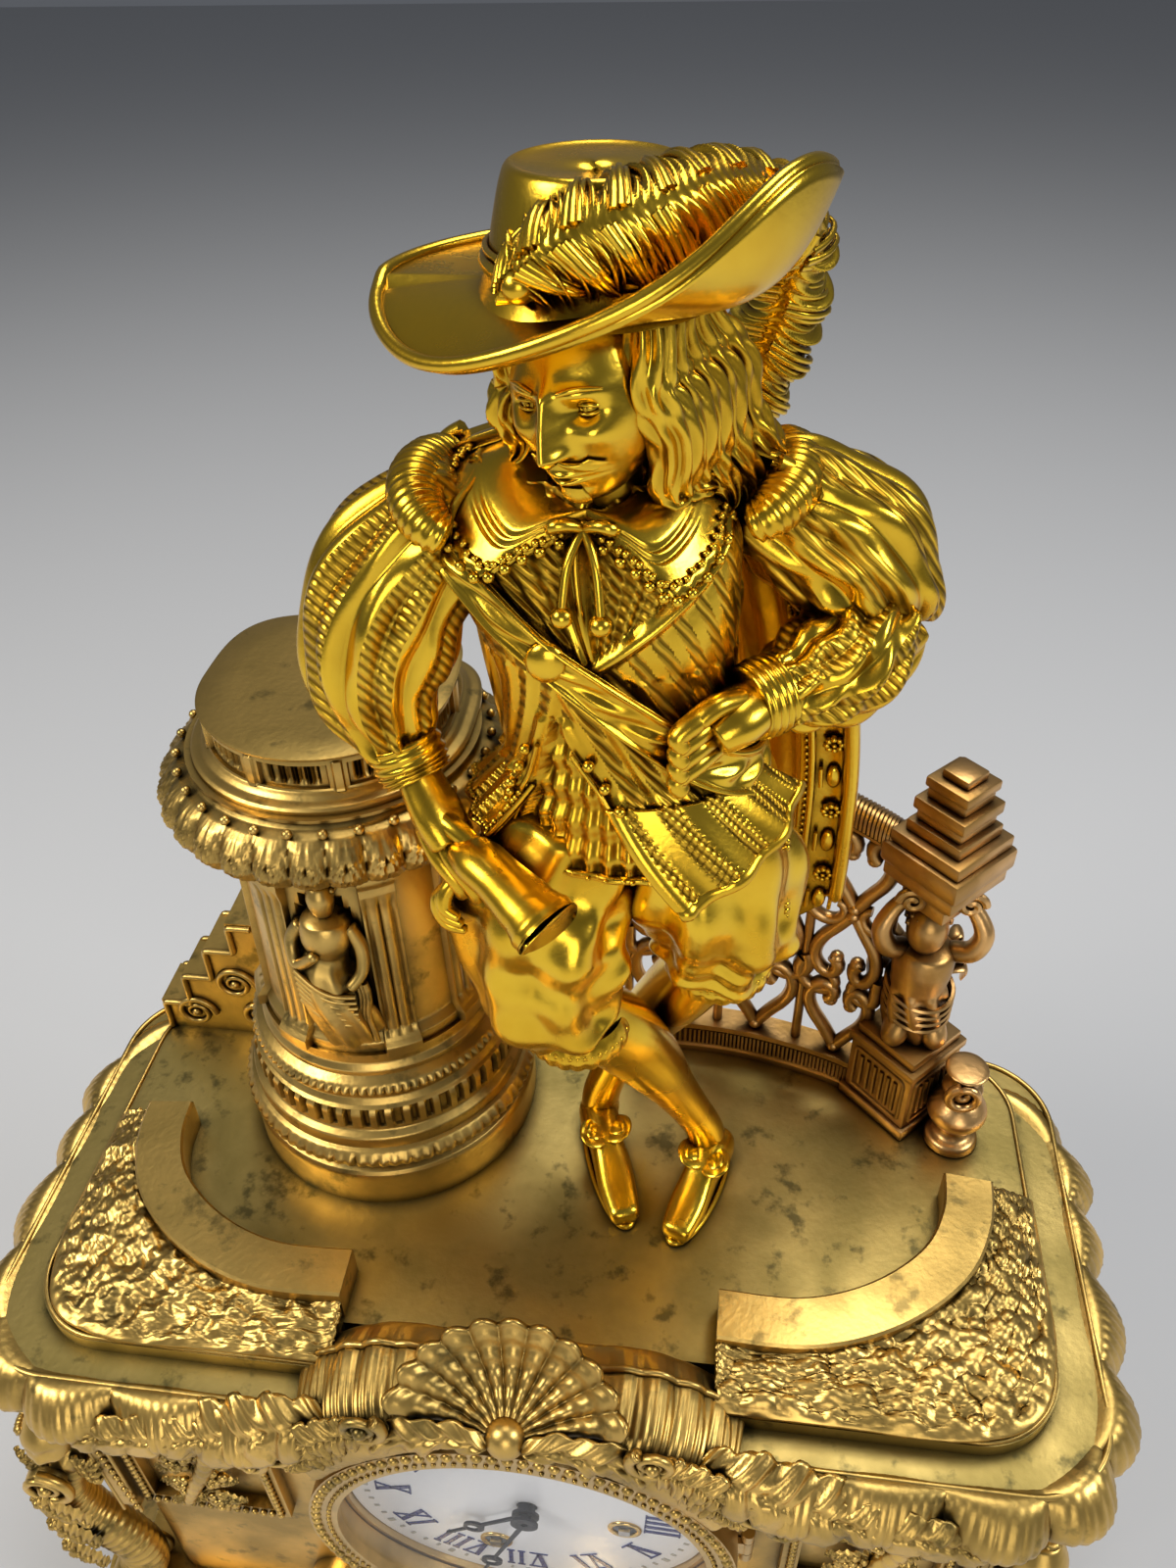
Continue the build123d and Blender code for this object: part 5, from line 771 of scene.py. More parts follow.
def hatched(turn, along):
    """Whether a spot of a skirt panel lies in one of its hatched stripes."""
    return turn > 0.06 and turn * 4.2 % 1 < 0.5 and along < 0.95


def skirt_skin(side):
    """One skirt panel: from the waist, over the hip, to a point by the thigh."""
    def skin(turn, along):
        drop = (0.62 - 0.42 * turn) if side > 0 else (0.42 - 0.1 * turn)
        up = 4.64 - drop * along
        bearing = 2 * pi * open_edge(side, up) + radians((86 if side > 0 else 46) * turn) * side
        flare = 0.03 + 0.24 * along + 0.02 * cos(turn * 6 * pi) * along
        right, away = between(torso_rows, 0.1)[:2]
        border = 0.02 * (bump(turn - 0.03, 0.02) + bump(along - 0.97, 0.02))
        if hatched(turn, along):
            border += 0.009 * sin(2 * pi * (along * 13 + (turn * 4.2 % 1) * 4)) - 0.008
        return stance(right + (0.74 + flare + border - 0.02 * side) * sin(bearing), away - (0.58 + flare + border)
            * cos(bearing), up)
    return skin


studs_bm = bmesh.new()
for side in (-1, 1):
    panel = skirt_skin(side)
    form(skirt_bm, panel, 110, 80, wrap=False, paint=hatched)
    beads(studs_bm, [panel(0.1, 0.04 + 0.05 * k) for k in range(19)], 0.0008, 1)
    beads(studs_bm, [panel(0.06 + 0.045 * k, 0.92) for k in range(21)], 0.0008, 1)
cast("doublet_skirts", skirt_bm, burnished, wall=0.0012).data.materials.append(chased)
cast("skirt_studs", studs_bm, burnished)

# The legs are crossed at the shin, in fitted stockings. Spur leathers of butterfly shape lie over
# the insteps, and the shoes are square at the toe and have low heels.
legs_bm = bmesh.new()
for path in ([(-0.43, -0.24, 2.75, 0.29), (-0.3, -0.15, 2.5, 0.27), (-0.08, 0.0, 2.1, 0.29), (0.13, 0.14, 1.65, 0.25),
        (0.3, 0.26, 1.2, 0.19), (0.46, 0.35, 0.8, 0.16), (0.58, 0.42, 0.45, 0.16), (0.6, 0.42, 0.14, 0.17)],
        [(0.6, 0.27, 2.75, 0.29), (0.5, 0.37, 2.5, 0.26), (0.35, 0.52, 2.1, 0.27), (0.12, 0.66, 1.6, 0.24),
        (-0.08, 0.71, 1.2, 0.185), (-0.22, 0.71, 0.8, 0.16), (-0.32, 0.7, 0.45, 0.16), (-0.33, 0.7, 0.14, 0.17)]):
    limb(legs_bm, path, lambda turn, share: 0.012 * bump(share - 0.06, 0.03), 48, 80)
cast("stockings", legs_bm, burnished, replaced=["crossed_legs"])

shoes_bm = bmesh.new()


def shoe(heel, toe):
    """A shoe from its heel to its square toe, given on the floor in head units."""
    heel, toe = Vector(heel), Vector(toe)
    ahead = (toe - heel).normalized()
    side = Vector((ahead.y, -ahead.x))
    span = (toe - heel).length

    def skin(turn, along):
        widths = [(0.11,), (0.16,), (0.165,), (0.145,), (0.15,), (0.155,), (0.14,), (0.115,)]
        heights = [(0.3,), (0.36,), (0.4,), (0.36,), (0.28,), (0.22,), (0.18,), (0.15,)]
        close = sqrt(max(0, 1 - (1 - min(along / 0.1, (1 - along) / 0.06, 1)) ** 2))
        width, height = between(widths, along)[0] * close, between(heights, along)[0] * close
        bearing = 2 * pi * turn
        blunt = abs(cos(bearing)) ** 0.7 * (1 if cos(bearing) > 0 else -1)
        across = width * blunt
        up = 0.02 + height * 0.5 * (1 + abs(sin(bearing)) ** 0.8 * (1 if sin(bearing) > 0 else -1))
        spot = heel + ahead * span * along + side * across
        return stance(spot.x, spot.y, up)
    form(shoes_bm, skin, 48, 48)
    sole = []
    for k in range(33):
        bearing = 2 * pi * k / 32
        spot = heel + ahead * span * (0.5 - 0.5 * cos(bearing)) + side * 0.16 * sin(bearing)
        sole.append((stance(spot.x, spot.y, 0.03), 0.0008))
    wires(shoes_bm, [sole])
    middle = heel + ahead * span * 0.42
    for wing in (-1, 1):
        spot = middle + side * 0.1 * wing
        for scale, rise in ((0.85, -0.02), (0.5, 0.0)):
            bmesh.ops.create_uvsphere(shoes_bm, u_segments=24, v_segments=12, radius=1,
                matrix=(Matrix.Translation(stance(spot.x, spot.y, 0.385 + rise)) @ Matrix.Rotation(wing * 0.35, 4,
                "Y") @ Matrix.Diagonal((0.0046 * scale, 0.0052 * scale, 0.0008, 1))))


shoe((0.74, 0.62), (0.38, -0.4))
shoe((-0.42, 0.85), (0.0, -0.3))
cast("shoes_and_spur_leathers", shoes_bm, burnished)

# The cloak hangs from both shoulders behind him in deep folds. Its front edges carry a broad band:
# rosettes and ribbed ovals in turn, between a roped line and a smooth rounded edge.
cloak_rows = [(0.17, 0.9, 2.42, 0.98, 0.5), (0.15, 0.84, 3.2, 1.0, 0.53), (0.12, 0.75, 4.0, 1.0, 0.55),
    (0.04, 0.6, 4.8, 0.98, 0.55), (-0.05, 0.45, 5.5, 0.92, 0.54), (-0.2, 0.3, 6.25, 0.86, 0.42),
    (-0.22, 0.24, 6.5, 0.5, 0.3)]


def cloak_skin(across, along, lift=0.0):
    """The cloak's outer side, from its left front edge round his back to its right front edge."""
    right, away, up, width, depth = between(cloak_rows, along)
    bearing = radians(70 + 220 * across)
    hang = (1 - along) ** 0.6
    calm = 1 - bump(across, 0.1) - bump(across - 1, 0.1)
    fold = 0.075 * hang * calm * sin(across * 2 * pi * 6.5 + 1.2 * sin(3 * along)) + 0.02 * hang * calm * sin(across
        * 80 + 4 * along)
    round_hem = 0.35 * (bump(across, 0.07) + bump(across - 1, 0.07)) * max(0, 0.1 - along) / 0.1
    spread = 1 if across > 0.5 else -1
    turned = max(0.0, abs(across - 0.5) - 0.36) / 0.14
    if turned > 0:
        hold_bearing = radians(180 + spread * 79.2)
        spot = Vector((right - (width + fold) * sin(hold_bearing), away - (depth + fold) * cos(hold_bearing),
            up + round_hem))
        if spread < 0:
            return stance(*(spot + Vector((-0.1 * turned - lift, 0.24 * turned, 0))))
        return stance(*(spot + Vector((0.3 * turned, -0.05 * turned - lift, 0))))
    return stance(right - (width + fold + lift) * sin(bearing), away - (depth + fold + lift) * cos(bearing),
        up + round_hem)


cloak_bm = bmesh.new()
form(cloak_bm, cloak_skin, 200, 90, wrap=False)
cast("cloak_folds", cloak_bm, burnished, replaced=["cloak"], wall=0.0018)
border_bm = bmesh.new()
border_wires, border_beads = [], []
for side in (0, 1):
    def edge(inset, along, lift=0.02, side=side):
        return cloak_skin(abs(side - inset), along, lift)
    for inset, radius in ((0.0, 0.0017), (0.018, 0.0006), (0.112, 0.0009)):
        border_wires.append([(edge(inset, 0.02 + k / 50 * 0.9), radius) for k in range(51)])
    border_beads += [edge(0.125, 0.02 + k / 70 * 0.9, 0.03) for k in range(71)]
    for unit in range(13):
        along = 0.06 + unit * 0.066
        spot = edge(0.063, along)
        out = (edge(0.063, along, 0.2) - spot).normalized()
        rise = (edge(0.063, along + 0.01) - spot).normalized()
        wide = rise.cross(out)
        if unit % 2:
            beads(border_bm, [spot + 0.0015 * (cos(turn) * wide + sin(turn) * rise) + out * 0.0005
                for turn in [pi * petal / 4 for petal in range(8)]], 0.00085, 1)
            border_beads.append(spot + out * 0.0009)
        else:
            bmesh.ops.create_uvsphere(border_bm, u_segments=16, v_segments=10, radius=1,
                matrix=(Matrix.Translation(spot) @ Matrix((wide, rise, out)).transposed().to_4x4()
                @ Matrix.Diagonal((0.0016, 0.0032, 0.0012, 1))))
            border_wires += [[(spot + curl * 0.0026 * wide + t * 0.0009 * rise + 0.0004 * out, 0.0005)
                for t in (-3, -1, 1, 3)] for curl in (-1, 1)]
wires(border_bm, border_wires, steps=2)
beads(border_bm, border_beads, 0.0006, 1)
cast("cloak_border", border_bm, burnished)

# The pedestal: a half-round column, flat behind, in four castings. Its foot has a plain drum, a ring of
# gadroons, a row of dentils and one of beads.
COLUMN_X, COLUMN_Y, COLUMN_BACK = -0.0464, 0.0335, 0.0599


def straight(rows, spot):
    """The value at a place between two rows of a table, joined by straight lines."""
    start = min(int(spot), len(rows) - 2)
    return [a + (b - a) * (spot - start) for a, b in zip(rows[start], rows[start + 1])]


def drum(bm, rows, low, high, full, detail, turns=288, each=5):
    """A round casting on the pedestal's axis, flat behind, from rows of radius and height shares."""
    last = len(rows) - 1

    def skin(turn, share):
        radius, height = straight(rows, share * last)
        reach = full * radius
        if reach > 0.3 * full:
            reach += detail(turn, height)
        bearing = 2 * pi * turn
        return Vector((COLUMN_X + reach * sin(bearing), min(COLUMN_Y - reach * cos(bearing), COLUMN_BACK),
            low + (high - low) * height))
    form(bm, skin, turns, last * each)


def foot_detail(turn, height):
    """Gadroons low on the foot, dentils over them and beads at its neck."""
    if 0.3 < height < 0.42:
        return 0.0011 * abs(sin(pi * turn * 84)) ** 0.6 * sin(pi * (height - 0.3) / 0.12)
    if 0.56 < height < 0.69:
        return 0.0007 * (1 if (turn * 54) % 1 < 0.62 else -1)
    if 0.76 < height < 0.84:
        return 0.001 * abs(sin(pi * turn * 96)) * sin(pi * (height - 0.76) / 0.08)
    return 0


foot_bm = bmesh.new()
drum(foot_bm, [(0, 0), (1, 0), (1, .02), (1, .24), (.985, .262), (.955, .275), (.975, .3), (.992, .34), (.992, .37),
    (.972, .42), (.947, .43), (.945, .5), (.9, .53), (.893, .56), (.893, .69), (.87, .705), (.845, .74), (.85, .76),
    (.862, .8), (.85, .84), (.8, .87), (.8, .9), (.773, .936), (.773, 1), (0, 1)], TERRACE, 0.217, 0.0374,
    foot_detail)
cast("pedestal_foot", foot_bm, matt_gold, replaced=["pedestal_base"], crease=50)

# The pedestal's shaft has pilasters with three flutes each. In front, between two of them, a niche is
# sunk into it, with a draped standing woman.
shaft_rows = [(0, 0), (.747, 0), (.747, .053), (.72, .075), (.707, .088), (.7, .2), (.693, .5), (.682, .85),
    (.68, .895), (.7, .91), (.72, .93), (.72, 1), (0, 1)]


def shaft_detail(turn, height):
    """Raised pilasters with three flutes each, and the sunk niche between the front two."""
    signed = (turn if turn < 0.5 else turn - 1) * 360
    rise = 0.0
    for middle in (-66, -27, 27, 66):
        if abs(signed - middle) < 8.5:
            rise = 0.0014
            if 0.1 < height < 0.84:
                rise -= 0.0008 * max(0, cos((signed - middle) * pi / 2.8)) ** 2
            else:
                rise += 0.0008
    if abs(signed) < 17.5 and 0.1 < height < 0.88 - 0.0008 * signed ** 2:
        rise = -0.003 * (1 - (abs(signed) / 17.5) ** 4)
    return rise


shaft_bm = bmesh.new()
drum(shaft_bm, shaft_rows, 0.217, 0.274, 0.0375, shaft_detail, turns=360, each=6)
cast("pedestal_column", shaft_bm, matt_gold, replaced=["pedestal_shaft"], crease=50)


def rounded(bm, path, across=24, along=40, fold=None, flat=1.0, toward=(0, -1, 0)):
    """A rounded form round a path of (x, y, z, radius), all in metres, closed at its ends."""
    limb(bm, path, fold, across, along, flat, toward, cap=0.06, place=lambda *spot: Vector(spot))


niche_bm = bmesh.new()
nx, ny = COLUMN_X, 0.0075
rounded(niche_bm, [(nx + 0.0022, ny + 0.001, 0.2232, 0.0062), (nx + 0.0016, ny - 0.0004, 0.229, 0.0066),
    (nx - 0.0006, ny - 0.0012, 0.2375, 0.0064), (nx - 0.0018, ny - 0.0004, 0.2445, 0.0058),
    (nx - 0.0006, ny + 0.0004, 0.2495, 0.0042), (nx + 0.0002, ny - 0.0002, 0.2545, 0.0052),
    (nx + 0.0002, ny + 0.0008, 0.2588, 0.0048), (nx + 0.0004, ny + 0.001, 0.2612, 0.0018)], 72, 90,
    lambda turn, share: 0.0006 * sin(turn * 18 * pi + 7 * share) * max(0, 1 - share / 0.62), flat=1.1)
rounded(niche_bm, [(nx + 0.0004, ny + 0.0008, 0.26, 0.0016), (nx + 0.0006, ny - 0.0004, 0.2632, 0.0026),
    (nx + 0.0007, ny - 0.0006, 0.2662, 0.003), (nx + 0.0006, ny, 0.269, 0.0022)], 28, 24)
rounded(niche_bm, [(nx - 0.0048, ny, 0.2578, 0.0018), (nx - 0.0078, ny - 0.0004, 0.2525, 0.0017),
    (nx - 0.0062, ny - 0.0036, 0.2482, 0.0015), (nx - 0.0006, ny - 0.0056, 0.2535, 0.0013)], 16, 24)
rounded(niche_bm, [(nx + 0.0052, ny, 0.2578, 0.0018), (nx + 0.0076, ny - 0.0008, 0.252, 0.0016),
    (nx + 0.0076, ny - 0.0026, 0.2462, 0.0014), (nx + 0.0048, ny - 0.0048, 0.2425, 0.0013)], 16, 24)
sash = []
for k in range(6):
    sash.append([(Vector((nx - 0.0066 + 0.0125 * s / 8, ny - 0.0052 - 0.0014 * sin(pi * s / 8), 0.2478 - 0.0018 * k
        - 0.0009 * s - 0.0016 * sin(pi * s / 8))), 0.0007) for s in range(9)])
for k in range(3):
    sash.append([(Vector((nx + 0.0062 + 0.0009 * k + 0.0005 * sin(s), ny - 0.0036, 0.2436 - 0.0024 * s)), 0.0008)
        for s in range(9)])
wires(niche_bm, sash)
beads(niche_bm, [(nx + 0.0006 + 0.0029 * cos(a), ny + 0.0008 - 0.0022 * sin(a), 0.2678)
    for a in [pi * t / 7 for t in range(8)]], 0.0009, 1)
cast("niche_figure", niche_bm, matt_gold)

# The capital is a collar of broad acanthus leaves with beads between their tips, and the block over
# it has sunk panels with fine flutes round its half-round front, under a smooth flat top.


def leaf_detail(turn, height):
    """Acanthus leaves that swell outward, each with a midrib and slanting veins."""
    part = (turn * 30) % 1 - 0.5
    swell = sin(pi * min(max((height - 0.12) / 0.75, 0), 1))
    leaf = 0.0022 * (1 - (2 * abs(part)) ** 2.2) * swell
    veins = 0.00035 * sin(abs(part) * 60 - height * 26) * swell
    return leaf + veins - 0.0006 * bump(part, 0.05) * swell


capital_bm = bmesh.new()
drum(capital_bm, [(0, 0), (.693, 0), (.74, .05), (.827, .118), (.9, .17), (.965, .235), (.985, .41), (.965, .6),
    (.93, .76), (.895, .83), (.84, .87), (.82, .92), (.84, .95), (.84, 1), (0, 1)], 0.274, 0.291, 0.0374, leaf_detail,
    turns=480, each=5)
beads(capital_bm, [(COLUMN_X + 0.0335 * sin(2 * pi * k / 30), COLUMN_Y - 0.0335 * cos(2 * pi * k / 30), 0.2893)
    for k in range(30) if COLUMN_Y - 0.0335 * cos(2 * pi * k / 30) < COLUMN_BACK - 0.002], 0.0011, 2)
cast("acanthus_capital", capital_bm, matt_gold, replaced=["pedestal_capital"], crease=60)


def panel_detail(turn, height):
    """Sunk panels with upright flutes, between plain stiles."""
    part = (turn * 9 + 0.5) % 1
    if 0.3 < height < 0.8 and 0.12 < part < 0.88:
        inner = 0.38 < height < 0.72 and 0.17 < part < 0.83
        return -0.0008 - (0.0005 + 0.0005 * sin(part * 130) if inner else 0)
    if part < 0.06 or part > 0.94:
        return 0.0005 if 0.25 < height < 0.86 else 0
    return 0


block_bm = bmesh.new()
drum(block_bm, [(0, 0), (.8, 0), (.8, .08), (.785, .12), (.74, .16), (.72, .22), (.7, .26), (.694, .3), (.694, .31),
    (.694, .5), (.694, .79), (.694, .8), (.694, .9), (.71, .93), (.715, .98), (.7, 1), (0, 1)], 0.291, 0.3025, 0.0374,
    panel_detail, turns=432, each=4)
for vertex in block_bm.verts:
    across, back = abs(vertex.co.x - COLUMN_X), vertex.co.y - COLUMN_Y
    if back > 0 and across > 0:
        square = hypot(across, back) / (across ** 3.5 + back ** 3.5) ** (1 / 3.5)
        vertex.co.x = COLUMN_X + (vertex.co.x - COLUMN_X) * square
        vertex.co.y = COLUMN_Y + back * square
cast("pedestal_top", block_bm, matt_gold, replaced=["pedestal_block"], crease=50)

# The stair scroll at the pedestal's left: a stepped cheek of cast metal. The CAD's steps carry a
# moulding along their corners and three volutes on each face.
stair_bm = bmesh.new()
stair_steps = [(-0.1175, 0.171), (-0.1175, 0.1812), (-0.1095, 0.1812), (-0.1095, 0.1925), (-0.101, 0.1925),
    (-0.101, 0.2035), (-0.0925, 0.2035), (-0.0925, 0.2132), (-0.0845, 0.2132)]


def cornered(places, radius):
    """A line for a wire that keeps its corners."""
    return [(a.lerp(b, t / 5), radius) for a, b in zip(places, places[1:]) for t in range(5)]


def spiral(middle, radius, start, wind, count=46, fade=54, thick=0.0013, thin=(1.1, 70), side=1, front=True):
    """A flat scroll that winds in to its eye, in the plane of the front or of a side of the clock."""
    line = []
    for t in range(count):
        reach, turn = radius * (1 - t / fade), start + wind * t
        across = side * reach * cos(turn)
        line.append((Vector(middle) + Vector((across, 0, reach * sin(turn)) if front
            else (0, across, reach * sin(turn))), thick * (thin[0] - t / thin[1])))
    return line


for y, out in ((0.0457, -1), (0.0603, 1)):
    wires(stair_bm, [cornered([Vector((x + 0.0006, y, z - 0.0006)) for x, z in stair_steps], 0.0009)])
    for cx, cz, radius in ((-0.108, 0.1775, 0.0058), (-0.094, 0.1905, 0.0058), (-0.0895, 0.178, 0.0048)):
        wires(stair_bm, [spiral((cx, y + out * 0.0001, cz), radius, 0, 0.32, 40, 46, 0.0009, (1.15, 60))])
        beads(stair_bm, [(cx, y, cz)], 0.0014)
cast("stair_mouldings", stair_bm, matt_gold)

# The balustrade: a curved railing of hearts and scrolls between a fluted base rail and a ribbed
# top rail that slopes down to the newel.
rail_plan = [(0.0145, 0.0565), (0.0335, 0.0567), (0.0495, 0.0551), (0.0655, 0.0512), (0.0785, 0.0462)]


def on_rail(share):
    """A place along the railing's plan, and the way out of its front."""
    x, y = between(rail_plan, share)
    ax, ay = between(rail_plan, max(share - 0.02, 0))
    bx, by = between(rail_plan, min(share + 0.02, 1))
    ahead = Vector((bx - ax, by - ay, 0)).normalized()
    return Vector((x, y, 0)), Vector((ahead.y, -ahead.x, 0)), ahead


def rail_skin(section, low):
    """A rail of one section, (out, up) in metres; low gives the height of its underside."""
    def skin(turn, share):
        place, out, _ = on_rail(share)
        reach, up = straight(section + section[:1], turn * len(section))
        return place + out * reach + Vector((0, 0, low(share) + up))
    return skin


def rail_top(share):
    """The underside of the sloping top rail."""
    return 0.2705 - 0.0155 * share ** 1.3


rails_bm = bmesh.new()
form(rails_bm, rail_skin([(-.0036, 0), (.0036, 0), (.0036, .002), (.0022, .0028), (.0022, .0084), (.0036, .0092),
    (.0036, .011), (-.0036, .011)], lambda share: TERRACE), 32, 60)
top_rail = rail_skin([(-.003, 0), (.003, 0), (.0034, .0012), (.0024, .002), (.0034, .0034), (.003, .0056),
    (.0012, .0068), (-.0012, .0068), (-.003, .0056), (-.0034, .0034)], rail_top)
form(rails_bm, top_rail, 40, 80)
ribs = []
for k in range(56):
    place, out, _ = on_rail(0.02 + 0.96 * k / 55)
    ribs.append([(place + out * 0.0026 + Vector((0, 0, 0.1727 + t * 0.0018)), 0.00052) for t in range(4)])
for k in range(64):
    share = 0.015 + 0.97 * k / 63
    place, out, _ = on_rail(share)
    ribs.append([(place + out * reach + Vector((0, 0, rail_top(share) + up)), 0.0006) for reach,
        up in ((0.0032, 0.0018), (0.0035, 0.0036), (0.0029, 0.0056), (0.0012, 0.0066), (-0.0012, 0.0066),
        (-0.0029, 0.0054))])
wires(rails_bm, ribs, sides=1, steps=2)
cast("balustrade_rails", rails_bm, copper_gold, crease=40)

heart_bm = bmesh.new()
strokes, knots = [], []


def rail_spot(share, up, out=0.0):
    """A place in the railing's curved plane."""
    place, way, _ = on_rail(share)
    return place + way * out + Vector((0, 0, up))


def curl(middle, up, size, start, sweep, side):
    """A scroll that winds in to an eye: shares along the rail and metres of height."""
    line = []
    for k in range(22):
        turn = start + side * sweep * k / 21
        reach = size * (1 - 0.8 * k / 21)
        line.append((rail_spot(middle + reach * cos(turn) / 0.068, up + reach * sin(turn)),
            0.002 * (1 - 0.3 * k / 21)))
    return line


for column in range(3):
    middle = 1 / 6 + column / 3
    room = rail_top(middle) - 0.181
    for level_share, flip in ((0.17, 1), (0.5, -1), (0.83, 1)):
        up = 0.181 + room * level_share
        tall = room * 0.15
        for side in (-1, 1):
            strokes.append([(rail_spot(middle + side * w / 0.051, up + flip * tall * h), 0.0019) for w,
                h in ((0, -1.05), (0.0022, -0.6), (0.0058, -0.1), (0.0072, 0.45), (0.0052, 0.9), (0.0022, 0.95),
                (0.0012, 0.55), (0.003, 0.4))])
            knots.append(rail_spot(middle + side * 0.0028 / 0.068, up + flip * tall * 0.42))
        knots.append(rail_spot(middle, up - flip * tall, 0.0006))
    for level_share in (0.335, 0.665):
        up = 0.181 + room * level_share
        for side in (-1, 1):
            strokes.append(curl(middle + side * 0.08, up, 0.0078, pi / 2 - side * 0.9, 4.8, -side))
    strokes.append([(rail_spot(middle - 1 / 6, 0.1805), 0.0013), (rail_spot(middle - 0.163, 0.181 + room * 0.5),
        0.0013), (rail_spot(middle - 1 / 6, rail_top(middle) + 0.0005), 0.0013)])
wires(heart_bm, strokes, steps=3)
beads(heart_bm, knots, 0.0019, 2)
cast("balustrade_hearts", heart_bm, copper_gold, replaced=["balustrade"])

# The newel: a block turned on its corner with fluted panels, a child who bears the capital on raised
# arms, and a finial of steps. Below it stands a small vase baluster with a volute.
NEWEL = Vector((0.088, 0.044, 0))
newel_bm = bmesh.new()


def turned_block(bm, low, high, half, edge=0.0006):
    """A square block round the newel's axis, turned 45 degrees, with softened edges."""
    made = bmesh.ops.create_cube(bm, size=1, matrix=(Matrix.Translation(NEWEL + Vector((0, 0, (low + high) / 2)))
        @ Matrix.Rotation(pi / 4, 4, "Z") @ Matrix.Diagonal((2 * half, 2 * half, high - low, 1))))["verts"]
    bmesh.ops.bevel(bm, geom=list({edge for vertex in made for edge in vertex.link_edges}), offset=edge,
        affect="EDGES", segments=2, profile=0.5, material=-1)


for block in ((TERRACE, 0.1735, 0.0109), (0.1735, 0.1925, 0.0098, 0.0004), (0.1925, 0.1952, 0.0106),
        (0.1952, 0.198, 0.0092)):
    turned_block(newel_bm, *block)
lines = []
for turn in (pi / 4, 3 * pi / 4, 5 * pi / 4, 7 * pi / 4):
    along = Vector((-sin(turn), cos(turn), 0))
    panel = NEWEL + 0.0098 * Vector((cos(turn), sin(turn), 0))
    corners = [panel + along * across + Vector((0, 0, up)) for across, up in ((-0.0078, 0.1757), (0.0078, 0.1757),
        (0.0078, 0.1905), (-0.0078, 0.1905), (-0.0078, 0.1757))]
    lines.append(cornered(corners, 0.0006) + [(corners[0], 0.0006)])
    lines += [[(panel + along * (-0.0055 + 0.0022 * k) + Vector((0, 0, up)), 0.0007) for up in (0.1778, 0.182, 0.186,
        0.1886)] for k in range(6)]
wires(newel_bm, lines)
px, py = NEWEL.x, NEWEL.y
rounded(newel_bm, [(px, py, 0.1975, 0.0062), (px, py, 0.2035, 0.0076), (px - 0.0005, py - 0.0006, 0.2105, 0.0078),
    (px - 0.0008, py - 0.001, 0.2165, 0.0068), (px - 0.0005, py - 0.0006, 0.2225, 0.0073), (px, py, 0.2275, 0.0066),
    (px, py, 0.23, 0.003)], 56, 60, lambda turn, share: 0.0006 * sin(turn * 16 * pi + 9 * share)
    * (1 if share < 0.5 else 0.0))
rounded(newel_bm, [(px - 0.001, py - 0.001, 0.229, 0.003), (px - 0.0015, py - 0.0022, 0.2335, 0.0046),
    (px - 0.0015, py - 0.0024, 0.2375, 0.0048), (px - 0.001, py - 0.001, 0.2415, 0.0032)], 32, 24)
beads(newel_bm, [(px - 0.0014 + 0.0046 * cos(a) * cos(b), py - 0.0012 + 0.0046 * sin(a) * cos(b), 0.2372 + 0.0042
    * sin(b)) for a in [2 * pi * t / 11 for t in range(11)] for b in (0.1, 0.6, 1.1)
    if not (sin(a) < -0.35 and b < 0.5)], 0.0013, 1)
for side in (-1, 1):
    rounded(newel_bm, [(px + side * 0.005, py, 0.2268, 0.0026), (px + side * 0.0098, py - 0.002, 0.2288, 0.0027),
        (px + side * 0.0118, py - 0.0018, 0.2345, 0.0024), (px + side * 0.0088, py, 0.2405, 0.002),
        (px + side * 0.005, py, 0.2435, 0.0018)], 20, 30)
    rounded(newel_bm, [(px + side * 0.003, py - 0.002, 0.2055, 0.0038), (px + side * 0.0048, py - 0.0052, 0.2015,
        0.0034), (px + side * 0.005, py - 0.0045, 0.1985, 0.0024)], 20, 20)
    for lag in range(4):
        rounded(newel_bm, [(px + side * 0.003, py + 0.003, 0.224 - 0.003 * lag, 0.0012),
            (px + side * (0.008 + 0.001 * lag), py + 0.0062, 0.227 - 0.004 * lag, 0.0022),
            (px + side * (0.0098 + 0.0006 * lag), py + 0.008, 0.2205 - 0.004 * lag, 0.0008)], 12, 16, flat=0.4)
sash = [[(Vector((px + 0.0082 * cos(a), py - 0.0082 * sin(a), 0.2145 - 0.0024 * k - 0.0018 * sin(a + 0.6))), 0.0007)
    for a in [2 * pi * t / 24 for t in range(25)]] for k in range(4)]
wires(newel_bm, sash, sides=1)
turned_block(newel_bm, 0.2425, 0.2475, 0.0062)
turned_block(newel_bm, 0.2475, 0.2505, 0.0074)
for side in (-1, 1):
    for back in (-1, 1):
        wires(newel_bm,
            [[(Vector((px + side * (0.0066 + 0.0032 * (1 - t / 30) * cos(0.36 * t)), py + back * 0.0045, 0.2462
            + 0.0034 * (1 - t / 30) * sin(0.36 * t))), 0.0011) for t in range(26)]])
for block in ((0.2505, 0.2545, 0.0098), (0.2545, 0.2605, 0.0108, 0.0012), (0.2605, 0.264, 0.0096),
        (0.264, 0.2672, 0.0075), (0.2672, 0.2702, 0.0062), (0.2702, 0.2735, 0.007), (0.2735, 0.2765, 0.0052),
        (0.2765, 0.2792, 0.0058), (0.2792, 0.2815, 0.0036)):
    turned_block(newel_bm, *block)
cast("newel_and_child", newel_bm, copper_gold, replaced=["newel_post"], crease=40)

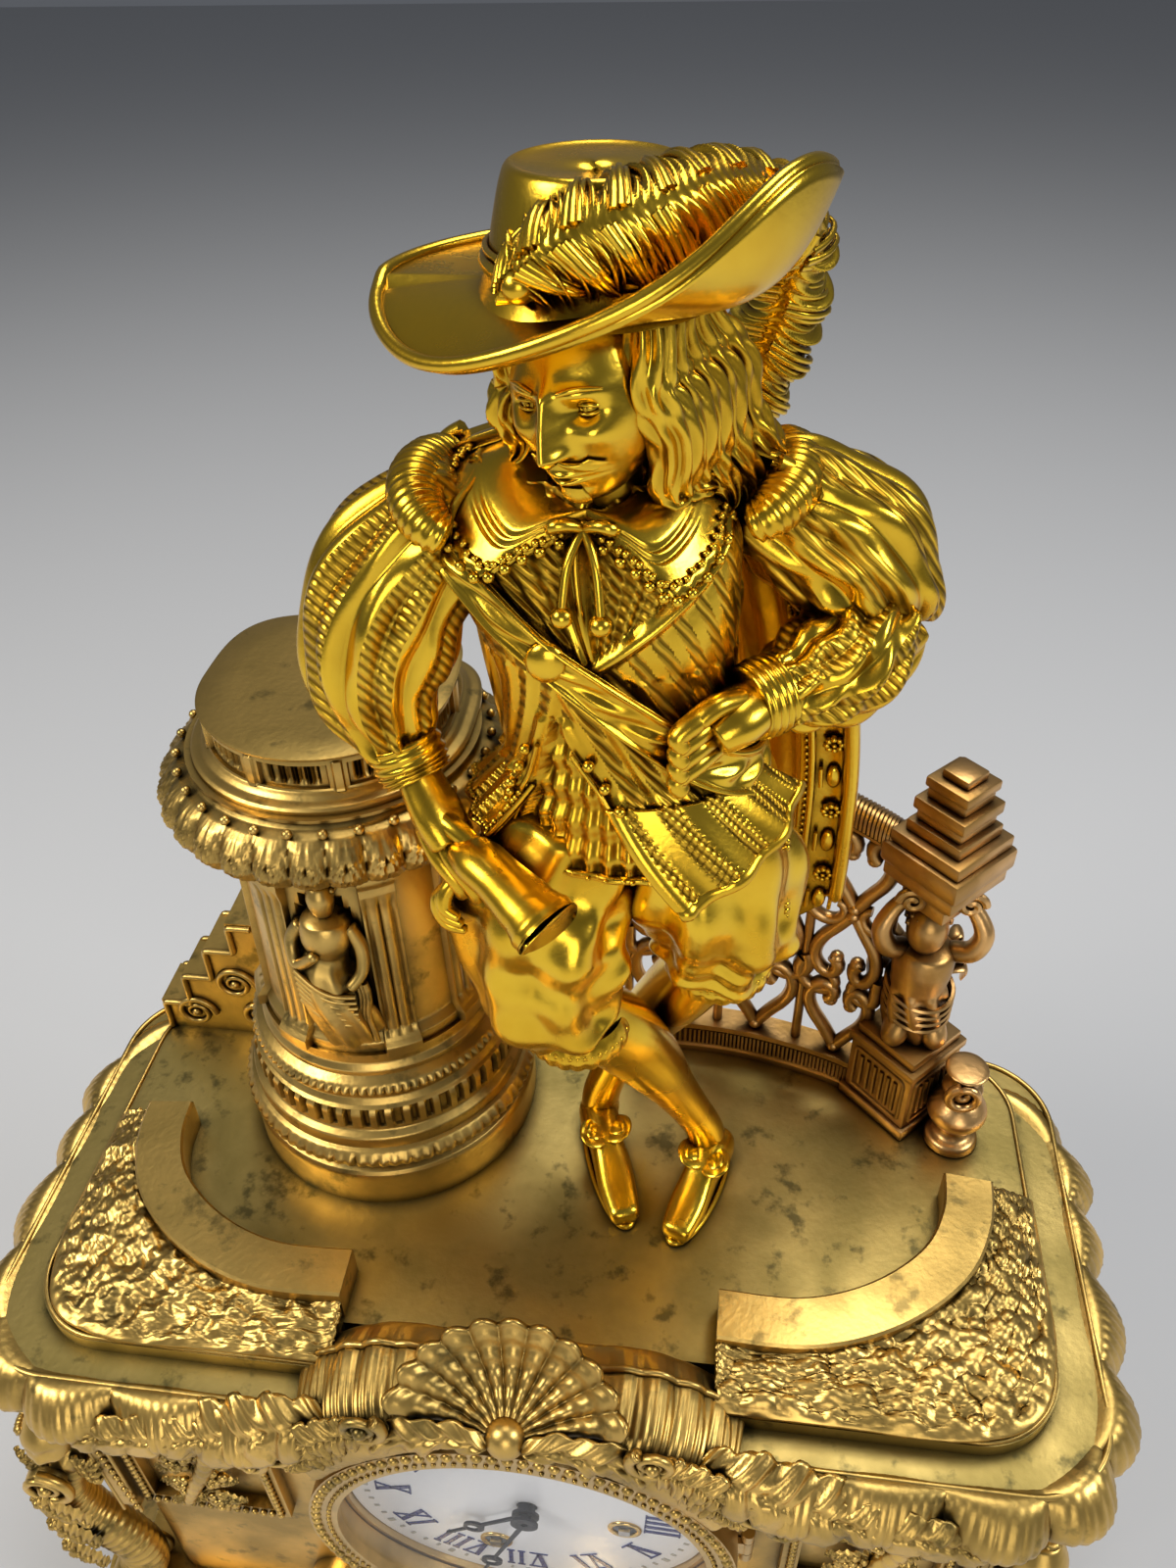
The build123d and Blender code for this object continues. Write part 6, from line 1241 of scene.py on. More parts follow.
vase_bm = bmesh.new()
vase_rows = [(0, 0), (.0062, 0), (.0068, .0012), (.0062, .0026), (.0044, .0036), (.0036, .0056), (.0052, .0078),
    (.0072, .0108), (.0072, .0136), (.0052, .0164), (.0034, .018), (.0046, .0196), (.005, .0212), (.0034, .0228),
    (.003, .0252), (.0046, .0268), (.005, .0282), (0, .0286)]


def vase_skin(turn, share):
    """The turned vase, on the terrace beside the newel."""
    radius, up = between(vase_rows, share)
    return Vector((0.101 + radius * cos(2 * pi * turn), 0.032 + radius * sin(2 * pi * turn), TERRACE + max(up, 0)))


form(vase_bm, vase_skin, 40, 90)
wires(vase_bm,
    [[(Vector((0.1005 + 0.0045 * (1 - t / 44) * cos(0.3 * t + 2), 0.0258 + 0.0022 * t / 40, 0.1935 + 0.0048
    * (1 - t / 44) * sin(0.3 * t + 2))), 0.0012) for t in range(38)]])
cast("vase_and_volute", vase_bm, copper_gold, replaced=["vase_baluster"])

# The terrace: a smooth floor plate in the CAD, with a raised kerb that curves round each front corner,
# rough rocky ground outside the kerbs, and a thin ridge along the plate's edges.
kerb_plan = [(0, 0), (.3, 0), (.55, .15), (.75, .42), (.84, .72), (.86, 1)]
kerb_section = [(0, TERRACE), (0, 0.1745), (0, 0.1792), (0.0006, 0.1798), (0.004, 0.1798), (0.008, 0.1798),
    (0.0112, 0.1798), (0.0118, 0.1792), (0.0118, 0.176), (0.0118, TERRACE)]
plate_edge = [(0.043, -0.0455), (0.07, -0.0455), (0.0965, -0.0455), (0.112, -0.0395), (0.1178, -0.0245),
    (0.1183, -0.006), (0.1183, 0.014)]


def kerb_spot(side, share, out):
    """A place on a kerb's line, moved outward, away from the floor."""
    def point(at):
        along, back = between(kerb_plan, min(max(at, 0), 1))
        return Vector((side * (0.043 + 0.062 * along), -0.022 + 0.036 * back, 0))
    ahead = (point(share + 0.01) - point(share - 0.01)).normalized()
    way = Vector((ahead.y, -ahead.x, 0)) * side
    return point(share) + way * out


kerb_bm = bmesh.new()
ground_bm = bmesh.new()
for side in (-1, 1):
    def kerb_skin(turn, share, side=side):
        out, up = straight(kerb_section, turn * (len(kerb_section) - 1))
        return kerb_spot(side, share, out) + Vector((0, 0, up))
    form(kerb_bm, kerb_skin, 36, 80, wrap=False)
    for end in (0, 1):
        form(kerb_bm, lambda across, up, side=side, end=end: kerb_spot(side, end, 0.0118 * across)
            + Vector((0, 0, TERRACE + 0.0096 * up)), 6, 6, wrap=False)

    def ground_skin(along, out, side=side):
        edge_x, edge_y = between(plate_edge, along)
        place = kerb_spot(side, along, 0.0112).lerp(Vector((side * edge_x, edge_y, 0)), out)
        rough = noise.fractal(place * 160, 0.7, 2.1, 5) * 0.0016 + noise.noise(place * 420) * 0.0007
        calm = min(1, (1 - out) / 0.12) * min(1, out / 0.05 + 0.2)
        place.z = 0.1708 + 0.0052 * (1 - out) ** 0.7 + (rough + 0.0004) * calm
        return place
    form(ground_bm, ground_skin, 150, 60, wrap=False)
cast("garden_kerbs", kerb_bm, matt_gold, replaced=["garden_beds"], crease=35)
cast("rocky_ground", ground_bm, matt_gold, wall=0.001)


def plan_line(half, front, back, corner, start_x, end_x):
    """Points round the right side of a rounded plan, from the front to the back, with the way out."""
    points = []
    for k in range(24):
        points.append((start_x + (half - corner - start_x) * k / 24, front, 0, -1))
    for k in range(18):
        turn = -pi / 2 + pi / 2 * k / 18
        points.append((half - corner + corner * cos(turn), front + corner + corner * sin(turn), cos(turn), sin(turn)))
    for k in range(48):
        points.append((half, front + corner + (back - front - 2 * corner) * k / 48, 1, 0))
    for k in range(18):
        turn = pi / 2 * k / 18
        points.append((half - corner + corner * cos(turn), back - corner + corner * sin(turn), cos(turn), sin(turn)))
    for k in range(25):
        points.append((half - corner + (end_x - half + corner) * k / 24, back, 0, 1))
    return points


ridge_bm = bmesh.new()
ridges = []
for side in (-1, 1):
    for half, front, back, corner, start_x, z, radius in ((0.1182, -0.0452, 0.0592, 0.0195, 0.044, 0.1701, 0.0006),
            (0.1292, -0.0532, 0.0612, 0.0195, 0.058, 0.1656, 0.0008)):
        ridges.append([(Vector((side * x, y, z)), radius) for x, y, _, _ in plan_line(half, front, back, corner,
            start_x, 0.0)])
wires(ridge_bm, ridges, steps=2)
cast("terrace_ridges", ridge_bm, matt_gold)

# The rim: a rocaille border of leaf-like lobes that stands out round the terrace and rolls under to
# a cove on the case. It is cut away behind for the rear door and in front for the crest.
rim_section = [(-0.0035, 0.1632), (0.0008, 0.1652), (0.0026, 0.1656), (0.0045, 0.1646), (0.0066, 0.1622),
    (0.0084, 0.1592), (0.0088, 0.1562), (0.0068, 0.1538), (0.003, 0.1526), (-0.0012, 0.1516), (-0.0048, 0.1498),
    (-0.0072, 0.1478), (-0.0074, 0.1472)]
rim_plan = plan_line(0.1282, -0.0526, 0.0526, 0.0245, 0.052, 0.081)
rim_bm = bmesh.new()
rim_length = [(0.0,)]
for (x0, y0, _, _), (x1, y1, _, _) in zip(rim_plan, rim_plan[1:]):
    rim_length.append((rim_length[-1][0] + hypot(x1 - x0, y1 - y0),))
lobe_width = 0.0196


def rim_skin(side):
    """The rim's surface on one side of the clock."""
    def skin(along, down):
        x, y, out_x, out_y = between(rim_plan, along)
        run = straight(rim_length, along * (len(rim_plan) - 1))[0]
        out, up = between(rim_section, down)
        lobe = abs(sin(pi * (run + 0.0022 * sin(run * 90)) / lobe_width)) ** 0.75
        lip = bump(down - 0.45, 0.22)
        out += (lobe - 0.78) * 0.0052 * lip + 0.0005 * sin(2 * pi * run / 0.047) * lip
        out += 0.00022 * sin(2 * pi * run / 0.0022 + 16 * down) * bump(down - 0.4, 0.25)
        out += 0.0007 * sin(2 * pi * run / lobe_width + 6 * down) * bump(down - 0.75, 0.14)
        return Vector((side * (x + out_x * out), y + out_y * out, up + 0.0011 * (lobe - 0.6) * bump(down - 0.22,
            0.16)))
    return skin


for side in (-1, 1):
    form(rim_bm, rim_skin(side), 740, 24, wrap=False)
cast("rocaille_border", rim_bm, matt_gold, replaced=["rocaille_rim"], wall=0.0014, offset=0)

# The crest over the dial: a fan shell with a ball at its foot, ribbed rocaille arches on both sides
# and acanthus scrolls that run down beside the bezel.
DIAL = Vector((0, -0.05, 0.1185))
crest_bm = bmesh.new()
crest_rows = [(-0.0612, 0.0535), (-0.062, 0.0565), (-0.0616, 0.0605), (-0.06, 0.064), (-0.0565, 0.0668),
    (-0.052, 0.0684), (-0.047, 0.069), (-0.042, 0.0688), (-0.0375, 0.0672), (-0.0372, 0.062)]


def crest_skin(along, over):
    """The arched band of the crest, from its front foot over the top and down behind."""
    bearing = radians(-54 + 108 * along)
    y, radius = between(crest_rows, over)
    part = along * 14 % 1 - 0.5
    lobe = (1 - (2 * abs(part)) ** 2) * bump(over - 0.45, 0.35)
    fine = 0.0003 * sin(along * 2 * pi * 72 + 4 * over) * bump(over - 0.35, 0.3)
    edge = 0.001 * abs(sin(along * pi * 18)) * bump(over - 0.72, 0.1)
    ease = min(1, min(along, 1 - along) / 0.08)
    seat = 1 / (1 + (abs(along - 0.5) / 0.185) ** 6)
    reach = 0.0535 + (radius - 0.0535) * (0.55 + 0.45 * ease) * (1 - 0.5 * seat * min(1, 2 * over))
    reach += (0.0016 * lobe + fine + edge) * ease * (1 - seat)
    y += 0.0045 * seat * bump(over - 0.2, 0.3)
    return Vector((DIAL.x + reach * sin(bearing), y, DIAL.z + reach * cos(bearing)))


form(crest_bm, crest_skin, 480, 36, wrap=False)


def shell_skin(across, out):
    """The fan shell: flutes spread from the ball up and back, to a scalloped edge."""
    bearing = radians(-82 + 164 * across)
    flute = across * 11 % 1 - 0.5
    edge = 0.0016 * (1 - (2 * abs(flute)) ** 2)
    reach = 0.003 + (0.0215 + edge) * out
    ridge = 0.0022 * (1 - 4 * flute * flute) * out ** 0.7 + 0.0003 * sin(out * 2 * pi * 5)
    cup = 0.0034 * out ** 2.5 - 0.0022 * sin(pi * out)
    rise = reach * cos(bearing) * 0.93
    return (Vector((reach * sin(bearing), -0.0585, 0.1762)) + rise * Vector((0, 0.78, 0.62)) + (ridge + 0.0022 + cup)
        * Vector((0, -0.62, 0.78)))


form(crest_bm, shell_skin, 220, 26, wrap=False)
bmesh.ops.create_uvsphere(crest_bm, u_segments=28, v_segments=18, radius=0.0046,
    matrix=(Matrix.Translation((0, -0.0588, 0.1768)) @ Matrix.Diagonal((1, 0.9, 1.1, 1))))
wires(crest_bm, [[(crest_skin(k / 120, 0.74) + Vector((0, 0, 0.0005)), 0.0008) for k in range(6, 115)]])
cast("shell_and_arch", crest_bm, matt_gold, replaced=["shell_crest"], wall=0.0011)

leaf_bm = bmesh.new()


def acanthus(bm, path, width, notches, lift=0.0012, facing=(0, -1, 0.25), across=22, along=72):
    """An acanthus leaf along a path of (x, y, z): a midrib, notched lobes and a curled tip."""
    def skin(turn, share):
        ahead, front, beside = ways(path, share, 0.02, facing)
        half = turn * 2 - 1
        lobes = 0.72 + 0.28 * abs(sin(pi * notches * (share + 0.04 * abs(half))))
        spread = width * sin(pi * min(0.06 + share * 0.94, 1)) ** 0.6 * lobes
        rise = lift * (1 - half * half) - 0.0008 * bump(half, 0.12) + 0.3 * lift * sin(share * notches * 2 * pi)
        rise += 0.0004 * sin(share * notches * 2 * pi * 2.5 - abs(half) * 6)
        return Vector(between(path, share)) + beside * half * spread + ahead * 0.1 * width * abs(half) + front * rise
    form(bm, skin, across, along, wrap=False)


for side in (-1, 1):
    acanthus(leaf_bm, [(side * 0.0035, -0.06, 0.1765), (side * 0.012, -0.0602, 0.1772), (side * 0.021, -0.06, 0.175),
        (side * 0.029, -0.0597, 0.1705), (side * 0.035, -0.0592, 0.165)], 0.0052, 3, lift=0.0018,
        facing=(0, -1, 0.35))
    acanthus(leaf_bm, [(side * 0.04, -0.056, 0.17), (side * 0.049, -0.0585, 0.168), (side * 0.06, -0.059, 0.163),
        (side * 0.072, -0.0585, 0.1585), (side * 0.083, -0.0575, 0.156)], 0.01, 5, lift=0.0022, facing=(0, -1, 0.7))
    for first, last, radius, width, notches in ((26, 52, 0.0635, 0.0062, 6), (34, 56, 0.06, 0.0052, 6),
            (42, 58, 0.06, 0.0042, 4)):
        path = []
        for k in range(7):
            bearing, bow = radians(first + (last - first) * k / 6), sin(pi * k / 6)
            path.append((side * (radius + 0.002 * bow) * sin(bearing), -0.0598 - 0.0012 * bow, DIAL.z
                + (radius + 0.002 * bow) * cos(bearing)))
        acanthus(leaf_bm, path, width, notches)
    for x, z, radius, start in ((0.0545, 0.1582, 0.0062, 0.4), (0.031, 0.1765, 0.0052, 2.2),
            (0.06, 0.1515, 0.004, 0.2)):
        wires(leaf_bm, [spiral((side * x, -0.0606, z), radius, start, 0.28, fade=52, side=side)])
        beads(leaf_bm, [(side * x, -0.0612, z)], 0.0016)
    acanthus(leaf_bm, [(side * 0.06, -0.0575, 0.1575), (side * 0.072, -0.06, 0.1598), (side * 0.086, -0.061, 0.1585),
        (side * 0.099, -0.0608, 0.156), (side * 0.11, -0.0592, 0.1535)], 0.0062, 7, lift=0.0016, facing=(0, -1, 0.5))
for vertex in leaf_bm.verts:
    vertex.co.y = max(vertex.co.y, -0.063)
cast("crest_acanthus", leaf_bm, matt_gold, wall=0.0009)

# The dial: white enamel on copper, with blue Roman numerals, pale minute dots and a brass grommet
# round each winding hole. It has slipped round by about 28 degrees, as in the photograph.
enamel, nodes, links, shader = material("white_enamel")
glaze = pattern(nodes, links, "Noise", Scale=30).outputs["Fac"]
links.new(ramp(nodes, links, glaze, 0, (0.84, 0.85, 0.88), 1, (0.93, 0.93, 0.95)), shader.inputs["Base Color"])
settle(shader, Roughness=0.3, Coat_Weight=0.12)


def plain(name, colour, rough, metallic, shift=0.12, scale=300, relief=0.00002):
    """A quiet material whose tone and gloss drift a little, with a faint grain."""
    made, nodes, links, shader = material(name)
    settle(shader, Metallic=metallic)
    drift = pattern(nodes, links, "Noise", Scale=scale, Detail=5).outputs["Fac"]
    dark = [part * (1 - 2 * shift) for part in colour]
    links.new(ramp(nodes, links, drift, 0.3, dark, 0.7, colour), shader.inputs["Base Color"])
    drift_to(nodes, links, drift, shader.inputs["Roughness"], To_Min=rough * 0.8, To_Max=min(1, rough * 1.3))
    grain_to(nodes, links, drift, shader, 0.4, relief)
    return made


numeral_blue = plain("numeral_blue", (0.02, 0.035, 0.2), 0.25, 0)
minute_grey = plain("minute_grey", (0.5, 0.48, 0.42), 0.4, 0)
brass = plain("polished_brass", (0.83, 0.58, 0.22), 0.2, 1, scale=120)
satin = plain("satin_brass", (0.78, 0.55, 0.24), 0.34, 1, scale=160)
blued = plain("blued_steel", (0.015, 0.016, 0.028), 0.4, 0.5)
steel = plain("bright_steel", (0.62, 0.62, 0.63), 0.22, 1)
bell_metal = plain("bell_metal", (0.62, 0.6, 0.52), 0.25, 1)
dial_turn = radians(27.6)


def on_dial(across, up, y):
    """A place on the dial by its own right and up, as slipped."""
    return Vector((across * cos(dial_turn) - up * sin(dial_turn), y, DIAL.z + across * sin(dial_turn)
        + up * cos(dial_turn)))


numeral_bm = bmesh.new()
minute_bm = bmesh.new()


def stroke(bm, hour_turn, a, b, width, y=-0.05014):
    """A painted stroke between two places (across, up) of a numeral that stands on the hour ring."""
    (ax, ay), (bx, by) = a, b
    middle_x, middle_y = (ax + bx) / 2, (ay + by) / 2 + 0.0335
    length, lean = hypot(bx - ax, by - ay), atan2(bx - ax, by - ay)
    place = on_dial(middle_x * cos(hour_turn) + middle_y * sin(hour_turn), middle_y * cos(hour_turn) - middle_x
        * sin(hour_turn), y)
    bmesh.ops.create_cube(bm, size=1, matrix=(Matrix.Translation(place) @ Matrix.Rotation(hour_turn + lean
        - dial_turn, 4, "Y") @ Matrix.Diagonal((width, 0.00022, length, 1))))


widths_of = {"I": 0.0024, "V": 0.0058, "X": 0.0058}
for hour, word in enumerate(["XII", "I", "II", "III", "IIII", "V", "VI", "VII", "VIII", "IX", "X", "XI"]):
    turn = 2 * pi * hour / 12
    total = sum(widths_of[letter] + 0.0004 for letter in word)
    at = -total / 2
    for letter in word:
        wide = widths_of[letter]
        mid = at + wide / 2 + 0.0002
        if letter == "I":
            stroke(numeral_bm, turn, (mid, -0.0043), (mid, 0.0043), 0.0011)
        elif letter == "V":
            stroke(numeral_bm, turn, (mid - 0.0018, 0.0043), (mid, -0.0043), 0.0013)
            stroke(numeral_bm, turn, (mid + 0.0018, 0.0043), (mid, -0.0043), 0.0005)
        else:
            stroke(numeral_bm, turn, (mid - 0.0018, 0.0043), (mid + 0.0018, -0.0043), 0.0013)
            stroke(numeral_bm, turn, (mid + 0.0018, 0.0043), (mid - 0.0018, -0.0043), 0.0005)
        for end in (-0.0043, 0.0043):
            stroke(numeral_bm, turn, (mid - wide * 0.42, end), (mid + wide * 0.42, end), 0.00042)
        at += wide + 0.0004
for minute in range(60):
    turn = 2 * pi * minute / 60
    stroke(minute_bm, turn, (0, 0.0064), (0, 0.0078 if minute % 5 else 0.0084), 0.0007 if minute % 5 else 0.0013)
cast("dial_numerals", numeral_bm, numeral_blue, crease=30)
cast("minute_marks", minute_bm, minute_grey, crease=30)
grommet_bm = bmesh.new()
for side in (-1, 1):
    def grommet_skin(turn, ring, middle=on_dial(side * 0.0187, -0.0162, -0.0502)):
        radius = 0.0036 + 0.00065 * cos(2 * pi * ring)
        return middle + Vector((radius * cos(2 * pi * turn), -0.0005 * sin(2 * pi * ring),
            radius * sin(2 * pi * turn)))
    form(grommet_bm, grommet_skin, 48, 12)
cast("winding_grommets", grommet_bm, brass)

# The bezel: a turned brass ring, hinged at its right, with a plain sight ring, two rows of beads and
# a flat convex glass.
bezel_bm = bmesh.new()
for radius, y, count, size, detail in ((0.0497, -0.0596, 92, 0.00145, 2), (0.0466, -0.0601, 120, 0.0007, 1)):
    beads(bezel_bm, [(radius * sin(2 * pi * k / count), y, DIAL.z + radius * cos(2 * pi * k / count))
        for k in range(count)], size, detail)
cast("bezel_beads", bezel_bm, matt_gold, body="bezel_leaf")

glass, nodes, links, shader = material("clear_glass")
settle(shader, Roughness=0.05, IOR=1.45, Base_Color=(0.97, 0.98, 0.98, 1))
edge_on = settle(nodes.new("ShaderNodeLayerWeight"), Blend=0.12)
smear = settle(nodes.new("ShaderNodeTexNoise"), Scale=60)
gloss = nodes.new("ShaderNodeMath")
gloss.operation = "MULTIPLY"
links.new(edge_on.outputs["Fresnel"], gloss.inputs[0])
drift_to(nodes, links, smear.outputs["Fac"], gloss.inputs[1], To_Min=0.07, To_Max=0.12)
both = nodes.new("ShaderNodeMixShader")
links.new(gloss.outputs["Value"], both.inputs["Fac"])
links.new(nodes.new("ShaderNodeBsdfTransparent").outputs["BSDF"], both.inputs[1])
links.new(shader.outputs["BSDF"], both.inputs[2])
links.new(both.outputs["Shader"], nodes["Material Output"].inputs["Surface"])

# The front of the case: on each side of the dial a panel in a beaded frame with a trophy of flowers
# and leaves, a beaded pilaster, and a corner scroll that carries a child's bust.
front_bm = bmesh.new()


def flower(bm, place, radius, petals, out=(0, -1, 0)):
    """A flower in relief: two rings of petals round a bead."""
    way = Vector(out).normalized()
    wide = way.cross(Vector((0, 0, 1))).normalized()
    rise = wide.cross(way)
    axes = Matrix((wide, rise, way)).transposed().to_4x4()
    for reach, size, count in ((0.62, 0.42, petals), (0.3, 0.3, petals - 1)):
        for k in range(count):
            turn = 2 * pi * k / count + reach
            spot = Vector(place) + radius * reach * (cos(turn) * wide + sin(turn) * rise) + way * radius * (0.5
                - reach * 0.5)
            bmesh.ops.create_icosphere(bm, subdivisions=1, radius=1,
                matrix=(Matrix.Translation(spot) @ axes @ Matrix.Diagonal((radius * size, radius * size,
                radius * 0.28, 1))))
    beads(bm, [Vector(place) + way * radius * 0.5], radius * 0.26)


random.seed(3)
bead_places = []
for side in (-1, 1):
    cx, cz = side * 0.082, 0.122
    for k in range(5):
        flower(front_bm, (cx + side * 0.0042 * (1 if k % 2 else -1) * (k > 0), -0.0532, cz + 0.0135 - 0.0066 * k),
            0.0046 - 0.0003 * (k % 2), 6)
    for k in range(7):
        lean, wing, low = random.uniform(-0.5, 0.5), 1 if k % 2 else -1, cz - 0.0045 * k
        acanthus(front_bm, [(cx + 0.0015 * sin(k), -0.053, low + 0.012), (cx + 0.0055 * wing, -0.0545, low + 0.0135
            + 0.002 * lean), (cx + 0.0105 * wing, -0.0538, low + 0.0125 + 0.005 * lean)], 0.0021, 3, lift=0.0005,
            across=8, along=24)
    rounded(front_bm, [(cx - 0.006, -0.0542, cz - 0.017, 0.0012), (cx - 0.002, -0.0545, cz - 0.006, 0.0019),
        (cx + 0.004, -0.0545, cz + 0.008, 0.0023), (cx + 0.0068, -0.0542, cz + 0.0175, 0.0026)], 20, 40,
        lambda turn, share: 0.0002 * sin(share * 60))
    for x0, x1, z0, z1, count in ((-0.0178, 0.0178, 0.0198, 0.0198, 15), (-0.0178, 0.0178, -0.0198, -0.0198, 15),
            (-0.0178, -0.0178, -0.0198, 0.0198, 17), (0.0178, 0.0178, -0.0198, 0.0198, 17)):
        bead_places += [(cx + x0 + (x1 - x0) * k / count, -0.0533, cz + z0 + (z1 - z0) * k / count)
            for k in range(count)]
    bead_places += [(side * (0.105 - 0.0002 * k), -0.0553, 0.142 - 0.0034 * k) for k in range(13)]
    wires(front_bm, [[(Vector((side * (0.105 + shift), -0.0549, z)), 0.0005) for z in (0.147, 0.13, 0.11, 0.097)]
        for shift in (-0.0024, 0.0024)], sides=1)
beads(front_bm, bead_places, 0.0011, 1)
cast("front_trophies_and_beads", front_bm, matt_gold, replaced=["flower_trophies"])

scroll_bm = bmesh.new()


def face_fold(turn, share):
    """A child's plain face on the bust: a nose, two eye hollows and two cheeks."""
    off = (turn + 0.5) % 1 - 0.5
    return (0.0011 * bump(off, 0.035) * bump(share - 0.42, 0.07) - 0.0008 * (bump(off - 0.06, 0.04)
        + bump(off + 0.06, 0.04)) * bump(share - 0.56, 0.06) + 0.0008 * (bump(off - 0.1, 0.06)
        + bump(off + 0.1, 0.06)) * bump(share - 0.36, 0.08))


for side in (-1, 1):
    def mirrored(rows):
        return [(side * x, *rest) for x, *rest in rows]
    rounded(scroll_bm, mirrored([(0.1165, -0.0525, 0.1195, 0.0042), (0.1215, -0.0532, 0.1125, 0.0058),
        (0.1238, -0.0536, 0.102, 0.0062), (0.1215, -0.0536, 0.09, 0.0058), (0.1155, -0.0534, 0.079, 0.0052),
        (0.1115, -0.0532, 0.067, 0.005), (0.1135, -0.0532, 0.055, 0.0056), (0.119, -0.053, 0.0475, 0.005)]), 40, 150,
        lambda turn, share: 0.0007 * abs(sin(share * 34 * pi)) - 0.0003, flat=1.15)
    for x, z, radius, start, way in ((0.1215, 0.1155, 0.0074, pi / 2, 1), (0.1165, 0.0515, 0.0078, -pi / 2, -1)):
        for y in (-0.0592, -0.0468):
            wires(scroll_bm, [spiral((side * x, y, z), radius, start, way * 0.26, side=side)])
            beads(scroll_bm, [(side * x, y, z)], 0.0019)
        rounded(scroll_bm, [(side * x, -0.0592, z, 0.0054), (side * x, -0.056, z, 0.0058),
            (side * x, -0.05, z, 0.0058), (side * x, -0.0468, z, 0.0054)], 28, 14, toward=(0, 0, 1))
    for k in range(3):
        acanthus(scroll_bm, mirrored([(0.1135 + 0.002 * k, -0.0596, 0.098 - 0.014 * k),
            (0.1195 + 0.001 * k, -0.0605, 0.106 - 0.014 * k), (0.1262, -0.0598, 0.111 - 0.014 * k)]), 0.0042, 4,
            lift=0.001, across=12, along=40)
    rounded(scroll_bm, mirrored([(0.116, -0.0495, 0.1175, 0.0052), (0.1165, -0.05, 0.1225, 0.0066),
        (0.1168, -0.05, 0.1265, 0.0046), (0.117, -0.0504, 0.13, 0.0034)]), 40, 30, lambda turn, share: 0.0005
        * sin(turn * 20 * pi) * (share < 0.5))
    rounded(scroll_bm, mirrored([(0.117, -0.0512, 0.1285, 0.0036), (0.1172, -0.0528, 0.1325, 0.0058),
        (0.1172, -0.0528, 0.1375, 0.0064), (0.117, -0.0512, 0.1432, 0.004)]), 40, 40, face_fold)
    curls = []
    for k in range(46):
        turn, over = 2 * pi * k * 0.382, 0.15 + 1.35 * (k * 0.618 % 1)
        if cos(turn) <= 0.45 or over >= 0.85:
            curls.append((side * 0.1172 + 0.0064 * sin(turn) * cos(over), -0.0524 - 0.0064 * cos(turn) * cos(over),
                0.1368 + 0.0064 * sin(over)))
    beads(scroll_bm, curls, 0.0017, 1)
    for wing in (-1, 1):
        for lag in range(3):
            acanthus(scroll_bm, [(side * 0.117 + wing * 0.003, -0.0545, 0.1265 - 0.003 * lag),
                (side * 0.117 + wing * 0.0075, -0.0562, 0.1245 - 0.0035 * lag),
                (side * 0.117 + wing * (0.0112 - 0.001 * lag), -0.0545, 0.1268 - 0.0045 * lag)], 0.002, 2,
                lift=0.0005, across=8, along=20)
cast("corner_scrolls_and_busts", scroll_bm, matt_gold, replaced=["corner_scrolls"])

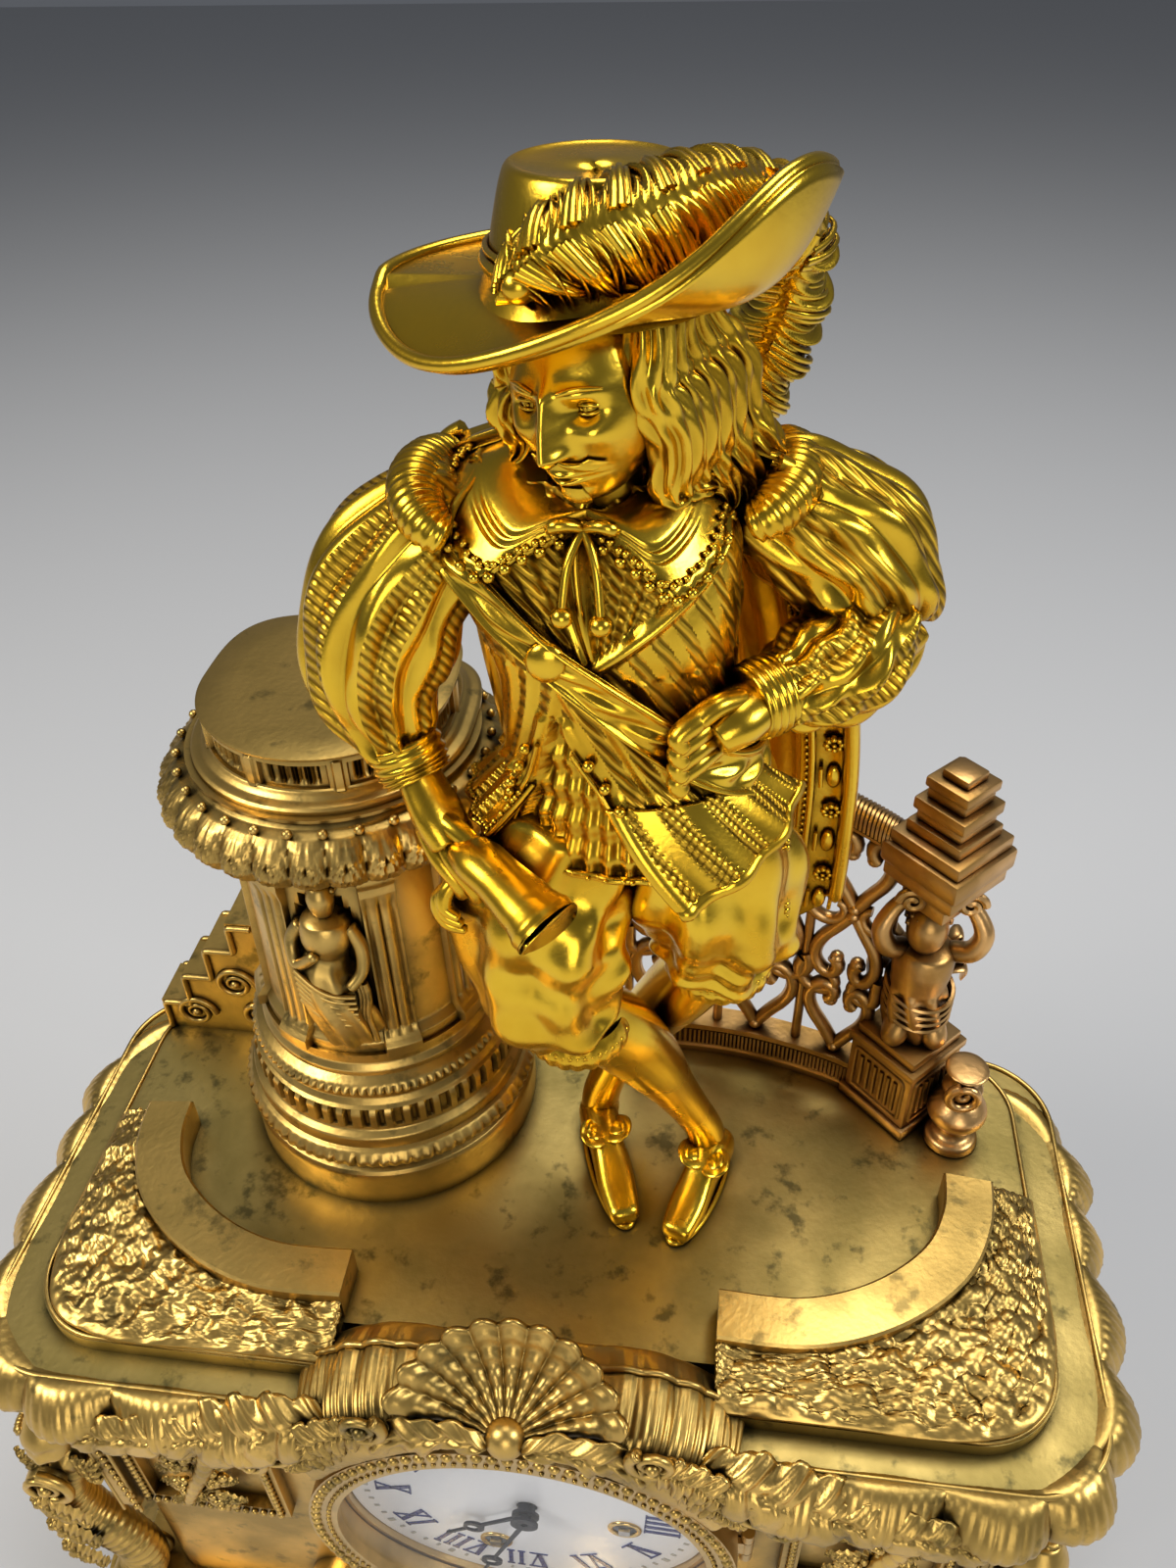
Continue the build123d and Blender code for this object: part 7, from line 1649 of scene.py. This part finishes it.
# The lower front, sides and feet: castings of the CAD with relief laid on them. A garland and scrolls
# fill the apron, a framed cartouche of leaves is on each side, and each foot is a scroll.
lower_bm = bmesh.new()
relief_lines, band = [], []
for side in (-1, 1):
    relief_lines += [spiral((side * 0.052, -0.0592, 0.05), 0.0085, 0.3, 0.27), spiral((side * 0.031, -0.0592, 0.037),
        0.007, 2.6, -side * 0.27), spiral((side * 0.0125, -0.0592, 0.0335), 0.006, 1.0, side * 0.27),
        [(Vector((side * 0.057 * sin(radians(a)), -0.0594, DIAL.z - 0.057 * cos(radians(a)))), 0.0011)
        for a in range(0, 58, 4)]]
    acanthus(lower_bm, [(side * 0.006, -0.0592, 0.046), (side * 0.02, -0.0606, 0.05), (side * 0.035, -0.0602, 0.056),
        (side * 0.047, -0.0592, 0.065)], 0.0052, 6)
    acanthus(lower_bm, [(side * 0.058, -0.0592, 0.03), (side * 0.0605, -0.0604, 0.045),
        (side * 0.0585, -0.0604, 0.06), (side * 0.055, -0.0592, 0.074)], 0.0042, 6)
    for z, lean in ((0.108, 1), (0.092, -1)):
        relief_lines += [spiral((side * 0.1128, -0.009, z), 0.0052, lean * 0.4, lean * 0.27, front=False),
            spiral((side * 0.1128, 0.009, z), 0.0052, pi - lean * 0.4, -lean * 0.27, front=False)]
    flower(lower_bm, (side * 0.1125, 0, 0.1), 0.0055, 7, out=(side, 0, 0))
    for x, z, radius, way in ((0.129, 0.0105, 0.0086, side), (0.108, 0.0085, 0.0058, -side)):
        relief_lines += [spiral((side * x, y, z), radius, -pi / 2, way * 0.27) for y in (-0.0625, 0.0625)]
    band += [(side * (0.066 + 0.0034 * k), -0.0556, 0.0412) for k in range(15)]
    band += [(side * 0.1196, -0.047 + 0.0036 * k, 0.0412) for k in range(27)]
band += [(0.1136 - 0.0036 * k, 0.0556, 0.0412) for k in range(60)]
flower(lower_bm, (0, -0.0596, 0.04), 0.0075, 8)
beads(lower_bm, [(0.0532 * sin(radians(a)) * 1.06, -0.0596, DIAL.z - 0.0532 * cos(radians(a)) * 1.06)
    for a in range(-57, 58, 3)], 0.001, 1)
beads(lower_bm, band, 0.0011, 1)
wires(lower_bm, relief_lines)
for vertex in lower_bm.verts:
    vertex.co.y = min(max(vertex.co.y, -0.0638), 0.0638)
cast("lower_relief", lower_bm, matt_gold)

# The plain castings, the doors and the movement stay as the CAD has them. They take their own metals:
# gilding, satin and polished brass, blued and bright steel.
for metal, names in ((floor_gold, ("terrace_plate",)), (enamel, ("dial",)), (glass, ("bezel_glass",)),
        (bell_metal, ("bell",)), (matt_gold, ("case_shell", "plinth_casting", "scroll_feet", "front_panels",
        "front_apron", "side_cartouches", "stair_scroll")), (satin, ("bezel", "bezel_seat", "rear_ring", "rear_door",
        "movement_straps", "front_plate", "back_plate")), (steel, ("fixing_studs", "hammer", "anchor",
        "going_winding_arbor", "strike_winding_arbor")), (blued, ("minute_hand", "hour_hand")),
        (brass, ("plate_pillars", "fly", "pendulum", "going_barrel", "strike_barrel", "intermediate_wheel",
        "centre_wheel", "third_wheel", "escape_wheel", "strike_second_wheel", "pin_wheel", "warning_wheel",
        "minute_wheel"))):
    for name in names:
        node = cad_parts[name]
        node.data.materials.clear()
        node.data.materials.append(metal)


def span(low, high):
    """A box's two corners as plain lists."""
    return [[float(v) for v in low], [float(v) for v in high]]
